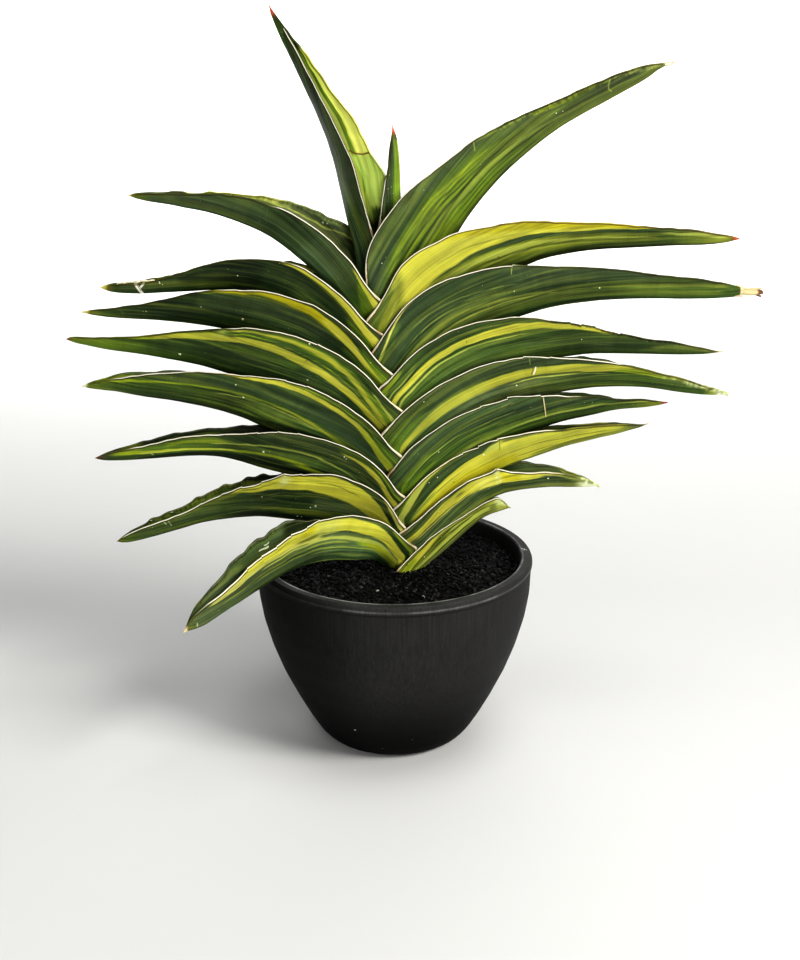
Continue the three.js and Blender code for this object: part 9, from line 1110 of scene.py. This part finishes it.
def strands(leaf):
    """Dry threads at the tips and one dry strip along a margin."""
    out = []
    if leaf.name in THREADS:
        for q, h, y, path, widths, tones_at in THREADS[leaf.name]:
            row = int(np.argmin(np.abs(leaf.q - q)))
            at = leaf.keel[row] + (leaf.mid[row] - leaf.keel[row]) * h + np.array([0, y, 0])
            d = leaf.mid[max(row - 3, 0)] - leaf.mid[row + 3]
            d = d * [1, 0, 1] / np.linalg.norm(d * [1, 0, 1])
            up = np.array([-d[2], 0, d[0]])
            up = up * np.sign(up[2])
            pts = [at + d * a + up * b for a, b in path]
            fine_a = np.linspace(0, len(pts) - 1, (len(pts) - 1) * 3 + 1)
            pts = curve(np.array(pts), fine_a)
            limit = abs(leaf.mid[0, 0]) - 0.2
            if np.abs(leaf.mid[0, 0]) > 225:
                pts[:, 0] = np.clip(pts[:, 0], -limit, limit)
            out.append((pts, np.interp(fine_a, range(len(widths)), widths), [tones_at[int(round(a / (len(path) - 1) * (len(tones_at) - 1)))] for a in fine_a]))
    if leaf.name == "leaf_left_7":
        up = leaf.mid - leaf.keel
        up /= np.linalg.norm(up, axis=1)[:, None]
        a = np.linspace(0, 1, 15)
        q = 0.055 + 0.125 * a
        lift = 1.5 * np.sin(np.pi * a) ** 0.7 + 0.25 * np.sin(a * 21)
        pts = np.stack([np.interp(q, leaf.q, leaf.near[:, k] + up[:, k] * 0.2) + np.interp(q, leaf.q, up[:, k]) * lift for k in range(3)], -1)
        out.append((pts, 0.5 + 0.8 * np.sin(np.pi * np.clip(a, 0.03, 0.97)) ** 0.5, ["cream", "ivory", "straw", "cream", "straw"] * 3))
    return out


THREADS = {
    "leaf_right_7": [
        (0.058, 0.86, 0.4, [(-3, 0), (4, -0.2), (8, 0.2), (13, 1.2), (17.2, 2.6)], [4.4, 4.0, 3.2, 3.4, 1.0], ["straw", "straw", "cream", "brown", "brown"]),
        (0.058, 0.64, -0.7, [(-3, 0), (5, 0.4), (10, 1.2), (14.5, 2.6), (17.0, 2.0)], [4.6, 4.0, 3.2, 2.6, 0.8], ["cream", "straw", "straw", "brown", "brown"]),
        (0.058, 0.4, 0.3, [(-3, 0), (5, 0.9), (10, 2.2), (15, 3.0)], [4.4, 3.8, 2.6, 0.8], ["straw", "cream", "straw", "straw"]),
        (0.058, 0.16, -0.4, [(-3, 0), (3, 1.0), (8, 2.6), (13.5, 4.0)], [4.0, 3.2, 2.4, 0.6], ["straw", "cream", "brown"]),
        (0.058, 0.78, 0.9, [(-2, 0), (6, 0.5), (12, -0.4), (16.0, -1.4)], [3.0, 2.6, 1.8, 0.5], ["cream", "straw", "brown", "maroon"]),
        (0.058, 0.55, 1.0, [(-2, 0), (6, 0.2), (12, 0.9), (16.8, 0.2)], [3.0, 2.4, 1.8, 0.5], ["straw", "cream", "straw", "brown"]),
    ],
    "leaf_right_9": [
        (0.024, 0.7, 0, [(-2, 0), (2.5, 0.2), (6, -0.6), (9, 0.8)], [1.3, 0.9, 0.7, 0.4], ["pale", "straw", "straw", "rust"]),
        (0.024, 0.3, 0.3, [(-2, 0), (2, -0.8), (4.5, -0.4), (6, 0.4)], [1.2, 0.9, 0.7, 0.4], ["straw", "straw", "straw"]),
    ],
    "leaf_right_5": [
        (0.075, 0.97, 0, [(-2, -0.6), (1.5, 0.5), (4.5, 0.9)], [1.6, 1.1, 0.3], ["green", "pale", "ivory"]),
        (0.055, 0.95, 0.3, [(-2, -0.6), (1.5, 0.6), (4.0, 1.2)], [1.6, 1.1, 0.3], ["green", "pale", "ivory"]),
        (0.035, 0.95, 0, [(-2, -0.5), (1.5, 0.4), (4.5, 0.8)], [1.5, 1.0, 0.3], ["pale", "ivory"]),
        (0.016, 0.9, 0.2, [(-2, -0.4), (2, 0.5), (5.0, 0.3)], [1.4, 0.9, 0.3], ["pale", "ivory"]),
        (0.006, 0.3, 0, [(-2, 0), (2, -0.5), (4.5, -0.4)], [1.2, 0.8, 0.25], ["pale", "ivory"]),
    ],
    "leaf_right_2": [
        (0.02, 0.8, 0, [(-2, -0.3), (2, 0.4), (5.0, 0.9)], [1.4, 0.9, 0.3], ["pale", "ivory"]),
        (0.01, 0.3, 0.2, [(-2, 0), (2, -0.3), (5.0, -0.2)], [1.3, 0.8, 0.3], ["pale", "ivory"]),
    ],
    "leaf_left_2": [
        (0.2, 1.0, 1.6, [(-1.5, -0.4), (1, 0.7), (3.0, 1.3)], [1.2, 0.7, 0.25], ["grey", "ivory"]),
        (0.13, 1.0, 1.4, [(-1.5, -0.4), (1, 0.6), (3.0, 1.1)], [1.1, 0.7, 0.25], ["grey", "ivory"]),
    ],
}


def flipped(verts, quads):
    a, b, c, d = (verts[quads[:, k]] for k in range(4))
    return (np.einsum("ij,ij->i", np.cross(a, b), c) + np.einsum("ij,ij->i", np.cross(a, c), d)).sum() < 0


# ---------- materials ----------
class Nodes:
    def __init__(self, name):
        self.mat = bpy.data.materials.new(name)
        self.mat.use_nodes = True
        self.tree = self.mat.node_tree
        self.tree.nodes.clear()
        self.out = self.add("ShaderNodeOutputMaterial")
        self.bsdf = self.add("ShaderNodeBsdfPrincipled")
        self.link(self.bsdf.outputs[0], self.out.inputs["Surface"])

    def add(self, kind, **values):
        n = self.tree.nodes.new(kind)
        for k, v in values.items():
            setattr(n, k, v)
        return n

    def link(self, a, b):
        self.tree.links.new(a, b)

    def attribute(self, name, out):
        return self.add("ShaderNodeAttribute", attribute_name=name).outputs[out]

    def mapped(self, vector, scale, offset=(0, 0, 0)):
        m = self.add("ShaderNodeMapping")
        self.link(vector, m.inputs["Vector"])
        m.inputs["Scale"].default_value = scale
        m.inputs["Location"].default_value = offset
        return m.outputs[0]

    def noise(self, vector, scale=1.0, detail=2.0, rough=0.5):
        n = self.add("ShaderNodeTexNoise")
        self.link(vector, n.inputs["Vector"])
        n.inputs["Scale"].default_value = scale
        n.inputs["Detail"].default_value = detail
        n.inputs["Roughness"].default_value = rough
        return n.outputs[0]

    def spread(self, value, a, b, c, d):
        m = self.add("ShaderNodeMapRange")
        self.link(value, m.inputs[0])
        for k, v in zip((1, 2, 3, 4), (a, b, c, d)):
            m.inputs[k].default_value = v
        return m.outputs[0]

    def sum(self, kind, a, b):
        m = self.add("ShaderNodeMath", operation=kind)
        for k, v in enumerate((a, b)):
            if isinstance(v, (int, float)):
                m.inputs[k].default_value = v
            else:
                self.link(v, m.inputs[k])
        return m.outputs[0]

    def mix(self, factor, a, b, blend="MIX"):
        m = self.add("ShaderNodeMix", data_type="RGBA", blend_type=blend)
        for k, v in ((0, factor), (6, a), (7, b)):
            if isinstance(v, (int, float)):
                m.inputs[k].default_value = v
            elif isinstance(v, tuple):
                m.inputs[k].default_value = (*v, 1)
            else:
                self.link(v, m.inputs[k])
        return m.outputs[2]

    def bump(self, height, strength, distance, normal=None):
        b = self.add("ShaderNodeBump")
        b.inputs["Strength"].default_value = strength
        b.inputs["Distance"].default_value = distance
        self.link(height, b.inputs["Height"])
        if normal is not None:
            self.link(normal, b.inputs["Normal"])
        return b.outputs[0]


def leaf_material(name, rough):
    m = Nodes(name)
    grow, tone, rind = m.attribute("grow", "Vector"), m.attribute("tone", "Color"), m.attribute("rind", "Fac")
    fine = m.noise(m.mapped(grow, (0.03, 2.2, 1)), 1, 3, 0.6)        # hair-thin lines along the leaf
    mid = m.noise(m.mapped(grow, (0.014, 0.85, 1), (3, 1, 0)), 1, 2)
    cross = m.noise(m.mapped(grow, (0.55, 0.05, 1), (1, 7, 0)), 1, 3)  # faint bands across it
    grain = m.noise(m.mapped(grow, (1.6, 2.4, 1), (5, 2, 0)), 1, 2)
    lines = m.sum("MULTIPLY", m.spread(fine, 0.25, 0.75, 0.7, 1.3), m.spread(mid, 0.25, 0.75, 0.76, 1.24))
    lines = m.sum("MULTIPLY", lines, m.spread(cross, 0.3, 0.7, 0.94, 1.06))
    lines = m.sum("MULTIPLY", lines, m.spread(grain, 0.3, 0.7, 0.9, 1.1))
    parts = m.add("ShaderNodeSeparateColor")
    m.link(tone, parts.inputs[0])
    strength = m.spread(parts.outputs[1], 0.08, 0.42, 1, 0.35)         # the yellow parts are smoother
    lines = m.sum("ADD", m.sum("MULTIPLY", m.sum("SUBTRACT", lines, 1.0), strength), 1.0)
    bar = m.noise(m.mapped(grow, (0.36, 0.12, 3), (7, 3, 1)), 1, 1)
    barred = m.sum("MULTIPLY", m.spread(bar, 0.47, 0.54, 0, 0.8), m.sum("SUBTRACT", 1.0, m.attribute("tone", "Alpha")))
    lines = m.sum("MULTIPLY", lines, m.sum("SUBTRACT", 1.0, barred))
    grey = m.add("ShaderNodeCombineColor")
    for k in range(3):
        m.link(lines, grey.inputs[k])
    colour = m.mix(1.0, tone, grey.outputs[0], "MULTIPLY")
    m.link(colour, m.bsdf.inputs["Base Color"])
    on_rim = m.spread(rind, 0.2, 1.2, 1, 0)
    r = m.sum("ADD", m.spread(fine, 0.3, 0.7, rough - 0.05, rough + 0.07), m.spread(grain, 0.3, 0.7, -0.03, 0.04))
    r = m.sum("ADD", r, m.sum("MULTIPLY", on_rim, 0.22))
    m.link(r, m.bsdf.inputs["Roughness"])
    m.bsdf.inputs["Specular IOR Level"].default_value = 0.16
    m.bsdf.inputs["IOR"].default_value = 1.42
    n = m.bump(fine, 0.35, 0.00018)
    n = m.bump(mid, 0.4, 0.0005, n)
    n = m.bump(cross, 0.15, 0.0004, n)
    n = m.bump(grain, 0.25, 0.00012, n)
    m.link(n, m.bsdf.inputs["Normal"])
    return m.mat


def pot_material():
    m = Nodes("pot_look")
    pos = m.add("ShaderNodeTexCoord").outputs["Object"]
    streak = m.noise(m.mapped(pos, (650, 650, 16)), 1, 3, 0.6)
    broad = m.noise(m.mapped(pos, (14, 14, 9), (2, 0, 1)), 1, 3)
    grain = m.noise(m.mapped(pos, (900, 900, 900)), 1, 2)
    scuff = m.noise(m.mapped(pos, (300, 300, 90), (4, 1, 2)), 1, 3)
    tone = m.attribute("tone", "Color")
    k = m.sum("MULTIPLY", m.spread(streak, 0.3, 0.7, 0.8, 1.24), m.spread(broad, 0.3, 0.7, 0.8, 1.22))
    k = m.sum("MULTIPLY", k, m.spread(grain, 0.3, 0.7, 0.9, 1.1))
    grey = m.add("ShaderNodeCombineColor")
    for i in range(3):
        m.link(k, grey.inputs[i])
    colour = m.mix(1.0, tone, grey.outputs[0], "MULTIPLY")
    dust = m.sum("MULTIPLY", m.spread(scuff, 0.66, 0.8, 0, 1), 0.02)
    colour = m.mix(dust, colour, (0.16, 0.16, 0.16))
    m.link(colour, m.bsdf.inputs["Base Color"])
    m.link(m.sum("ADD", m.spread(streak, 0.3, 0.7, 0.52, 0.62), m.spread(broad, 0.3, 0.7, -0.03, 0.05)), m.bsdf.inputs["Roughness"])
    m.bsdf.inputs["Specular IOR Level"].default_value = 0.05
    m.bsdf.inputs["IOR"].default_value = 1.48
    n = m.bump(streak, 0.35, 0.00025)
    n = m.bump(grain, 0.35, 0.00012, n)
    n = m.bump(scuff, 0.12, 0.0003, n)
    m.link(n, m.bsdf.inputs["Normal"])
    return m.mat


def grit_material():
    m = Nodes("grit_look")
    pos = m.add("ShaderNodeTexCoord").outputs["Object"]
    fine = m.noise(m.mapped(pos, (2600, 2600, 2600)), 1, 3, 0.6)
    tone = m.attribute("tone", "Color")
    k = m.spread(fine, 0.3, 0.7, 0.6, 1.5)
    grey = m.add("ShaderNodeCombineColor")
    for i in range(3):
        m.link(k, grey.inputs[i])
    m.link(m.mix(1.0, tone, grey.outputs[0], "MULTIPLY"), m.bsdf.inputs["Base Color"])
    m.link(m.spread(fine, 0.3, 0.7, 0.55, 0.85), m.bsdf.inputs["Roughness"])
    m.bsdf.inputs["Specular IOR Level"].default_value = 0.1
    m.link(m.bump(fine, 0.6, 0.0004), m.bsdf.inputs["Normal"])
    return m.mat


def stem_material():
    m = Nodes("stem_look")
    pos = m.add("ShaderNodeTexCoord").outputs["Object"]
    a = m.noise(m.mapped(pos, (700, 700, 40)), 1, 3)
    b = m.noise(m.mapped(pos, (60, 60, 60)), 1, 3)
    m.link(m.mix(m.spread(b, 0.35, 0.65, 0, 1), (0.30, 0.34, 0.10), (0.55, 0.52, 0.26)), m.bsdf.inputs["Base Color"])
    m.link(m.spread(a, 0.3, 0.7, 0.5, 0.7), m.bsdf.inputs["Roughness"])
    m.link(m.bump(a, 0.5, 0.0004), m.bsdf.inputs["Normal"])
    return m.mat


# ---------- leaves ----------
LEAF_LOOK = leaf_material("leaf_look", 0.40)
YOUNG_LOOK = leaf_material("leaf_young_look", 0.37)
for number, data in enumerate(LEAVES):
    leaf = Leaf(**data)
    place(leaf)
    young = leaf.name == "leaf_centre"
    ob = leaf_mesh(leaf, 100 + 7 * number, YOUNG_LOOK if young else LEAF_LOOK)
    settle(ob, leaf.name)

# ---------- stem, hidden inside the leaf sheaths ----------
STEM = [[118.6, 11, 3.2, 3.4], [126, 10, 3.4, 3.6], [140, 8.5, 5.2, 4.2], [180, 4.4, 6.4, 4.2], [230, -1, 6.4, 4.2], [280, -7.3, 6.2, 4], [318, -12.4, 5, 3.2], [330, -14.2, 3.4, 2.4]]
tab = np.array(STEM, float)
zs = np.linspace(tab[0, 0], tab[-1, 0], 90)
ang = np.linspace(0, 2 * np.pi, 32, endpoint=False)
sx, srx, sry = (np.interp(zs, tab[:, 0], tab[:, k]) for k in (1, 2, 3))
ringed = 1 - 0.03 * (np.abs(np.sin(zs / 9 * np.pi)) < 0.18)
V = np.stack([sx[:, None] + (srx * ringed)[:, None] * np.cos(ang), (sry * ringed)[:, None] * np.sin(ang), np.repeat(zs[:, None], 32, 1)], -1).reshape(-1, 3)
i, j = np.arange(len(zs) - 1)[:, None] * 32, np.arange(32)[None]
Q = np.stack([i + j, i + (j + 1) % 32, i + 32 + (j + 1) % 32, i + 32 + j], -1).reshape(-1, 4)
V = np.r_[V, [[sx[0], 0, zs[0]]], [[sx[-1], 0, zs[-1]]]]
r = np.arange(32)
T = np.r_[np.stack([np.full(32, len(V) - 2), (r + 1) % 32, r], -1), np.stack([np.full(32, len(V) - 1), len(V) - 34 + r, len(V) - 34 + (r + 1) % 32], -1)]
settle(make_mesh("look_stem", V, [Q, T], stem_material()), "stem")

# ---------- pot ----------
OUTSIDE = [[48, 0], [52.5, 1.6], [56, 4.6], [60, 10], [66.2, 20.5], [74.2, 36], [83.4, 56], [90.6, 76], [95.9, 96], [98.5, 113], [98.9, 126]]
LIP = [[98.9, 126], [99, 131.8], [99.9, 133.2], [100, 135.6], [99.3, 137.6], [97.8, 138.5]]
INSIDE = [[92.4, 138.5], [91.3, 137.4], [91, 134], [90.2, 124], [86.6, 100], [80.6, 76], [73.8, 56], [66, 36], [58.6, 20], [52, 12.5], [44, 9.5]]


def finer(profile, step):
    out = [np.array(profile[0], float)]
    for a, b in zip(profile[:-1], profile[1:]):
        a, b = np.array(a, float), np.array(b, float)
        k = max(1, int(np.ceil(np.linalg.norm(b - a) / step)))
        out += [a + (b - a) * t / k for t in range(1, k + 1)]
    return np.array(out)


def rounded(profile, step, rounds=3):
    p = finer(profile, step)
    for _ in range(rounds):
        p[1:-1] = p[1:-1] * 0.5 + (p[:-2] + p[2:]) * 0.25
    return p


wall = rounded([[0, 0.0]] + OUTSIDE[:1], 8, 0)[:-1]
front = np.concatenate([rounded(OUTSIDE, 2.0, 2), rounded(LIP, 0.45, 3)[1:]])
body = np.concatenate([wall, front, finer([LIP[-1], INSIDE[0]], 0.6)[1:-1], rounded(INSIDE, 3.0, 2), finer([INSIDE[-1], [0.0, 9.0]], 9)[1:]])
SEG = 144
ang = np.linspace(0, 2 * np.pi, SEG, endpoint=False)
rad = body[1:-1, 0][:, None] * np.ones(SEG)[None]
hgt = body[1:-1, 1][:, None] * np.ones(SEG)[None]
A = np.repeat(ang[None], len(rad), 0)
outside = np.zeros_like(rad)
outside[: len(wall) + len(front) - 1] = 1
# hand-finished unevenness of the wall and the rim, kept inside the modelled size
rad = rad - 0.12 * (1 + noise(A * 3.2, hgt / 30, 5)) * (rad > 30)
hgt = hgt - 0.12 * (1 + noise(A * 4, rad / 40, 6)) * (hgt > 130)
# a small chip on the rim's inner edge, at the right
CHIP = (95.5, 3.0)
chip = np.exp(-(((A - np.radians(CHIP[1])) * 95 / 1.6) ** 2) - ((rad - 93.5) / 1.6) ** 2) * (hgt > 134)
hgt = hgt - 0.8 * chip
P = np.stack([rad * np.cos(A), rad * np.sin(A), hgt], -1)
shade = np.array([0.021, 0.0208, 0.0204]) * np.ones(P.shape)
# the rim band and the lip top are lighter: partly wear, partly painted light on faces turned up to the light
rim_wear_and_light = ramp(hgt, 132.4, 133.4) * outside + (hgt > 136.5) * (1 - outside)
shade = shade * (1 + 0.25 * rim_wear_and_light[..., None])
patchy = 0.3 + 0.7 * ramp(noise(A * 9, rad / 3, 9) + 0.5 * noise(A * 40, rad, 10), -0.5, 0.6)
# thin light lines along the lip's inner edge and the outer ring's edge, and a lighter lip top: worn edges, partly
# painted highlight
lip_edge_wear_and_highlight = np.exp(-(((rad - 92.9) / 0.55) ** 2)) * (hgt > 137.9)
ring_edge_wear_and_highlight = np.exp(-(((hgt - 134.9) / 0.6) ** 2)) * outside
shade = shade + (patchy * (0.26 * lip_edge_wear_and_highlight + 0.1 * ring_edge_wear_and_highlight + 0.012 * ramp(hgt, 137.2, 138.3)))[..., None] * np.array([1.0, 1.0, 0.96])
# painted shade in the groove under the lip
line = np.exp(-(((hgt - 132.2) / 0.8) ** 2)) * outside
shade = shade * (1 - 0.35 * line[..., None])
# painted shade: the wall grows darker towards the foot, which turns away from the light
painted_foot_shade = (1 - ramp(hgt, 4, 88)) * outside
shade = shade * (1 - 0.96 * painted_foot_shade[..., None])
painted_side_shade = ramp(-np.cos(A), 0.1, 0.95) * outside          # painted shade: one side of the wall is darker, as the side turned away from the light
shade = shade * (1 - 0.84 * painted_side_shade[..., None])
shade = shade + (chip * 0.12)[..., None] * np.array([1, 1, 0.96])
i, j = np.arange(len(rad) - 1)[:, None] * SEG, np.arange(SEG)[None]
Q = np.stack([i + j, i + (j + 1) % SEG, i + SEG + (j + 1) % SEG, i + SEG + j], -1).reshape(-1, 4)
V = P.reshape(-1, 3)
V = np.r_[V, [[0, 0, 0]], [[0, 0, 9.0]]]
r = np.arange(SEG)
last = (len(rad) - 1) * SEG
T = np.r_[np.stack([np.full(SEG, len(V) - 2), (r + 1) % SEG, r], -1), np.stack([np.full(SEG, len(V) - 1), last + r, last + (r + 1) % SEG], -1)]
tones = np.r_[shade.reshape(-1, 3), [[0.02] * 3], [[0.02] * 3]]
# flecks that stick to the wall, and bright grains in the chip: (degrees, height or None for the lip, radius on the lip, half length, half width, tilt)
sv, sf = ball()
flecks = []
for deg, z, r0, long, wide, tilt, tone in ((247, 29.8, 0, 1.1, 0.5, -0.4, 0.5), (3.4, None, 95.2, 1.4, 0.5, 0.9, 0.8), (2.3, None, 96.4, 1.1, 0.45, -0.7, 0.7), (4.4, None, 94.0, 0.8, 0.4, 0.3, 0.7), (262, 12.0, 0, 0.5, 0.3, 0.2, 0.12), (281, 22.0, 0, 0.45, 0.3, 0.5, 0.1)):
    a = math.radians(deg)
    out, side, up = np.array([math.cos(a), math.sin(a), 0]), np.array([-math.sin(a), math.cos(a), 0]), np.array([0, 0, 1.0])
    if z is None:
        at, n1, e1, e2 = out * r0 + up * 138.2, up, out, side
    else:
        at, n1, e1, e2 = out * (np.interp(z, [p[1] for p in OUTSIDE], [p[0] for p in OUTSIDE]) - 0.2) + up * z, out, side, up
    e1, e2 = e1 * math.cos(tilt) + e2 * math.sin(tilt), e2 * math.cos(tilt) - e1 * math.sin(tilt)
    flecks.append((at + sv[:, :1] * e1 * long + sv[:, 1:2] * e2 * wide + sv[:, 2:] * n1 * 0.26, tone))
TF = np.concatenate([sf + len(V) + k * len(sv) for k in range(len(flecks))])
V = np.r_[V, np.concatenate([v for v, _ in flecks])]
tones = np.r_[tones, np.concatenate([np.full((len(sv), 3), t) for _, t in flecks])]
settle(make_mesh("look_pot", V, [Q, T, TF], pot_material(), tones), "pot")

# ---------- grit ----------
rng = np.random.default_rng(77)
inner_r = lambda z: np.interp(z, [r[1] for r in INSIDE[::-1]], [r[0] for r in INSIDE[::-1]])
rings, seg = 46, 120
ang = np.linspace(0, 2 * np.pi, seg, endpoint=False)
rr = np.linspace(0.6, inner_r(128.5) - 0.5, rings)
A, RR = np.repeat(ang[None], rings, 0), np.repeat(rr[:, None], seg, 1)
X, Y = RR * np.cos(A), RR * np.sin(A)
lift = lambda x, y: 0.7 * noise(x / 14 + 9, y / 14, 21) + 0.4 * noise(x / 5, y / 5, 22)
Z = 127.6 + lift(X, Y) * 0.7
side_z = np.linspace(126, 14, 14)
sr = inner_r(side_z) - 0.5
SX, SY = sr[:, None] * np.cos(ang), sr[:, None] * np.sin(ang)
V = np.concatenate([np.stack([X, Y, Z], -1), np.stack([SX, SY, np.repeat(side_z[:, None], seg, 1)], -1)]).reshape(-1, 3)
total = rings + len(side_z)
i, j = np.arange(total - 1)[:, None] * seg, np.arange(seg)[None]
Q = np.stack([i + j, i + seg + j, i + seg + (j + 1) % seg, i + (j + 1) % seg], -1).reshape(-1, 4)
V = np.r_[V, [[0, 0, 127.6]], [[0, 0, 12.0]]]
r = np.arange(seg)
T = np.r_[np.stack([np.full(seg, len(V) - 2), r, (r + 1) % seg], -1), np.stack([np.full(seg, len(V) - 1), (total - 1) * seg + (r + 1) % seg, (total - 1) * seg + r], -1)]
sv, sf = ball()
N = 5700
rad = np.sqrt(rng.uniform(0, 1, N)) * 89.6
th = rng.uniform(0, 2 * np.pi, N)
gx, gy = rad * np.cos(th), rad * np.sin(th)
size = rng.uniform(0.9, 1.55, N) * rng.choice([0.75, 1, 1, 1.25], N)
gz = 127.9 + lift(gx, gy) * 0.7 + rng.uniform(-0.6, 0.9, N) * (1.3 / size)
gz = np.minimum(gz, 130.2 - size * 0.8)
gz = gz + 0.9 * ramp(np.abs(np.hypot(gx - 8, gy) - 22), 12, 0) * 0.5
shape = sv[None] * rng.uniform(0.62, 1.25, (N, len(sv), 1)) * rng.uniform(0.75, 1.25, (N, 1, 3))
spin = rng.uniform(0, 2 * np.pi, N)
cs, sn = np.cos(spin)[:, None], np.sin(spin)[:, None]
gv = np.stack([shape[..., 0] * cs - shape[..., 1] * sn, shape[..., 0] * sn + shape[..., 1] * cs, shape[..., 2] * 0.85], -1) * size[:, None, None]
gv = gv + np.stack([gx, gy, gz], -1)[:, None]
over = np.hypot(gv[..., 0], gv[..., 1]) / (inner_r(gv[..., 2].clip(10, 138)) - 0.35)
gv[..., :2] /= np.maximum(over, 1)[..., None]
gf = (sf[None] + (np.arange(N) * len(sv))[:, None, None] + len(V)).reshape(-1, 3)
base_tone = rng.choice([0.001, 0.002, 0.0045, 0.009, 0.018, 0.034], N, p=[0.22, 0.23, 0.22, 0.17, 0.11, 0.05])
tint = np.array([1.0, 1.0, 0.99])[None] * (1 + 0.12 * rng.uniform(-1, 1, (N, 3)))
bright = rng.uniform(0, 1, N)
base_tone = np.where(bright > 0.998, 0.22, base_tone)
gt = np.repeat((base_tone[:, None] * tint)[:, None], len(sv), 1).reshape(-1, 3)
tones = np.r_[np.full((len(V), 3), 0.002), gt]
V = np.r_[V, gv.reshape(-1, 3)]
soil = make_mesh("look_soil", V, [Q, T, gf], grit_material(), tones, flat=True)
settle(soil, "soil")

# ---------- plain pale floor that curves up behind ----------
FLOOR_R = 1.6
prof = [(-4.0, 0.0)] + [(y, 0.0) for y in np.linspace(-3, 2.6, 12)] + [(2.6 + FLOOR_R * math.sin(a), FLOOR_R * (1 - math.cos(a))) for a in np.linspace(0.1, math.pi / 2, 14)] + [(4.2, 6.0)]
xs = np.linspace(-6, 6, 9)
V = np.array([(x, y, z) for y, z in prof for x in xs]) / MM
i, j = np.arange(len(prof) - 1)[:, None] * len(xs), np.arange(len(xs) - 1)[None]
Q = np.stack([i + j, i + j + 1, i + len(xs) + j + 1, i + len(xs) + j], -1).reshape(-1, 4)
m = Nodes("floor_look")
pos = m.add("ShaderNodeTexCoord").outputs["Object"]
n = m.noise(m.mapped(pos, (1.3, 1.3, 1.3)), 1, 3)
m.link(m.mix(m.spread(n, 0.3, 0.7, 0, 1), (0.64, 0.64, 0.63), (0.67, 0.67, 0.66)), m.bsdf.inputs["Base Color"])
m.link(m.spread(n, 0.3, 0.7, 0.65, 0.75), m.bsdf.inputs["Roughness"])
m.bsdf.inputs["Specular IOR Level"].default_value = 0.2
floor = make_mesh("floor", V, Q, m.mat)

# ---------- light ----------
world = bpy.data.worlds.new("world")
world.use_nodes = True
bpy.context.scene.world = world
back = world.node_tree.nodes["Background"]
back.inputs[0].default_value = (0.97, 0.985, 1.0, 1)
back.inputs[1].default_value = 0.24


def area(name, at, target, size, power, colour=(1, 1, 1)):
    light = bpy.data.lights.new(name, "AREA")
    light.shape = "RECTANGLE"
    light.size, light.size_y = size
    light.energy = power
    light.color = colour
    ob = bpy.data.objects.new(name, light)
    ob.location = at
    ob.rotation_euler = (Vector(target) - Vector(at)).to_track_quat("-Z", "Y").to_euler()
    bpy.context.scene.collection.objects.link(ob)
    return ob


area("key", (1.35, -1.0, 1.5), (0, 0, 0.28), (0.7, 0.7), 47, (1.0, 0.985, 0.95))
area("front", (0.7, -1.75, 0.45), (0, 0, 0.28), (0.8, 0.8), 17)
area("top", (0.35, -0.3, 2.1), (0, 0, 0.25), (0.9, 0.9), 16)
area("wall", (0, 1.7, 2.7), (0, 4.3, 1.3), (4.5, 0.8), 330)

# ---------- camera ----------
cam = bpy.data.cameras.new("camera")
cam.lens, cam.sensor_width, cam.sensor_fit = 46.5, 36, "AUTO"
cam.clip_start, cam.clip_end = 0.05, 30
cam_ob = bpy.data.objects.new("camera", cam)
cam_ob.location = (0.0041, -0.838, 0.473)
cam_ob.rotation_euler = (math.radians(71.55), 0, 0)
bpy.context.scene.collection.objects.link(cam_ob)
bpy.context.scene.camera = cam_ob
view = bpy.context.scene.view_settings
view.view_transform = "Standard"
view.look = "Medium High Contrast"
view.exposure = -0.3
view.gamma = 1.0
